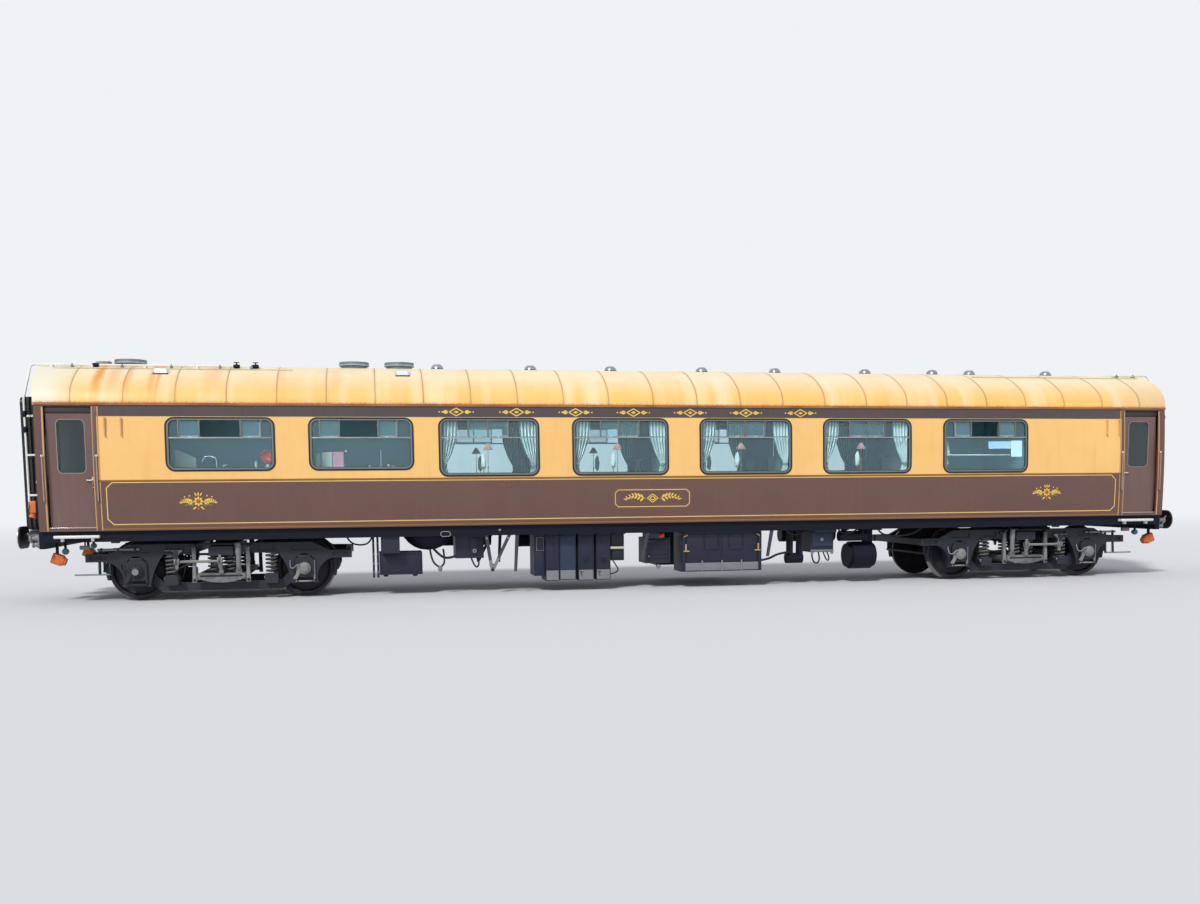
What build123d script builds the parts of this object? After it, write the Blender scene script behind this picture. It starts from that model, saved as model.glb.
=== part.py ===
"""Passenger coach on two four-wheeled bogies.

Frame: +X along the coach, -Y is the side with the kitchen windows, +Z up.
The origin is under the middle of the coach, level with the tips of the wheel flanges.
All sizes are millimetres. The rail head is flange_depth above the origin.
"""
from build123d import *
import os
from math import atan2, degrees, sqrt

os.makedirs("parts", exist_ok=True)

# General clearances
seat_gap = 0.3  # between pieces of one body that rest on each other
bearing_gap = 0.5  # between a turning piece and what it turns in or on
door_gap = 9.0  # round each door leaf

# Running height
flange_depth = 28.6
rail = flange_depth

# Body shell, half widths measured from the middle
half_length = 9700.0
end_bow = 130.0
bottom_half_width = 1355.0
waist_half_width = 1372.0
cantrail_half_width = 1325.0
body_bottom = rail + 1115.0
waist = rail + 1900.0
cantrail = rail + 3050.0
roof_top = rail + 3770.0
shoulder_radius = 420.0
wall = 65.0
roof_wall = 60.0
end_wall = 60.0
floor_thickness = 50.0
floor_top = body_bottom + floor_thickness
roof_rise = roof_top - cantrail
shoulder_middle = cantrail_half_width - shoulder_radius
crown_radius = (shoulder_middle**2 + roof_rise**2 - shoulder_radius**2) / (2 * (roof_rise - shoulder_radius))
past_side = 1500.0  # further out than any side wall, for cuts through it

# Windows
window_half = 803.0
window_corner = 120.0
window_head = rail + 2852.0
saloon_sill = rail + 1940.0
kitchen_sill = rail + 2050.0
# columns: middle, near sill, far sill, vent bars as offsets from the middle
window_table = [
    (-6989.0, kitchen_sill, saloon_sill, (-628.0, -318.0, 306.0, 616.0)),
    (-4824.0, kitchen_sill, saloon_sill, (-650.0, -345.0, 265.0, 569.0)),
    (-2772.0, saloon_sill, saloon_sill, (-344.0, -20.0, 314.0)),
    (-570.0, saloon_sill, saloon_sill, (-345.0, -32.0, 314.0)),
    (1623.0, saloon_sill, saloon_sill, (-332.0, -21.0, 340.0)),
    (3843.0, saloon_sill, saloon_sill, (-339.0, 1.0, 322.0)),
    (6099.0, saloon_sill, saloon_sill, (-612.0, -285.0, 262.0, 568.0)),
]
transom_drop = 300.0  # from the window head down to the middle of the transom
frame_face = 30.0
bar_width = 22.0
frame_proud = 7.0
glass_depth = 14.0
glass_thickness = 8.0

# Entrance doors, their doorways, posts and headers
doorway_inner = 8840.0
doorway_outer = 9560.0
doorway_head = rail + 3030.0
header_height = 100.0
header_face = 1300.0
door_face = 1292.0
door_thickness = 40.0
door_window_half = 200.0
door_window_sill = rail + 2015.0
door_window_head = rail + 2826.0
door_window_corner = 70.0
hinge_radius = 12.5
hinge_length = 110.0
post_width = 42.0
post_inner = 1205.0
post_outer = 1332.0
door_bottom = floor_top + door_gap
door_top = doorway_head - header_height - door_gap
hinge_x = doorway_outer - bearing_gap - hinge_radius
hinge_y = door_face - door_thickness - 5.0
handle_inset = 62.0
handle_length = 110.0

# Gangways
gangway_half = 380.0
gangway_head = rail + 3120.0
bellows_half = 505.0
bellows_top = rail + 3240.0
bellows_bottom = rail + 1120.0
bellows_corner = 110.0
fold_depth = 38.0
gangway_face = 10110.0
gangway_plate = 34.0
plate_inset = 10.0
folds = 7

# Gangway doors
end_door_thickness = 36.0
end_door_setback = 52.0  # from the outside of the end wall to the inner face of the door
end_hinge_radius = 12.0
end_window_width = 380.0
end_window_height = 620.0
end_window_middle = rail + 2480.0
end_window_corner = 60.0

# Underframe
solebar_face = 1292.0
solebar_bottom = rail + 945.0
solebar_flange = 75.0
steel = 14.0
headstock_face = 9745.0
headstock_depth = 90.0
headstock_bottom = rail + 845.0
headstock_half = 1240.0
longitudinal_y = 300.0
longitudinal_width = 90.0
cross_member_x = (0.0, 1640.0, 3280.0, 4900.0, 9200.0)
cross_member_width = 80.0
body_bolster_width = 460.0
hanger_top = solebar_bottom - seat_gap
hanger_reach = solebar_face - 42.0

# Buffers and couplers
buffer_y = 870.0
buffer_height = rail + 1020.0
buffer_face = 10080.0
buffer_head_width = 600.0
buffer_head_height = 345.0
buffer_head_thickness = 32.0
coupler_height = rail + 1000.0
coupler_face = 10190.0
coupler_depth = 210.0

# Bogies
bogie_x = 7085.0
wheelbase_half = 1295.5
wheel_radius = 457.2
wheel_back = 680.0
wheel_width = 135.0
axle_height = rail + wheel_radius
axle_radius = 80.0
hub_radius = 130.0
frame_y = 990.0  # middle of the side frame
frame_thickness = 120.0
frame_top = rail + 885.0
rim_height = 20.0
rim_proud = 18.0
frame_outer = frame_y + frame_thickness / 2
frame_inner = frame_y - frame_thickness / 2
journal_radius = 65.0
box_half = 150.0
bowl_radius = 190.0
bowl_top = rail + 905.0
transom_offset = 470.0
end_member_offset = 1990.0
member_width = 90.0
spring_offset = 770.0
spring_radius = 100.0
spring_seat = rail + 375.0
spring_top = rail + 720.0
bolster_half = 190.0
bolster_under = rail + 690.0
bolster_coil_offset = 130.0
plank_top = rail + 400.0
plank_half = 370.0
plank_reach = 1120.0
link_offset = 415.0
link_width = 60.0
link_thickness = 46.0
link_y = frame_outer + seat_gap + link_thickness / 2
damper_offset = -270.0
damper_radius = 38.0
beam_top = rail + 245.0
beam_bottom = rail + 120.0
shoe_gap = 8.0  # between a brake block and the tread
shoe_thickness = 46.0
shoe_y = wheel_back + 46.0
shoe_width = 82.0
rod_y = frame_outer + 70.0
rod_height = rail + 600.0
rod_radius = 19.0
rod_reach = 690.0

# Sides of the coach and its ends, as signs
sides = (("near", -1), ("far", 1))
ends = (("left", -1), ("right", 1))


def save(piece, label):
    """Labels a finished sub-part and writes its STEP file."""
    piece.part.label = label
    export_step(piece.part, f"parts/{label}.step")


def roof_height(y):
    """Height of the roof over a place across its crown."""
    return roof_top - crown_radius + sqrt(crown_radius**2 - y**2)


def arch(depth):
    """Lines of the roof from the far side over to the near side, drawn in by a depth."""
    lean = degrees(atan2(crown_radius - roof_rise, shoulder_middle))
    far = CenterArc((shoulder_middle, cantrail), shoulder_radius - depth, 0, lean)
    CenterArc((0, roof_top - crown_radius), crown_radius - depth, lean, 180 - 2 * lean)
    near = CenterArc((-shoulder_middle, cantrail), shoulder_radius - depth, 180 - lean, lean)
    return far @ 0, near @ 1


def under_roof(x, depth):
    """Section of the space under the roof, drawn in by a depth."""
    with BuildSketch(Plane.YZ.offset(x)) as section:
        with BuildLine():
            far, near = arch(depth)
            Line(near, far)
        make_face()
    return section.sketch


def wall_band(side, shallow, deep):
    """Section of one side between two depths below its skin."""
    with BuildSketch(Plane.YZ.offset(-half_length)) as band:
        with BuildLine():
            skin = ThreePointArc(
                (side * (bottom_half_width - shallow), body_bottom),
                (side * (waist_half_width - shallow), waist),
                (side * (cantrail_half_width - shallow), cantrail),
            )
            lining = ThreePointArc(
                (side * (bottom_half_width - deep), body_bottom),
                (side * (waist_half_width - deep), waist),
                (side * (cantrail_half_width - deep), cantrail),
            )
            Line(skin @ 0, lining @ 0)
            Line(skin @ 1, lining @ 1)
        make_face()
    return band.sketch


def cabin_section(x, gap):
    """Section of the space inside the walls and the roof, drawn in by a gap."""
    low = bottom_half_width - wall - gap
    middle = waist_half_width - wall - gap
    high = cantrail_half_width - wall - gap
    with BuildSketch(Plane.YZ.offset(x)) as section:
        with BuildLine():
            near = ThreePointArc((-low, body_bottom), (-middle, waist), (-high, cantrail))
            far = ThreePointArc((low, body_bottom), (middle, waist), (high, cantrail))
            Line(near @ 0, far @ 0)
            Line(near @ 1, far @ 1)
        make_face()
        with BuildLine():
            far_foot, near_foot = arch(roof_wall + gap)
            Line(near_foot, far_foot)
        make_face()
    return section.sketch


def body_plan(height, depth):
    """Plan of the coach with its bowed ends, drawn in at the ends by a depth."""
    x = half_length - depth
    y = waist_half_width + 30
    with BuildSketch(Plane.XY.offset(height)) as plan:
        with BuildLine():
            Line((-x, -y), (x, -y))
            ThreePointArc((x, -y), (x + end_bow, 0), (x, y))
            Line((x, y), (-x, y))
            ThreePointArc((-x, y), (-x - end_bow, 0), (-x, -y))
        make_face()
    return plan.sketch


def window_sill(row, side):
    """Sill height of one window of the table, on the near or the far side."""
    return row[1] if side < 0 else row[2]


# Side walls, cut for the windows and the doorways, with the door posts and headers
for name, side in sides:
    with BuildPart() as side_wall:
        extrude(wall_band(side, 0, wall), amount=2 * half_length)
        for end in (-1, 1):
            for x in (doorway_inner - post_width / 2, doorway_outer + post_width / 2):
                with BuildSketch(Plane.XY.offset(floor_top)):
                    with Locations((end * x, side * (post_inner + post_outer) / 2)):
                        Rectangle(post_width, post_outer - post_inner)
                extrude(amount=cantrail - floor_top)
        with BuildSketch(Plane.XZ):
            for row in window_table:
                sill = window_sill(row, side)
                with Locations((row[0], (window_head + sill) / 2)):
                    RectangleRounded(2 * window_half, window_head - sill, window_corner)
            for end in (-1, 1):
                with Locations((end * (doorway_inner + doorway_outer) / 2, (floor_top + doorway_head) / 2)):
                    Rectangle(doorway_outer - doorway_inner, doorway_head - floor_top)
        extrude(amount=-side * past_side, mode=Mode.SUBTRACT)
        for end in (-1, 1):
            with BuildSketch(Plane.XY.offset(doorway_head - header_height)):
                with Locations((end * (doorway_inner + doorway_outer) / 2, side * (post_inner + header_face) / 2)):
                    Rectangle(doorway_outer - doorway_inner, header_face - post_inner)
            extrude(amount=header_height)
    save(side_wall, f"side_wall_{name}")


def window_run(side, edge, shallow, deep, with_bars):
    """One side's window panes or frames, between two depths below the skin of the wall."""
    with BuildPart() as run:
        with BuildSketch(Plane.XZ):
            for row in window_table:
                x = row[0]
                sill = window_sill(row, side)
                height = window_head - sill
                with Locations((x, (window_head + sill) / 2)):
                    RectangleRounded(2 * (window_half - edge), height - 2 * edge, window_corner)
                    if with_bars:
                        RectangleRounded(
                            2 * (window_half - frame_face),
                            height - 2 * frame_face,
                            window_corner - frame_face,
                            mode=Mode.SUBTRACT,
                        )
                if with_bars:
                    with Locations((x, window_head - transom_drop)):
                        Rectangle(2 * window_half - frame_face, bar_width)
                    for bar in row[3]:
                        with Locations((x + bar, window_head - transom_drop / 2)):
                            Rectangle(bar_width, transom_drop - frame_face)
        extrude(amount=-side * past_side)
        extrude(wall_band(side, shallow, deep), amount=2 * half_length, mode=Mode.INTERSECT)
    return run.part


# Window frames with their transoms and vent bars, and the panes behind them
frame_runs = [window_run(side, seat_gap, -frame_proud, glass_depth - seat_gap, True) for name, side in sides]
with BuildPart() as window_frames:
    for run in frame_runs:
        add(run)
save(window_frames, "window_frames")

glass_runs = [window_run(side, seat_gap, glass_depth, glass_depth + glass_thickness, False) for name, side in sides]
with BuildPart() as window_glass:
    for run in glass_runs:
        add(run)
save(window_glass, "window_glass")

# Roof shell, its ends bowed like the end walls
roof_reach = half_length + 2 * end_bow
with BuildPart() as roof:
    extrude(under_roof(-roof_reach, 0), amount=2 * roof_reach)
    extrude(under_roof(-roof_reach, roof_wall), amount=2 * roof_reach, mode=Mode.SUBTRACT)
    extrude(body_plan(cantrail, 0), amount=roof_rise + 1, mode=Mode.INTERSECT)
save(roof, "roof")

# Gutters along both edges of the roof
gutter_height = 34.0
gutter_proud = 24.0
gutter_sheet = 6.0
gutter_base = cantrail + 2.0
with BuildPart() as gutters:
    for name, side in sides:
        face = cantrail_half_width + seat_gap
        with BuildSketch(Plane.YZ.offset(-half_length)):
            with BuildLine():
                Polyline(
                    (side * face, gutter_base),
                    (side * (face + gutter_proud), gutter_base),
                    (side * (face + gutter_proud), gutter_base + gutter_height),
                    (side * (face + gutter_proud - gutter_sheet), gutter_base + gutter_height),
                    (side * (face + gutter_proud - gutter_sheet), gutter_base + gutter_sheet),
                    (side * face, gutter_base + gutter_sheet),
                    close=True,
                )
            make_face()
        extrude(amount=2 * half_length)
save(gutters, "gutters")

# Floor
with BuildPart() as floor:
    extrude(body_plan(body_bottom, end_wall + seat_gap), amount=floor_thickness)
    extrude(cabin_section(-roof_reach, seat_gap), amount=2 * roof_reach, mode=Mode.INTERSECT)
save(floor, "floor")

# End walls, bowed in plan, with the gangway doorway
for name, end in ends:
    with BuildPart() as end_wall_part:
        extrude(body_plan(body_bottom, 0), amount=roof_top - body_bottom)
        extrude(body_plan(body_bottom, end_wall), amount=roof_top - body_bottom, mode=Mode.SUBTRACT)
        start = end * (half_length - end_wall - end_bow)
        extrude(cabin_section(start, seat_gap), amount=end * (end_wall + 3 * end_bow), mode=Mode.INTERSECT)
        with BuildSketch(Plane.YZ):
            with Locations((0, (floor_top + gangway_head) / 2)):
                Rectangle(2 * gangway_half, gangway_head - floor_top)
        extrude(amount=end * roof_reach, mode=Mode.SUBTRACT)
    save(end_wall_part, f"end_wall_{name}")

# Entrance doors: leaf with its hinges and handle, and its glass
leaf_inner = doorway_inner + door_gap
leaf_width = hinge_x - leaf_inner
for end_name, end in ends:
    for side_name, side in sides:
        leaf_middle = end * (leaf_inner + hinge_x) / 2
        with BuildPart() as door_leaf:
            with BuildSketch(Plane.XZ.offset(-side * (door_face - door_thickness))):
                with Locations((leaf_middle, (door_bottom + door_top) / 2)):
                    Rectangle(leaf_width, door_top - door_bottom)
                with Locations((leaf_middle, (door_window_sill + door_window_head) / 2)):
                    RectangleRounded(
                        2 * door_window_half,
                        door_window_head - door_window_sill,
                        door_window_corner,
                        mode=Mode.SUBTRACT,
                    )
            extrude(amount=-side * door_thickness)
            for height in (door_bottom + 2 * hinge_length, waist, door_top - 3 * hinge_length):
                with BuildSketch(Plane.XY.offset(height)):
                    with Locations((end * hinge_x, side * hinge_y)):
                        Circle(hinge_radius)
                extrude(amount=hinge_length)
            with BuildSketch(Plane.XZ.offset(-side * door_face)):
                with Locations((end * (leaf_inner + handle_inset), waist)):
                    Circle(13)
            extrude(amount=-side * 38)
            with BuildSketch(Plane.XZ.offset(-side * (door_face + 24))):
                with Locations((end * (leaf_inner + handle_inset + 42), waist)):
                    Rectangle(handle_length, 20)
            extrude(amount=-side * 14)
        save(door_leaf, f"door_leaf_{end_name}_{side_name}")
        with BuildPart() as door_glass:
            with BuildSketch(Plane.XZ.offset(-side * (door_face - (door_thickness + glass_thickness) / 2))):
                with Locations((leaf_middle, (door_window_sill + door_window_head) / 2)):
                    RectangleRounded(
                        2 * (door_window_half - seat_gap),
                        door_window_head - door_window_sill - 2 * seat_gap,
                        door_window_corner,
                    )
            extrude(amount=-side * glass_thickness)
        save(door_glass, f"door_glass_{end_name}_{side_name}")

# Gangway doors, hinged inside each end wall
end_hinge_y = gangway_half - bearing_gap - end_hinge_radius
end_door_inner = half_length + end_bow - end_door_setback
end_door_low = floor_top + door_gap
end_door_high = gangway_head - door_gap
end_door_middle = (end_hinge_y - gangway_half + door_gap) / 2
end_door_width = end_hinge_y + gangway_half - door_gap
for name, end in ends:
    with BuildPart() as end_door:
        with BuildSketch(Plane.YZ.offset(end * end_door_inner)):
            with Locations((end_door_middle, (end_door_low + end_door_high) / 2)):
                Rectangle(end_door_width, end_door_high - end_door_low)
            with Locations((end_door_middle, end_window_middle)):
                RectangleRounded(end_window_width, end_window_height, end_window_corner, mode=Mode.SUBTRACT)
        extrude(amount=end * end_door_thickness)
        for height in (end_door_low + 2 * hinge_length, waist, end_door_high - 3 * hinge_length):
            with BuildSketch(Plane.XY.offset(height)):
                with Locations((end * end_door_inner, end_hinge_y)):
                    Circle(end_hinge_radius)
            extrude(amount=hinge_length)
    save(end_door, f"end_door_{name}")
    with BuildPart() as end_door_glass:
        glass_plane = end_door_inner + (end_door_thickness - glass_thickness) / 2
        with BuildSketch(Plane.YZ.offset(end * glass_plane)):
            with Locations((end_door_middle, end_window_middle)):
                RectangleRounded(
                    end_window_width - 2 * seat_gap, end_window_height - 2 * seat_gap, end_window_corner
                )
        extrude(amount=end * glass_thickness)
    save(end_door_glass, f"end_door_glass_{name}")

# Gangway bellows with their folds, and the gangway face plates
bellows_start = half_length + end_bow + 4.0
bellows_foot = 40.0  # how far the first fold reaches back to the bowed end wall
fold = (gangway_face - gangway_plate - bellows_start) / folds
with BuildPart() as bellows:
    for name, end in ends:
        for index in range(folds):
            inset = 0 if index % 2 == 0 else fold_depth
            back = bellows_foot if index == 0 else 0
            front = seat_gap if index == folds - 1 else -0.5
            with BuildSketch(Plane.YZ.offset(end * (bellows_start + index * fold - back))):
                with Locations((0, (bellows_bottom + bellows_top) / 2)):
                    RectangleRounded(
                        2 * (bellows_half - inset),
                        bellows_top - bellows_bottom - 2 * inset,
                        bellows_corner - inset,
                    )
                with Locations((0, (floor_top + gangway_head) / 2)):
                    Rectangle(2 * gangway_half, gangway_head - floor_top, mode=Mode.SUBTRACT)
            extrude(amount=end * (back + fold - front))
    extrude(body_plan(bellows_bottom - 1, -seat_gap), amount=bellows_top - bellows_bottom + 2, mode=Mode.SUBTRACT)
save(bellows, "gangway_bellows")

with BuildPart() as gangway_plates:
    for name, end in ends:
        with BuildSketch(Plane.YZ.offset(end * (gangway_face - gangway_plate))):
            with Locations((0, (bellows_bottom + bellows_top) / 2)):
                RectangleRounded(
                    2 * (bellows_half - plate_inset),
                    bellows_top - bellows_bottom - 2 * plate_inset,
                    bellows_corner - plate_inset,
                )
            with Locations((0, (floor_top + gangway_head) / 2)):
                Rectangle(2 * gangway_half, gangway_head - floor_top, mode=Mode.SUBTRACT)
        extrude(amount=end * gangway_plate)
save(gangway_plates, "gangway_plates")

# Underframe: solebars, headstocks, longitudinals, cross members and body bolsters
solebar_depth = body_bottom - seat_gap - solebar_bottom
frame_reach = headstock_face - headstock_depth
with BuildPart() as underframe:
    for name, side in sides:
        with BuildSketch(Plane.YZ.offset(-frame_reach)):
            with BuildLine():
                Polyline(
                    (side * solebar_face, solebar_bottom),
                    (side * solebar_face, solebar_bottom + solebar_depth),
                    (side * (solebar_face - solebar_flange), solebar_bottom + solebar_depth),
                    (side * (solebar_face - solebar_flange), solebar_bottom + solebar_depth - steel),
                    (side * (solebar_face - steel), solebar_bottom + solebar_depth - steel),
                    (side * (solebar_face - steel), solebar_bottom + steel),
                    (side * (solebar_face - solebar_flange), solebar_bottom + steel),
                    (side * (solebar_face - solebar_flange), solebar_bottom),
                    close=True,
                )
            make_face()
        extrude(amount=2 * frame_reach)
        with BuildSketch(Plane.YZ.offset(-frame_reach)):
            with Locations((side * longitudinal_y, solebar_bottom + solebar_depth / 2 + 25)):
                Rectangle(longitudinal_width, solebar_depth - 50)
        extrude(amount=2 * frame_reach)
    for name, end in ends:
        with BuildSketch(Plane.XZ.offset(-headstock_half)):
            x = end * (headstock_face - headstock_depth / 2)
            with Locations((x, (headstock_bottom + body_bottom - seat_gap) / 2)):
                Rectangle(headstock_depth, body_bottom - seat_gap - headstock_bottom)
        extrude(amount=2 * headstock_half)
        with BuildSketch(Plane.XZ.offset(-(solebar_face - steel))):
            with Locations((end * bogie_x, solebar_bottom + solebar_depth / 2 + 15)):
                Rectangle(body_bolster_width, solebar_depth - 30)
        extrude(amount=2 * (solebar_face - steel))
        with BuildSketch(Plane.XY.offset(bowl_top + bearing_gap)):
            with Locations((end * bogie_x, 0)):
                Circle(bowl_radius)
        extrude(amount=solebar_bottom + 40 - bowl_top)
    for x in sorted({sign * x for x in cross_member_x for sign in (-1, 1)}):
        with BuildSketch(Plane.XZ.offset(-(solebar_face - steel))):
            with Locations((x, solebar_bottom + solebar_depth / 2 + 20)):
                Rectangle(cross_member_width, solebar_depth - 40)
        extrude(amount=2 * (solebar_face - steel))
save(underframe, "underframe")

# Buffers with oval heads
buffer_base = headstock_face + seat_gap
with BuildPart() as buffers:
    for name, end in ends:
        for side_name, side in sides:
            middle = (side * buffer_y, buffer_height)
            with BuildSketch(Plane.YZ.offset(end * buffer_base)):
                with Locations(middle):
                    RectangleRounded(300, 180, 30)
            extrude(amount=end * 22)
            with BuildSketch(Plane.YZ.offset(end * buffer_base)):
                with Locations(middle):
                    Circle(90)
            extrude(amount=end * 190)
            with BuildSketch(Plane.YZ.offset(end * buffer_base)):
                with Locations(middle):
                    Circle(62)
            extrude(amount=end * (buffer_face - buffer_head_thickness - buffer_base + 2))
            with BuildSketch(Plane.YZ.offset(end * (buffer_face - buffer_head_thickness))):
                with Locations(middle):
                    SlotOverall(buffer_head_width, buffer_head_height)
            extrude(amount=end * buffer_head_thickness)
save(buffers, "buffers")

# Knuckle couplers
with BuildPart() as couplers:
    for name, end in ends:
        with BuildSketch(Plane.YZ.offset(end * buffer_base)):
            with Locations((0, coupler_height)):
                RectangleRounded(190, 200, 30)
        extrude(amount=end * 60)
        with BuildSketch(Plane.YZ.offset(end * buffer_base)):
            with Locations((0, coupler_height)):
                Rectangle(130, 150)
        extrude(amount=end * 200)
        with BuildSketch(Plane.XY.offset(coupler_height - coupler_depth / 2)):
            with BuildLine():
                guard = Polyline(
                    (end * (buffer_base + 160), 75 * end),
                    (end * (buffer_base + 160), -75 * end),
                    (end * (buffer_base + 250), -150 * end),
                    (end * (coupler_face - 60), -165 * end),
                )
                knuckle = ThreePointArc(
                    guard @ 1, (end * (coupler_face - 4), -130 * end), (end * (coupler_face - 20), -60 * end)
                )
                throat = ThreePointArc(
                    knuckle @ 1, (end * (coupler_face - 115), -10 * end), (end * (coupler_face - 40), 60 * end)
                )
                Polyline(
                    throat @ 1,
                    (end * (coupler_face - 20), 120 * end),
                    (end * (buffer_base + 260), 150 * end),
                    guard @ 0,
                )
            make_face()
        extrude(amount=coupler_depth)
save(couplers, "couplers")

# Drums over the kitchen, ridge vents and low vents on the near slope
drum_radius = 250.0
drum_neck = 220.0
drum_x = (-8510.0, -4918.0, -4161.0)
drum_top = rail + 3868.0
drum_lid = 62.0
vent_x = (-3515.0, -1893.0, -458.0, 1225.0, 2613.0, 4375.0, 5724.0, 6483.0, 8076.0)
vent_radius = 105.0
vent_height = 88.0
low_vent_x = (-7918.0, -4130.0)
low_vent_y = -785.0
low_vent_tip = 178.0  # half the length between the pointed ends of the cowl
low_vent_shoulder = 96.0
low_vent_half = 76.0
low_vent_rise = 52.0
low_vent_taper = 16.0
roof_cut = 80.0  # how deep below the roof a piece that stands on it is drawn before it is cut
with BuildPart() as roof_drums:
    for x in drum_x:
        with BuildSketch(Plane.XY.offset(roof_top - roof_cut)):
            with Locations((x, 0)):
                Circle(drum_neck)
        extrude(amount=drum_top - drum_lid / 2 - roof_top + roof_cut)
        with BuildSketch(Plane.XY.offset(drum_top - drum_lid)):
            with Locations((x, 0)):
                Circle(drum_radius)
        extrude(amount=drum_lid)
    extrude(under_roof(-roof_reach, -seat_gap), amount=2 * roof_reach, mode=Mode.SUBTRACT)
save(roof_drums, "roof_drums")

with BuildPart() as roof_vents:
    for x in vent_x:
        with BuildSketch(Plane.XZ):
            with BuildLine():
                Polyline(
                    (x, roof_top + vent_height),
                    (x + 0.55 * vent_radius, roof_top + vent_height),
                    (x + 0.9 * vent_radius, roof_top + 0.55 * vent_height),
                    (x + vent_radius, roof_top + 0.1 * vent_height),
                    (x + vent_radius, roof_top - 20),
                    (x, roof_top - 20),
                    close=True,
                )
            make_face()
        revolve(axis=Axis((x, 0, 0), (0, 0, 1)))
    for x in low_vent_x:
        with BuildSketch(Plane.XY.offset(roof_height(low_vent_y) - roof_cut)):
            with BuildLine():
                Polyline(
                    (x - low_vent_tip, low_vent_y),
                    (x - low_vent_shoulder, low_vent_y - low_vent_half),
                    (x + low_vent_shoulder, low_vent_y - low_vent_half),
                    (x + low_vent_tip, low_vent_y),
                    (x + low_vent_shoulder, low_vent_y + low_vent_half),
                    (x - low_vent_shoulder, low_vent_y + low_vent_half),
                    close=True,
                )
            make_face()
        extrude(amount=roof_cut + low_vent_rise, taper=low_vent_taper)
    extrude(under_roof(-roof_reach, -seat_gap), amount=2 * roof_reach, mode=Mode.SUBTRACT)
save(roof_vents, "roof_vents")

# Pipes along the roof and down both ends, on their brackets
pipe_radius = 17.0
pipe_y = -500.0
pipe_height = roof_height(pipe_y) + 34.0
pipe_stand = 9915.0
pipe_starts = {"left": 6420.0, "right": 9150.0}
pipe_bends = 70.0
bracket_width = 30.0
end_pipe_y = -1000.0
end_pipe_foot = rail + 1560.0
with BuildPart() as roof_pipes:
    for name, end in ends:
        with BuildLine() as route:
            FilletPolyline(
                (end * pipe_starts[name], pipe_y, pipe_height),
                (end * pipe_stand, pipe_y, pipe_height),
                (end * pipe_stand, end_pipe_y, rail + 3150),
                (end * pipe_stand, end_pipe_y, end_pipe_foot),
                radius=pipe_bends,
            )
        with BuildSketch(Plane(origin=route.line @ 0, z_dir=route.line % 0)):
            Circle(pipe_radius)
        sweep(path=route.line)
        for height in (end_pipe_foot + 120, rail + 2300, rail + 2900):
            with BuildSketch(Plane.YZ.offset(end * (pipe_stand - 1))):
                with Locations((end_pipe_y, height)):
                    Rectangle(bracket_width, bracket_width)
            extrude(amount=-end * (pipe_stand - half_length))
        bracket_x = [x for x in (6600.0, 7400.0, 8200.0, 9000.0, 9600.0) if x > pipe_starts[name] + bracket_width]
        for x in bracket_x:
            with BuildSketch(Plane.XY.offset(pipe_height)):
                with Locations((end * x, pipe_y)):
                    Rectangle(bracket_width, 3 * bracket_width)
            extrude(amount=-2 * pipe_radius - 30)
    extrude(under_roof(-half_length, -seat_gap), amount=2 * half_length, mode=Mode.SUBTRACT)
    extrude(body_plan(end_pipe_foot, -seat_gap), amount=cantrail - end_pipe_foot, mode=Mode.SUBTRACT)
save(roof_pipes, "roof_pipes")

# Step boards under the entrance doors
step_width = 110.0
step_length = 650.0
step_thickness = 44.0
with BuildPart() as step_boards:
    for name, end in ends:
        for side_name, side in sides:
            with BuildSketch(Plane.XY.offset(rail + 1010)):
                x = end * (doorway_inner + doorway_outer - 70) / 2
                with Locations((x, side * (solebar_face + seat_gap + step_width / 2))):
                    Rectangle(step_length, step_width)
            extrude(amount=step_thickness)
save(step_boards, "step_boards")

# Handrails beside the doorways
rail_radius = 11.0
rail_low = rail + 1570.0
rail_high = rail + 2290.0
rail_reach = 1400.0
with BuildPart() as handrails:
    for name, end in ends:
        for side_name, side in sides:
            for x in (doorway_inner - 20, doorway_outer + 40):
                with BuildSketch(Plane.XY.offset(rail_low)):
                    with Locations((end * x, side * rail_reach)):
                        Circle(rail_radius)
                extrude(amount=rail_high - rail_low)
                for height in (rail_low + 30, rail_high - 30):
                    with BuildSketch(Plane.XZ.offset(-side * rail_reach)):
                        with Locations((end * x, height)):
                            Circle(rail_radius)
                    extrude(amount=side * 70)
    for name, side in sides:
        extrude(wall_band(side, -seat_gap, 200), amount=2 * half_length, mode=Mode.SUBTRACT)
save(handrails, "handrails")

# Boxes under the floor. Each hangs from the solebar by a bracket as deep as the gap above the box
# columns: low x, high x, low z and high z above rail, face across, bracket low x and high x, panels
box_table = [
    ("battery_boxes", (-1, 1), [(525, 1970, 255, 930, 1180, 560, 1935, 2)]),
    ("equipment_cabinets", (-1,), [
        (-2020, -1840, 235, 930, 1060, -2000, -1860, 1),
        (-1830, -1600, 150, 930, 1100, -1810, -1620, 1),
        (-1590, -1310, 160, 930, 1090, -1570, -1330, 1),
        (-1270, -1000, 145, 930, 1100, -1250, -1020, 1),
        (-960, -710, 150, 930, 1100, -940, -730, 1),
    ]),
    ("control_boxes", (-1,), [
        (-4590, -3890, 310, 680, 1040, -4560, -4260, 1),
        (-3340, -2870, 560, 930, 1050, -3320, -2890, 1),
        (-680, -460, 470, 930, 1040, -660, -480, 1),
        (-90, 350, 410, 850, 1080, -70, 110, 1),
        (2920, 3350, 540, 900, 1060, 2940, 3330, 1),
    ]),
]
box_depth = 520.0
bracket_overlap = 300.0
panel_margin = 26.0
panel_recess = 7.0
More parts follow.
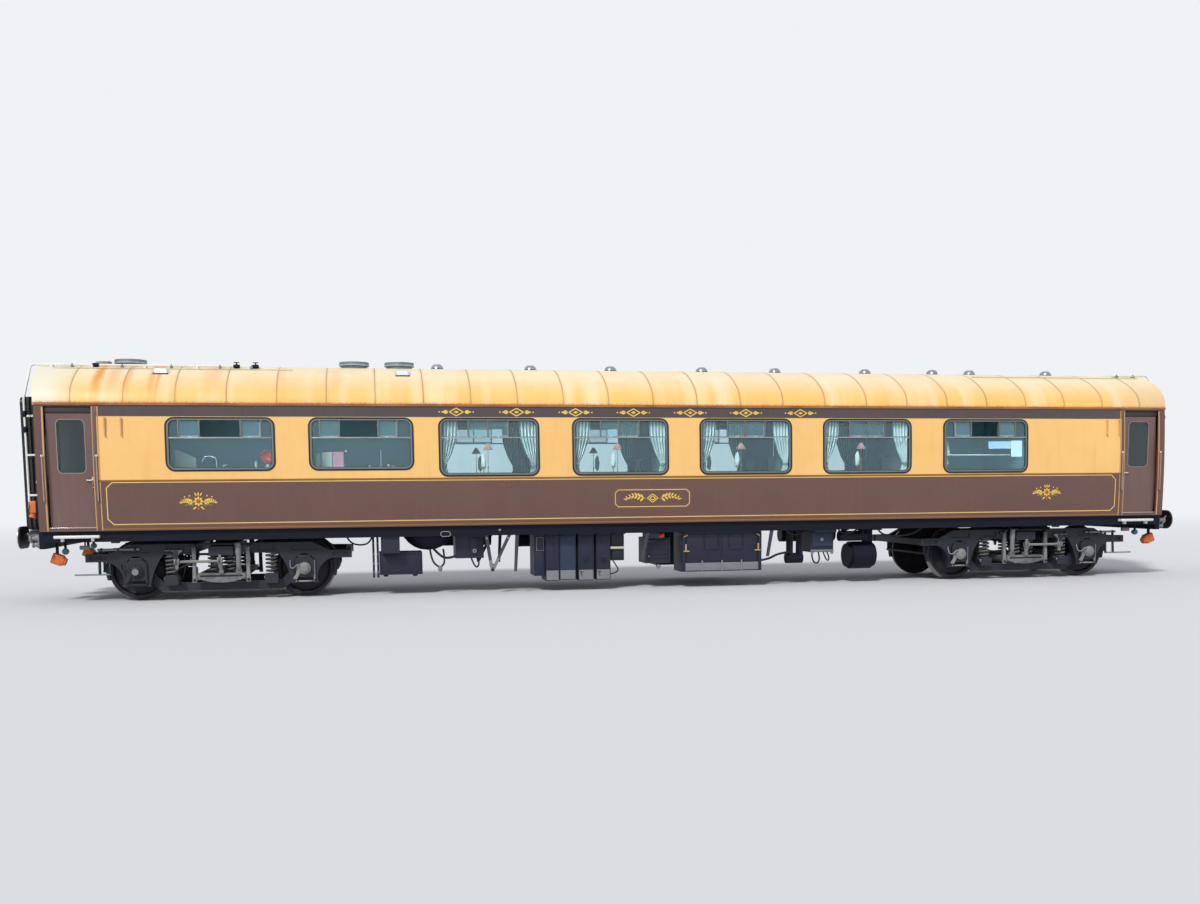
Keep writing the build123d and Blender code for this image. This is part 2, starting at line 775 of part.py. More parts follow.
for label, box_sides, boxes in box_table:
    with BuildPart() as gear:
        for low_x, high_x, low_z, high_z, face, from_x, to_x, panels in boxes:
            for side in box_sides:
                with BuildSketch(Plane.XY.offset(rail + low_z)):
                    with Locations(((low_x + high_x) / 2, side * (face - box_depth / 2))):
                        Rectangle(high_x - low_x, box_depth)
                extrude(amount=high_z - low_z)
                with BuildSketch(Plane.XZ.offset(-side * face)):
                    pitch = (high_x - low_x - panel_margin) / panels
                    for index in range(panels):
                        x = low_x + panel_margin / 2 + (index + 0.5) * pitch
                        with Locations((x, rail + (low_z + high_z) / 2)):
                            Rectangle(pitch - panel_margin, high_z - low_z - 2 * panel_margin)
                extrude(amount=side * panel_recess, mode=Mode.SUBTRACT)
                with BuildSketch(Plane.XY.offset(rail + high_z - 1)):
                    with Locations(((from_x + to_x) / 2, side * (hanger_reach + face - bracket_overlap) / 2)):
                        Rectangle(to_x - from_x, hanger_reach - face + bracket_overlap)
                extrude(amount=hanger_top - rail - high_z + 1)
    save(gear, label)

# Vessels and cylinders under the floor, each hung by straps, and the dished tank
# columns: middle along, height above rail, radius, length, middle across, strap places along
vessel_table = [
    (2650.0, 440.0, 92.0, 300.0, -950.0, (2560.0, 2740.0)),
    (3700.0, 820.0, 90.0, 520.0, -1080.0, (3540.0, 3860.0)),
    (-3000.0, 800.0, 120.0, 900.0, 900.0, (-3250.0, -2750.0)),
    (-1500.0, 780.0, 140.0, 1100.0, 880.0, (-1850.0, -1150.0)),
    (3600.0, 780.0, 140.0, 1100.0, 880.0, (3250.0, 3950.0)),
]
strap_width = 40.0
strap_thickness = 16.0
dish_x = -3780.0
dish_y = -820.0
dish_radius = 400.0
dish_depth = 245.0
dish_rim = 30.0
dish_bottom = hanger_top - dish_depth
dish_curve = (dish_radius**2 + (dish_depth - dish_rim) ** 2) / (2 * (dish_depth - dish_rim))
with BuildPart() as vessels:
    for x, height, radius, length, y, straps in vessel_table:
        with BuildSketch(Plane.YZ.offset(x - length / 2)):
            with Locations((y, rail + height)):
                Circle(radius)
        extrude(amount=length)
        side = -1 if y < 0 else 1
        inner = abs(y) - radius
        for strap in straps:
            with BuildSketch(Plane.XY.offset(rail + height)):
                with Locations((strap, y)):
                    Rectangle(strap_width, 2 * radius)
            extrude(amount=hanger_top - rail - height)
            with BuildSketch(Plane.XY.offset(hanger_top - strap_thickness)):
                with Locations((strap, side * (inner + hanger_reach) / 2)):
                    Rectangle(strap_width, hanger_reach - inner)
            extrude(amount=strap_thickness)
    with BuildSketch(Plane.XZ.offset(-dish_y)):
        with BuildLine():
            rim = Line((dish_x + dish_radius, hanger_top), (dish_x + dish_radius, hanger_top - dish_rim))
            bowl = [
                (dish_x + share * dish_radius, dish_bottom + dish_curve - sqrt(dish_curve**2 - (share * dish_radius) ** 2))
                for share in (0.8, 0.58, 0.34)
            ]
            Polyline(rim @ 1, *bowl, (dish_x, dish_bottom), (dish_x, hanger_top), rim @ 0)
        make_face()
    revolve(axis=Axis((dish_x, dish_y, 0), (0, 0, 1)))
save(vessels, "vessels")

# Dynamo, hung beside the right bogie
dynamo_radius = 245.0
dynamo_start = 3670.0
dynamo_length = 510.0
dynamo_y = -860.0
dynamo_height = rail + 465.0
dynamo_hanger = 150.0
with BuildPart() as dynamo:
    with BuildSketch(Plane.YZ.offset(dynamo_start)):
        with Locations((dynamo_y, dynamo_height)):
            Circle(0.86 * dynamo_radius)
    extrude(amount=dynamo_length)
    with BuildSketch(Plane.YZ.offset(dynamo_start + 60)):
        with Locations((dynamo_y, dynamo_height)):
            Circle(dynamo_radius)
    extrude(amount=dynamo_length - 120)
    hanger_x = dynamo_start + dynamo_length - 100
    with BuildSketch(Plane.XY.offset(dynamo_height + 100)):
        with Locations((hanger_x, dynamo_y)):
            Rectangle(dynamo_hanger, 0.8 * dynamo_hanger)
    extrude(amount=hanger_top - dynamo_height - 100)
    with BuildSketch(Plane.XY.offset(hanger_top - 20)):
        with Locations((hanger_x, (dynamo_y - hanger_reach) / 2)):
            Rectangle(dynamo_hanger, hanger_reach + dynamo_y + dynamo_hanger)
    extrude(amount=20)
save(dynamo, "dynamo")

# Struts under the solebars, the first two joined at their feet
# columns: top x, foot x, foot height above rail
strut_table = [
    (-2845.0, -2754.0, 350.0),
    (-2462.0, -2754.0, 350.0),
    (-2330.0, -2365.0, 340.0),
    (-94.0, -203.0, 478.0),
    (2123.0, 2048.0, 501.0),
]
strut_top_width = 60.0
strut_foot_width = 48.0
strut_thickness = 30.0


def strut_rows(side):
    """The struts of one side, flat bars that stand in one plane just inside the face of the solebar."""
    with BuildPart() as rows:
        with BuildSketch(Plane.XZ.offset(-side * (solebar_face - 7 - strut_thickness))):
            for top_x, foot_x, foot_z in strut_table:
                with BuildLine():
                    Polyline(
                        (top_x - strut_top_width / 2, hanger_top),
                        (top_x + strut_top_width / 2, hanger_top),
                        (foot_x + strut_foot_width / 2, rail + foot_z),
                        (foot_x - strut_foot_width / 2, rail + foot_z),
                        close=True,
                    )
                make_face()
        extrude(amount=-side * strut_thickness)
    return rows.part


strut_sides = [strut_rows(side) for name, side in sides]
with BuildPart() as truss_struts:
    for rows in strut_sides:
        add(rows)
save(truss_struts, "truss_struts")

# Partitions across the coach, each with its doorway, and the corridor walls between two of them
corridor_middle = 850.0
# columns: place along, middle of the doorway across
partition_table = [
    (-8770.0, corridor_middle),
    (-3800.0, corridor_middle),
    (4950.0, corridor_middle),
    (7080.0, corridor_middle),
    (8770.0, 150.0),
]
# columns: from this place along, to this one, middle of the doorway into the room
corridor_rows = [
    (-8770.0, -3800.0, -6020.0),
    (4950.0, 7080.0, 5420.0),
]
partition_thickness = 36.0
partition_gap = 2.0
aisle_width = 640.0
aisle_head = rail + 3150.0
corridor_y = corridor_middle - aisle_width / 2 - 90
room_door_height = 1950.0


def partition(x, aisle_middle):
    """One partition, standing on the floor and following the walls and the roof."""
    with BuildPart() as panel:
        extrude(cabin_section(x - partition_thickness / 2, partition_gap), amount=partition_thickness)
        with BuildSketch(Plane.YZ.offset(x - partition_thickness)):
            with Locations((0, floor_top + seat_gap - floor_thickness)):
                Rectangle(4 * cantrail_half_width, 2 * floor_thickness)
            with Locations((aisle_middle, (floor_top + aisle_head) / 2)):
                Rectangle(aisle_width, aisle_head - floor_top)
        extrude(amount=2 * partition_thickness, mode=Mode.SUBTRACT)
    return panel.part


def corridor_wall(low_x, high_x, door_x):
    """The wall between a corridor and the room beside it, from one partition to the next, with its doorway."""
    lining = crown_radius - roof_wall - partition_gap
    top = roof_top - crown_radius + sqrt(lining**2 - (corridor_y + partition_thickness / 2) ** 2)
    with BuildPart() as panel:
        with BuildSketch(Plane.XY.offset(floor_top + seat_gap)):
            with Locations(((low_x + high_x) / 2, corridor_y)):
                Rectangle(high_x - low_x - partition_thickness - 2 * seat_gap, partition_thickness)
        extrude(amount=top - floor_top - seat_gap)
        with BuildSketch(Plane.XZ.offset(-corridor_y - partition_thickness)):
            with Locations((door_x, floor_top)):
                Rectangle(aisle_width, 2 * room_door_height)
        extrude(amount=2 * partition_thickness, mode=Mode.SUBTRACT)
    return panel.part


panels = [partition(x, aisle_middle) for x, aisle_middle in partition_table]
panels += [corridor_wall(low_x, high_x, door_x) for low_x, high_x, door_x in corridor_rows]
with BuildPart() as partitions:
    for panel in panels:
        add(panel)
save(partitions, "partitions")

# Dining tables and their lamps, chairs
saloon_x = (-2772.0, -570.0, 1623.0, 3843.0)
table_top = floor_top + 740.0
table_width = 760.0
table_thickness = 32.0
table_leg = 34.0
wall_inside = 1290.0
# columns: side, how far the table reaches from the wall, chair middle from the wall, half chair width
table_rows = ((-1, 1020.0, 620.0, 560.0), (1, 560.0, 330.0, 250.0))
with BuildPart() as tables:
    for x in saloon_x:
        for side, reach, seat, half in table_rows:
            leg_y = side * (wall_inside - reach + 150)
            with BuildSketch(Plane.XY.offset(table_top - table_thickness)):
                with Locations((x, side * (wall_inside - 4 - reach / 2))):
                    Rectangle(table_width, reach)
            extrude(amount=table_thickness)
            with BuildSketch(Plane.XY.offset(floor_top + seat_gap)):
                with Locations((x, leg_y)):
                    RegularPolygon(table_leg, 8)
            extrude(amount=table_top - floor_top - 20)
            with BuildSketch(Plane.XY.offset(floor_top + seat_gap)):
                with Locations((x, leg_y)):
                    Rectangle(300, 120)
            extrude(amount=24)
save(tables, "tables")

lamp_setback = 210.0
lamp_height = 560.0
lamp_base = 60.0
lamp_base_height = 26.0
lamp_stem = 10.0
shade_radius = 80.0
shade_top = 16.0
shade_height = 105.0
lamp_facets = 12
with BuildPart() as table_lamps:
    for x in saloon_x:
        for side in (-1, 1):
            y = side * (wall_inside - lamp_setback)
            with BuildSketch(Plane.XY.offset(table_top + seat_gap)):
                with Locations((x, y)):
                    RegularPolygon(lamp_base, lamp_facets)
            extrude(amount=lamp_base_height, taper=30)
            with BuildSketch(Plane.XY.offset(table_top + lamp_base_height / 2)):
                with Locations((x, y)):
                    RegularPolygon(lamp_stem, lamp_facets)
            extrude(amount=lamp_height - shade_height / 2 - lamp_base_height / 2)
            with BuildSketch(Plane.XY.offset(table_top + lamp_height - shade_height)):
                with Locations((x, y)):
                    RegularPolygon(shade_radius, lamp_facets)
            extrude(amount=shade_height, taper=degrees(atan2(shade_radius - shade_top, shade_height)))
save(table_lamps, "table_lamps")

seat_height = floor_top + 455.0
chair_back_top = floor_top + 1120.0
chair_offset = 690.0
with BuildPart() as chairs:
    for x in saloon_x:
        for side, reach, seat, half in table_rows:
            for facing in (-1, 1):
                y = side * (wall_inside - seat)
                middle = x + facing * chair_offset
                with BuildSketch(Plane.XZ.offset(-y + half)):
                    with BuildLine():
                        Polyline(
                            (middle - facing * 260, seat_height - 130),
                            (middle - facing * 260, seat_height - 20),
                            (middle + facing * 120, seat_height - 45),
                            (middle + facing * 190, chair_back_top),
                            (middle + facing * 290, chair_back_top),
                            (middle + facing * 240, floor_top + seat_gap),
                            (middle + facing * 150, floor_top + seat_gap),
                            (middle + facing * 150, seat_height - 150),
                            (middle - facing * 160, seat_height - 150),
                            (middle - facing * 160, floor_top + seat_gap),
                            (middle - facing * 220, floor_top + seat_gap),
                            (middle - facing * 220, seat_height - 130),
                            close=True,
                        )
                    make_face()
                extrude(amount=-2 * half)
save(chairs, "chairs")

# Kitchen counters and cupboards on the near side
# columns: middle along, length, height
kitchen_table = [(-5900.0, 3900.0, 900.0), (-8350.0, 700.0, 1750.0)]
kitchen_y = -950.0
kitchen_depth = 600.0
with BuildPart() as kitchen_units:
    for x, length, height in kitchen_table:
        with BuildSketch(Plane.XY.offset(floor_top + seat_gap)):
            with Locations((x, kitchen_y)):
                Rectangle(length, kitchen_depth)
        extrude(amount=height)
save(kitchen_units, "kitchen_units")

# Curtains, tied back in pairs at each saloon window
curtain_width = 210.0
curtain_depth = 50.0
curtain_inset = 130.0


def curtain_row(side):
    """The curtains of one side, each a slab that lies along the wall."""
    with BuildPart() as row:
        with BuildSketch(Plane.XZ):
            for x in saloon_x:
                for edge in (-1, 1):
                    with Locations((x + edge * (window_half - curtain_inset), (window_head + saloon_sill) / 2)):
                        Rectangle(curtain_width, window_head - saloon_sill + 60)
        extrude(amount=-side * past_side)
        depth = wall + seat_gap
        extrude(wall_band(side, depth, depth + curtain_depth), amount=2 * half_length, mode=Mode.INTERSECT)
    return row.part


curtain_rows = [curtain_row(side) for name, side in sides]
with BuildPart() as curtains:
    for row in curtain_rows:
        add(row)
save(curtains, "curtains")


def bogie(name, end):
    """One bogie. Offsets along the coach are measured from its middle, outwards."""
    middle = end * bogie_x

    def at(offset):
        return middle + end * offset

    # Cast frame: two side frames with pedestals, rims and bosses, joined by transoms and end members
    with BuildPart() as bogie_frame:
        for side_name, side in sides:
            with BuildSketch(Plane.XZ.offset(-side * frame_inner)):
                for half in (-1, 1):
                    with BuildLine():
                        top = Polyline(
                            (at(0), frame_top),
                            (at(half * 1420), frame_top),
                            (at(half * 1690), rail + 745),
                            (at(half * 2050), rail + 740),
                            (at(half * 2050), rail + 615),
                            (at(half * 1720), rail + 615),
                        )
                        guard = ThreePointArc(
                            top @ 1, (at(half * 1545), rail + 470), (at(half * 1500), rail + 240)
                        )
                        outer_horn = Polyline(
                            guard @ 1, (at(half * 1456), rail + 240), (at(half * 1456), rail + 560)
                        )
                        crown = ThreePointArc(
                            outer_horn @ 1, (at(half * wheelbase_half), rail + 695), (at(half * 1135), rail + 560)
                        )
                        inner_horn = Polyline(
                            crown @ 1, (at(half * 1135), rail + 240), (at(half * 1085), rail + 240)
                        )
                        throat = ThreePointArc(
                            inner_horn @ 1, (at(half * 1010), rail + 500), (at(half * 880), rail + 720)
                        )
                        Polyline(
                            throat @ 1,
                            (at(half * 430), rail + 720),
                            (at(half * 430), rail + 850),
                            (at(0), rail + 850),
                            (at(0), frame_top),
                        )
                    make_face()
            extrude(amount=-side * frame_thickness)
            # Rim along the top, lower flange, pedestal tie bars, pin bosses of the links
            with BuildSketch(Plane.XZ.offset(-side * (frame_outer - 1))):
                with Locations((at(0), frame_top - rim_height / 2)):
                    Rectangle(2 * 1420, rim_height)
                for half in (-1, 1):
                    with Locations((at(half * 670), rail + 730)):
                        Rectangle(420, rim_height)
            extrude(amount=-side * (rim_proud + 1))
            for half in (-1, 1):
                with BuildSketch(Plane.XZ.offset(-side * (frame_outer - 30))):
                    with Locations((at(half * wheelbase_half), rail + 228)):
                        Rectangle(430, 26)
                extrude(amount=-side * 44)
                with BuildSketch(Plane.XZ.offset(-side * (frame_outer - 1))):
                    with Locations((at(half * (link_offset + 62)), rail + 825)):
                        Circle(26)
                extrude(amount=-side * 40)
                # Recesses in the face of the casting, between its ribs
                with BuildSketch(Plane.XZ.offset(-side * frame_outer)):
                    with Locations((at(half * 700), rail + 803)):
                        RectangleRounded(280, 84, 24)
                    with Locations((at(half * 1860), rail + 678)):
                        RectangleRounded(260, 62, 20)
                    with Locations((at(half * wheelbase_half), rail + 792)):
                        RectangleRounded(420, 84, 24)
                extrude(amount=side * 24, mode=Mode.SUBTRACT)
        # Brackets for the tie rods, beside the outer springs
        for side_name, side in sides:
            with BuildSketch(Plane.XY.offset(spring_top)):
                with Locations((at(rod_reach), side * (frame_outer + rod_y + 30) / 2)):
                    Rectangle(60, rod_y + 32 - frame_outer)
            extrude(amount=56)
            with BuildSketch(Plane.XY.offset(rod_height + 50 + seat_gap)):
                with Locations((at(rod_reach), side * rod_y)):
                    Rectangle(60, 60)
            extrude(amount=spring_top - rod_height - 49)
        for offset in (-transom_offset, transom_offset):
            with BuildSketch(Plane.XZ.offset(-frame_inner - 10)):
                with Locations((at(offset), rail + 790)):
                    Rectangle(member_width, 140)
            extrude(amount=2 * frame_inner + 20)
        for offset in (-end_member_offset, end_member_offset):
            with BuildSketch(Plane.XZ.offset(-frame_inner - 10)):
                with Locations((at(offset), rail + 677)):
                    Rectangle(member_width, 110)
            extrude(amount=2 * frame_inner + 20)
    save(bogie_frame, f"bogie_frame_{name}")

    # Bolster with the centre bowl, carried on its coil springs
    with BuildPart() as bolster:
        with BuildSketch(Plane.YZ.offset(at(0) - bolster_half)):
            with BuildLine():
                Polyline(
                    (-plank_reach + 5, bolster_under),
                    (-plank_reach + 5, bolster_under + 145),
                    (-800, bolster_under + 145),
                    (-400, bolster_under + 190),
                    (400, bolster_under + 190),
                    (800, bolster_under + 145),
                    (plank_reach - 5, bolster_under + 145),
                    (plank_reach - 5, bolster_under),
                    (850, bolster_under),
                    (780, bolster_under - 50),
                    (-780, bolster_under - 50),
                    (-850, bolster_under),
                    close=True,
                )
            make_face()
        extrude(amount=2 * bolster_half)
        with BuildSketch(Plane.XY.offset(bolster_under + 180)):
            with Locations((at(0), 0)):
                Circle(bowl_radius + 20)
        extrude(amount=bowl_top - bolster_under - 180)
    save(bolster, f"bolster_{name}")

    # Spring plank, shaped like a boat, with its swing links, the tie rod and the damper
    with BuildPart() as spring_plank:
        with BuildSketch(Plane.XZ.offset(-plank_reach)):
            with BuildLine():
                Line((at(-plank_half), plank_top), (at(-plank_half), rail + 330))
                ThreePointArc((at(-plank_half), rail + 330), (at(0), rail + 255), (at(plank_half), rail + 330))
                Line((at(plank_half), rail + 330), (at(plank_half), plank_top))
                Line((at(plank_half), plank_top), (at(-plank_half), plank_top))
            make_face()
        extrude(amount=2 * plank_reach)
        for side_name, side in sides:
            with BuildSketch(Plane.XZ.offset(-side * plank_reach)):
                with Locations((at(0), plank_top - 38)):
                    RectangleRounded(2 * plank_half - 90, 30, 10)
            extrude(amount=side * 50, mode=Mode.SUBTRACT)
            for offset in (-link_offset, link_offset):
                with BuildSketch(Plane.XY.offset(rail + 290)):
                    with Locations((at(offset), side * link_y)):
                        Rectangle(link_width, link_thickness)
                extrude(amount=540)
                with BuildSketch(Plane.XY.offset(rail + 300)):
                    with Locations((at(offset * 0.93), side * link_y)):
                        Rectangle(2 * link_width - 10, link_thickness)
                extrude(amount=60)
            # Damper on its foot, beside the inner link
            with BuildSketch(Plane.XY.offset(plank_top - 1)):
                with Locations((at(damper_offset), side * (frame_outer + damper_radius + 8))):
                    Rectangle(90, 60)
            extrude(amount=70)
            with BuildSketch(Plane.XY.offset(plank_top + 60)):
                with Locations((at(damper_offset), side * (frame_outer + damper_radius + 22))):
                    Circle(damper_radius)
            extrude(amount=frame_top - plank_top - 70)
            # Tie rod from the middle of the plank to a bracket beside the outer spring
            with BuildSketch(Plane.XY.offset(plank_top - 1)):
                with Locations((at(0), side * (rod_y - 20))):
                    Rectangle(70, 100)
            extrude(amount=60)
            with BuildSketch(Plane.XY.offset(plank_top + 50)):
                with Locations((at(0), side * rod_y)):
                    Circle(28)
            extrude(amount=rod_height + 45 - plank_top - 50)
            with BuildSketch(Plane.YZ.offset(at(0))):
                with Locations((side * rod_y, rod_height)):
                    Circle(rod_radius)
            extrude(amount=end * rod_reach)
            with BuildSketch(Plane.XY.offset(rod_height - 50)):
                with Locations((at(rod_reach), side * rod_y)):
                    Circle(30)
            extrude(amount=100)
    save(spring_plank, f"spring_plank_{name}")

    # Springs: coils on the equalisers and under the bolster
    with BuildPart() as springs:
        for side_name, side in sides:
            for offset in (-spring_offset, spring_offset):
                with BuildSketch(Plane.XY.offset(spring_seat + seat_gap)):
                    with Locations((at(offset), side * frame_y)):
                        Circle(spring_radius)
                        Circle(0.6 * spring_radius, mode=Mode.SUBTRACT)
                extrude(amount=spring_top - spring_seat - 2 * seat_gap)
            for offset in (-bolster_coil_offset, bolster_coil_offset):
                with BuildSketch(Plane.XY.offset(plank_top + seat_gap)):
                    with Locations((at(offset), side * (frame_y - 40))):
                        Circle(spring_radius)
                        Circle(0.6 * spring_radius, mode=Mode.SUBTRACT)
                extrude(amount=bolster_under - plank_top - 2 * seat_gap)
    save(springs, f"springs_{name}")

    # Equaliser beams with their axleboxes and spring seats
    with BuildPart() as equalisers:
        beam_in = wheel_back + wheel_width + 22
        beam_out = frame_inner - 12
        for side_name, side in sides:
            with BuildSketch(Plane.XZ.offset(-side * beam_in)):
                for half in (-1, 1):
                    with BuildLine():
                        back = Polyline((at(0), beam_top), (at(half * 880), beam_top))
                        neck = ThreePointArc(
                            back @ 1, (at(half * 1035), rail + 400), (at(half * 1160), rail + 610)
                        )
                        head = Polyline(
                            neck @ 1,
                            (at(half * 1400), rail + 610),
                            (at(half * 1400), rail + 540),
                            (at(half * 1240), rail + 520),
                        )
                        belly = ThreePointArc(
                            head @ 1, (at(half * 1130), rail + 300), (at(half * 940), beam_bottom)
                        )
                        Polyline(belly @ 1, (at(0), beam_bottom), (at(0), beam_top))
                    make_face()
            extrude(amount=-side * (beam_out - beam_in))
            for offset in (-spring_offset, spring_offset):
                with BuildSketch(Plane.XY.offset(beam_top - 20)):
                    with Locations((at(offset), side * (beam_in + 1100) / 2)):
                        Rectangle(210, 1100 - beam_in)
                extrude(amount=spring_seat - beam_top + 20)
            for offset in (-wheelbase_half, wheelbase_half):
                with BuildSketch(Plane.XZ.offset(-side * (beam_in + 2))):
                    with Locations((at(offset), rail + 470)):
                        RectangleRounded(2 * box_half, 320, 60)
                extrude(amount=-side * (1085 - beam_in))
                with BuildSketch(Plane.XZ.offset(-side * 1080)):
                    with Locations((at(offset), axle_height)):
                        Circle(96)
                extrude(amount=-side * 44)
                with BuildSketch(Plane.XZ.offset(-side * 1120)):
                    with Locations((at(offset), axle_height)):
                        Circle(62)
                extrude(amount=-side * 20)
                with BuildSketch(Plane.XZ.offset(-side * beam_in)):
                    with Locations((at(offset), axle_height)):
                        Circle(journal_radius + bearing_gap)
                extrude(amount=-side * 220, mode=Mode.SUBTRACT)
    save(equalisers, f"equalisers_{name}")

    # Brake gear: for each side of each axle a beam, its two blocks and their hangers
    with BuildPart() as brake_gear:
        shoe_inner = wheel_radius + shoe_gap
        for axle, away in ((-1, -1), (-1, 1), (1, -1), (1, 1)):
            axle_x = axle * wheelbase_half
            beam_x = axle_x + away * (shoe_inner + shoe_thickness + 20)
            outward = axle == away
            support = axle * (end_member_offset if outward else transom_offset)
            support_face = support - away * (member_width / 2 + seat_gap)
            support_height = rail + (660 if outward else 760)
            with BuildSketch(Plane.XZ.offset(-800)):
                with Locations((at(beam_x), axle_height)):
                    Circle(24)
            extrude(amount=1600)
            for side_name, side in sides:
                with BuildSketch(Plane.XZ.offset(-side * shoe_y)):
                    with Locations((at(axle_x), axle_height)):
                        Circle(shoe_inner + shoe_thickness)
                        Circle(shoe_inner, mode=Mode.SUBTRACT)
                    with Locations((at(axle_x + away * wheel_radius), axle_height)):
                        Rectangle(240, 300, mode=Mode.INTERSECT)
                extrude(amount=-side * shoe_width)
                with BuildSketch(Plane.XZ.offset(-side * 740)):
                    with Locations((at(beam_x), (axle_height + support_height) / 2)):
                        Rectangle(40, support_height - axle_height + 40)
                    with Locations((at((beam_x + support_face) / 2), support_height)):
                        Rectangle(abs(support_face - beam_x), 40)
                extrude(amount=-side * 40)
    save(brake_gear, f"brake_gear_{name}")

    # Wheelsets: the axle and its two wheels, pressed on
    for index, offset in ((1, wheelbase_half), (2, -wheelbase_half)):
        axle_reach = wheel_back + wheel_width + 235
        seat_reach = wheel_back + wheel_width + 12
        x = at(offset)
        with BuildPart() as wheelset:
            with BuildSketch(Plane.XZ.offset(-axle_reach)):
                with Locations((x, axle_height)):
                    Circle(journal_radius)
            extrude(amount=2 * axle_reach)
            with BuildSketch(Plane.XZ.offset(-seat_reach)):
                with Locations((x, axle_height)):
                    Circle(axle_radius)
            extrude(amount=2 * seat_reach)
            for side_name, side in sides:
                bore = axle_radius + seat_gap
                with BuildSketch(Plane.XY.offset(axle_height)):
                    with BuildLine():
                        Polyline(
                            (x + bore, side * (wheel_back - 6)),
                            (x + hub_radius, side * (wheel_back - 6)),
                            (x + hub_radius + 20, side * (wheel_back + 46)),
                            (x + wheel_radius - 66, side * (wheel_back + 34)),
                            (x + wheel_radius - 58, side * wheel_back),
                            (x + wheel_radius + flange_depth - 8, side * wheel_back),
                            (x + wheel_radius + flange_depth, side * (wheel_back + 10)),
                            (x + wheel_radius + flange_depth - 6, side * (wheel_back + 26)),
                            (x + wheel_radius + 2, side * (wheel_back + 36)),
                            (x + wheel_radius - 3, side * (wheel_back + wheel_width - 6)),
                            (x + wheel_radius - 9, side * (wheel_back + wheel_width)),
                            (x + wheel_radius - 60, side * (wheel_back + wheel_width)),
                            (x + wheel_radius - 70, side * (wheel_back + 62)),
                            (x + hub_radius + 16, side * (wheel_back + 76)),
                            (x + hub_radius, side * (wheel_back + wheel_width + 10)),
                            (x + bore, side * (wheel_back + wheel_width + 10)),
                            close=True,
                        )
                    make_face()
                revolve(axis=Axis((x, 0, axle_height), (0, 1, 0)))
        save(wheelset, f"wheelset_{name}_{index}")


for end_name, end in ends:
    bogie(end_name, end)
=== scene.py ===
# %% [markdown]
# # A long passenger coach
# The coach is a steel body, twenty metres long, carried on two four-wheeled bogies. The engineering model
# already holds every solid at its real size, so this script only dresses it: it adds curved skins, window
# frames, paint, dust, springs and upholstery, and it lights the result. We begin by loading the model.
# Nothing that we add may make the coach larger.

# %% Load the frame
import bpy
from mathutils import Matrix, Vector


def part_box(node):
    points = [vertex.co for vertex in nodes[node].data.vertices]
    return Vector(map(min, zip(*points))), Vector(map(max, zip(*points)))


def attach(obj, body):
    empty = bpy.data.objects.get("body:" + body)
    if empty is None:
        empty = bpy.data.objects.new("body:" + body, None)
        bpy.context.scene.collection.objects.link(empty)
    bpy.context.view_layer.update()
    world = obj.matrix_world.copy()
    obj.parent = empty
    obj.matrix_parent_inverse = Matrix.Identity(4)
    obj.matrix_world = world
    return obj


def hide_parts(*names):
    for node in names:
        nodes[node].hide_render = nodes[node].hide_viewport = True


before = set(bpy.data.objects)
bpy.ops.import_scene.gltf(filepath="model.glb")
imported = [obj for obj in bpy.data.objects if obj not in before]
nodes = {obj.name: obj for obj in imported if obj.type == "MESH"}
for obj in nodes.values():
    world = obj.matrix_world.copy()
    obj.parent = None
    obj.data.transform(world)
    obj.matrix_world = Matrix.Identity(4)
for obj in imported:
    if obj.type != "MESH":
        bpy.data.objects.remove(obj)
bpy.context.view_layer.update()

from math import atan2, cos, pi, radians, sin, sqrt

import bmesh
import bpy
import numpy as np
from mathutils import Matrix, Vector

scene = bpy.context.scene

# %% [markdown]
# ## The camera comes first
# Everything is judged through the camera, so it is set before any piece is made. It stands a little taller
# than a person, 19 m from the side of the coach and left of its middle, and it looks slightly to the right.
# A camera's own axes are its picture's right, its picture's up, and the way backwards. We write the three
# from the turn, the dip and the roll of the view, which keeps each number readable.

# %% Camera
rail = 0.0286
turn, dip, roll = radians(11.175), radians(5.703), radians(0.517)
stand = Vector((-4.717, -20.422, 1.732 + rail))

ahead = Vector((sin(turn) * cos(dip), cos(turn) * cos(dip), -sin(dip)))
right = Vector((cos(turn), -sin(turn), 0))
down = ahead.cross(right)
picture_right = cos(roll) * right + sin(roll) * down
picture_down = cos(roll) * down - sin(roll) * right
axes = Matrix((picture_right, -picture_down, -ahead)).transposed().to_4x4()

camera_data = bpy.data.cameras.new("camera")
camera_data.sensor_width = 36
camera_data.lens = 34.65
camera_data.shift_y = 0.125
camera_data.clip_end = 400
camera = bpy.data.objects.new("camera", camera_data)
camera.matrix_world = Matrix.Translation(stand) @ axes
scene.collection.objects.link(camera)
scene.camera = camera
scene.view_settings.view_transform = "Standard"

# %% [markdown]
# ## Light and floor
# Paint has to look right under any light, so the light is plain. One large, soft sun stands high at the
# front left, and a pale sky fills the shadows. The sky that the camera sees is paler than the sky that
# lights the coach, which the Light Path node can tell apart. Mirror and glass rays see the pale one too.

# %% Sun, sky and floor
def colour(red, green, blue, alpha=1.0):
    """A colour given as screen values from 0 to 255, made linear for the shaders."""
    def linear(value):
        part = value / 255
        return part / 12.92 if part <= 0.04045 else ((part + 0.055) / 1.055) ** 2.4
    return (linear(red), linear(green), linear(blue), alpha)


def add_node(tree, kind, place=(0, 0), **settings):
    """One node of a tree, with its plain settings. Sockets are set through inputs afterwards."""
    node = tree.nodes.new(kind)
    node.location = place
    for name, value in settings.items():
        setattr(node, name, value)
    return node


sun_data = bpy.data.lights.new("sun", "SUN")
sun_data.energy = 2.3
sun_data.angle = radians(9)
sun = bpy.data.objects.new("sun", sun_data)
sun.rotation_euler = Vector((0.45, 0.72, -0.75)).to_track_quat("-Z", "Y").to_euler()
scene.collection.objects.link(sun)

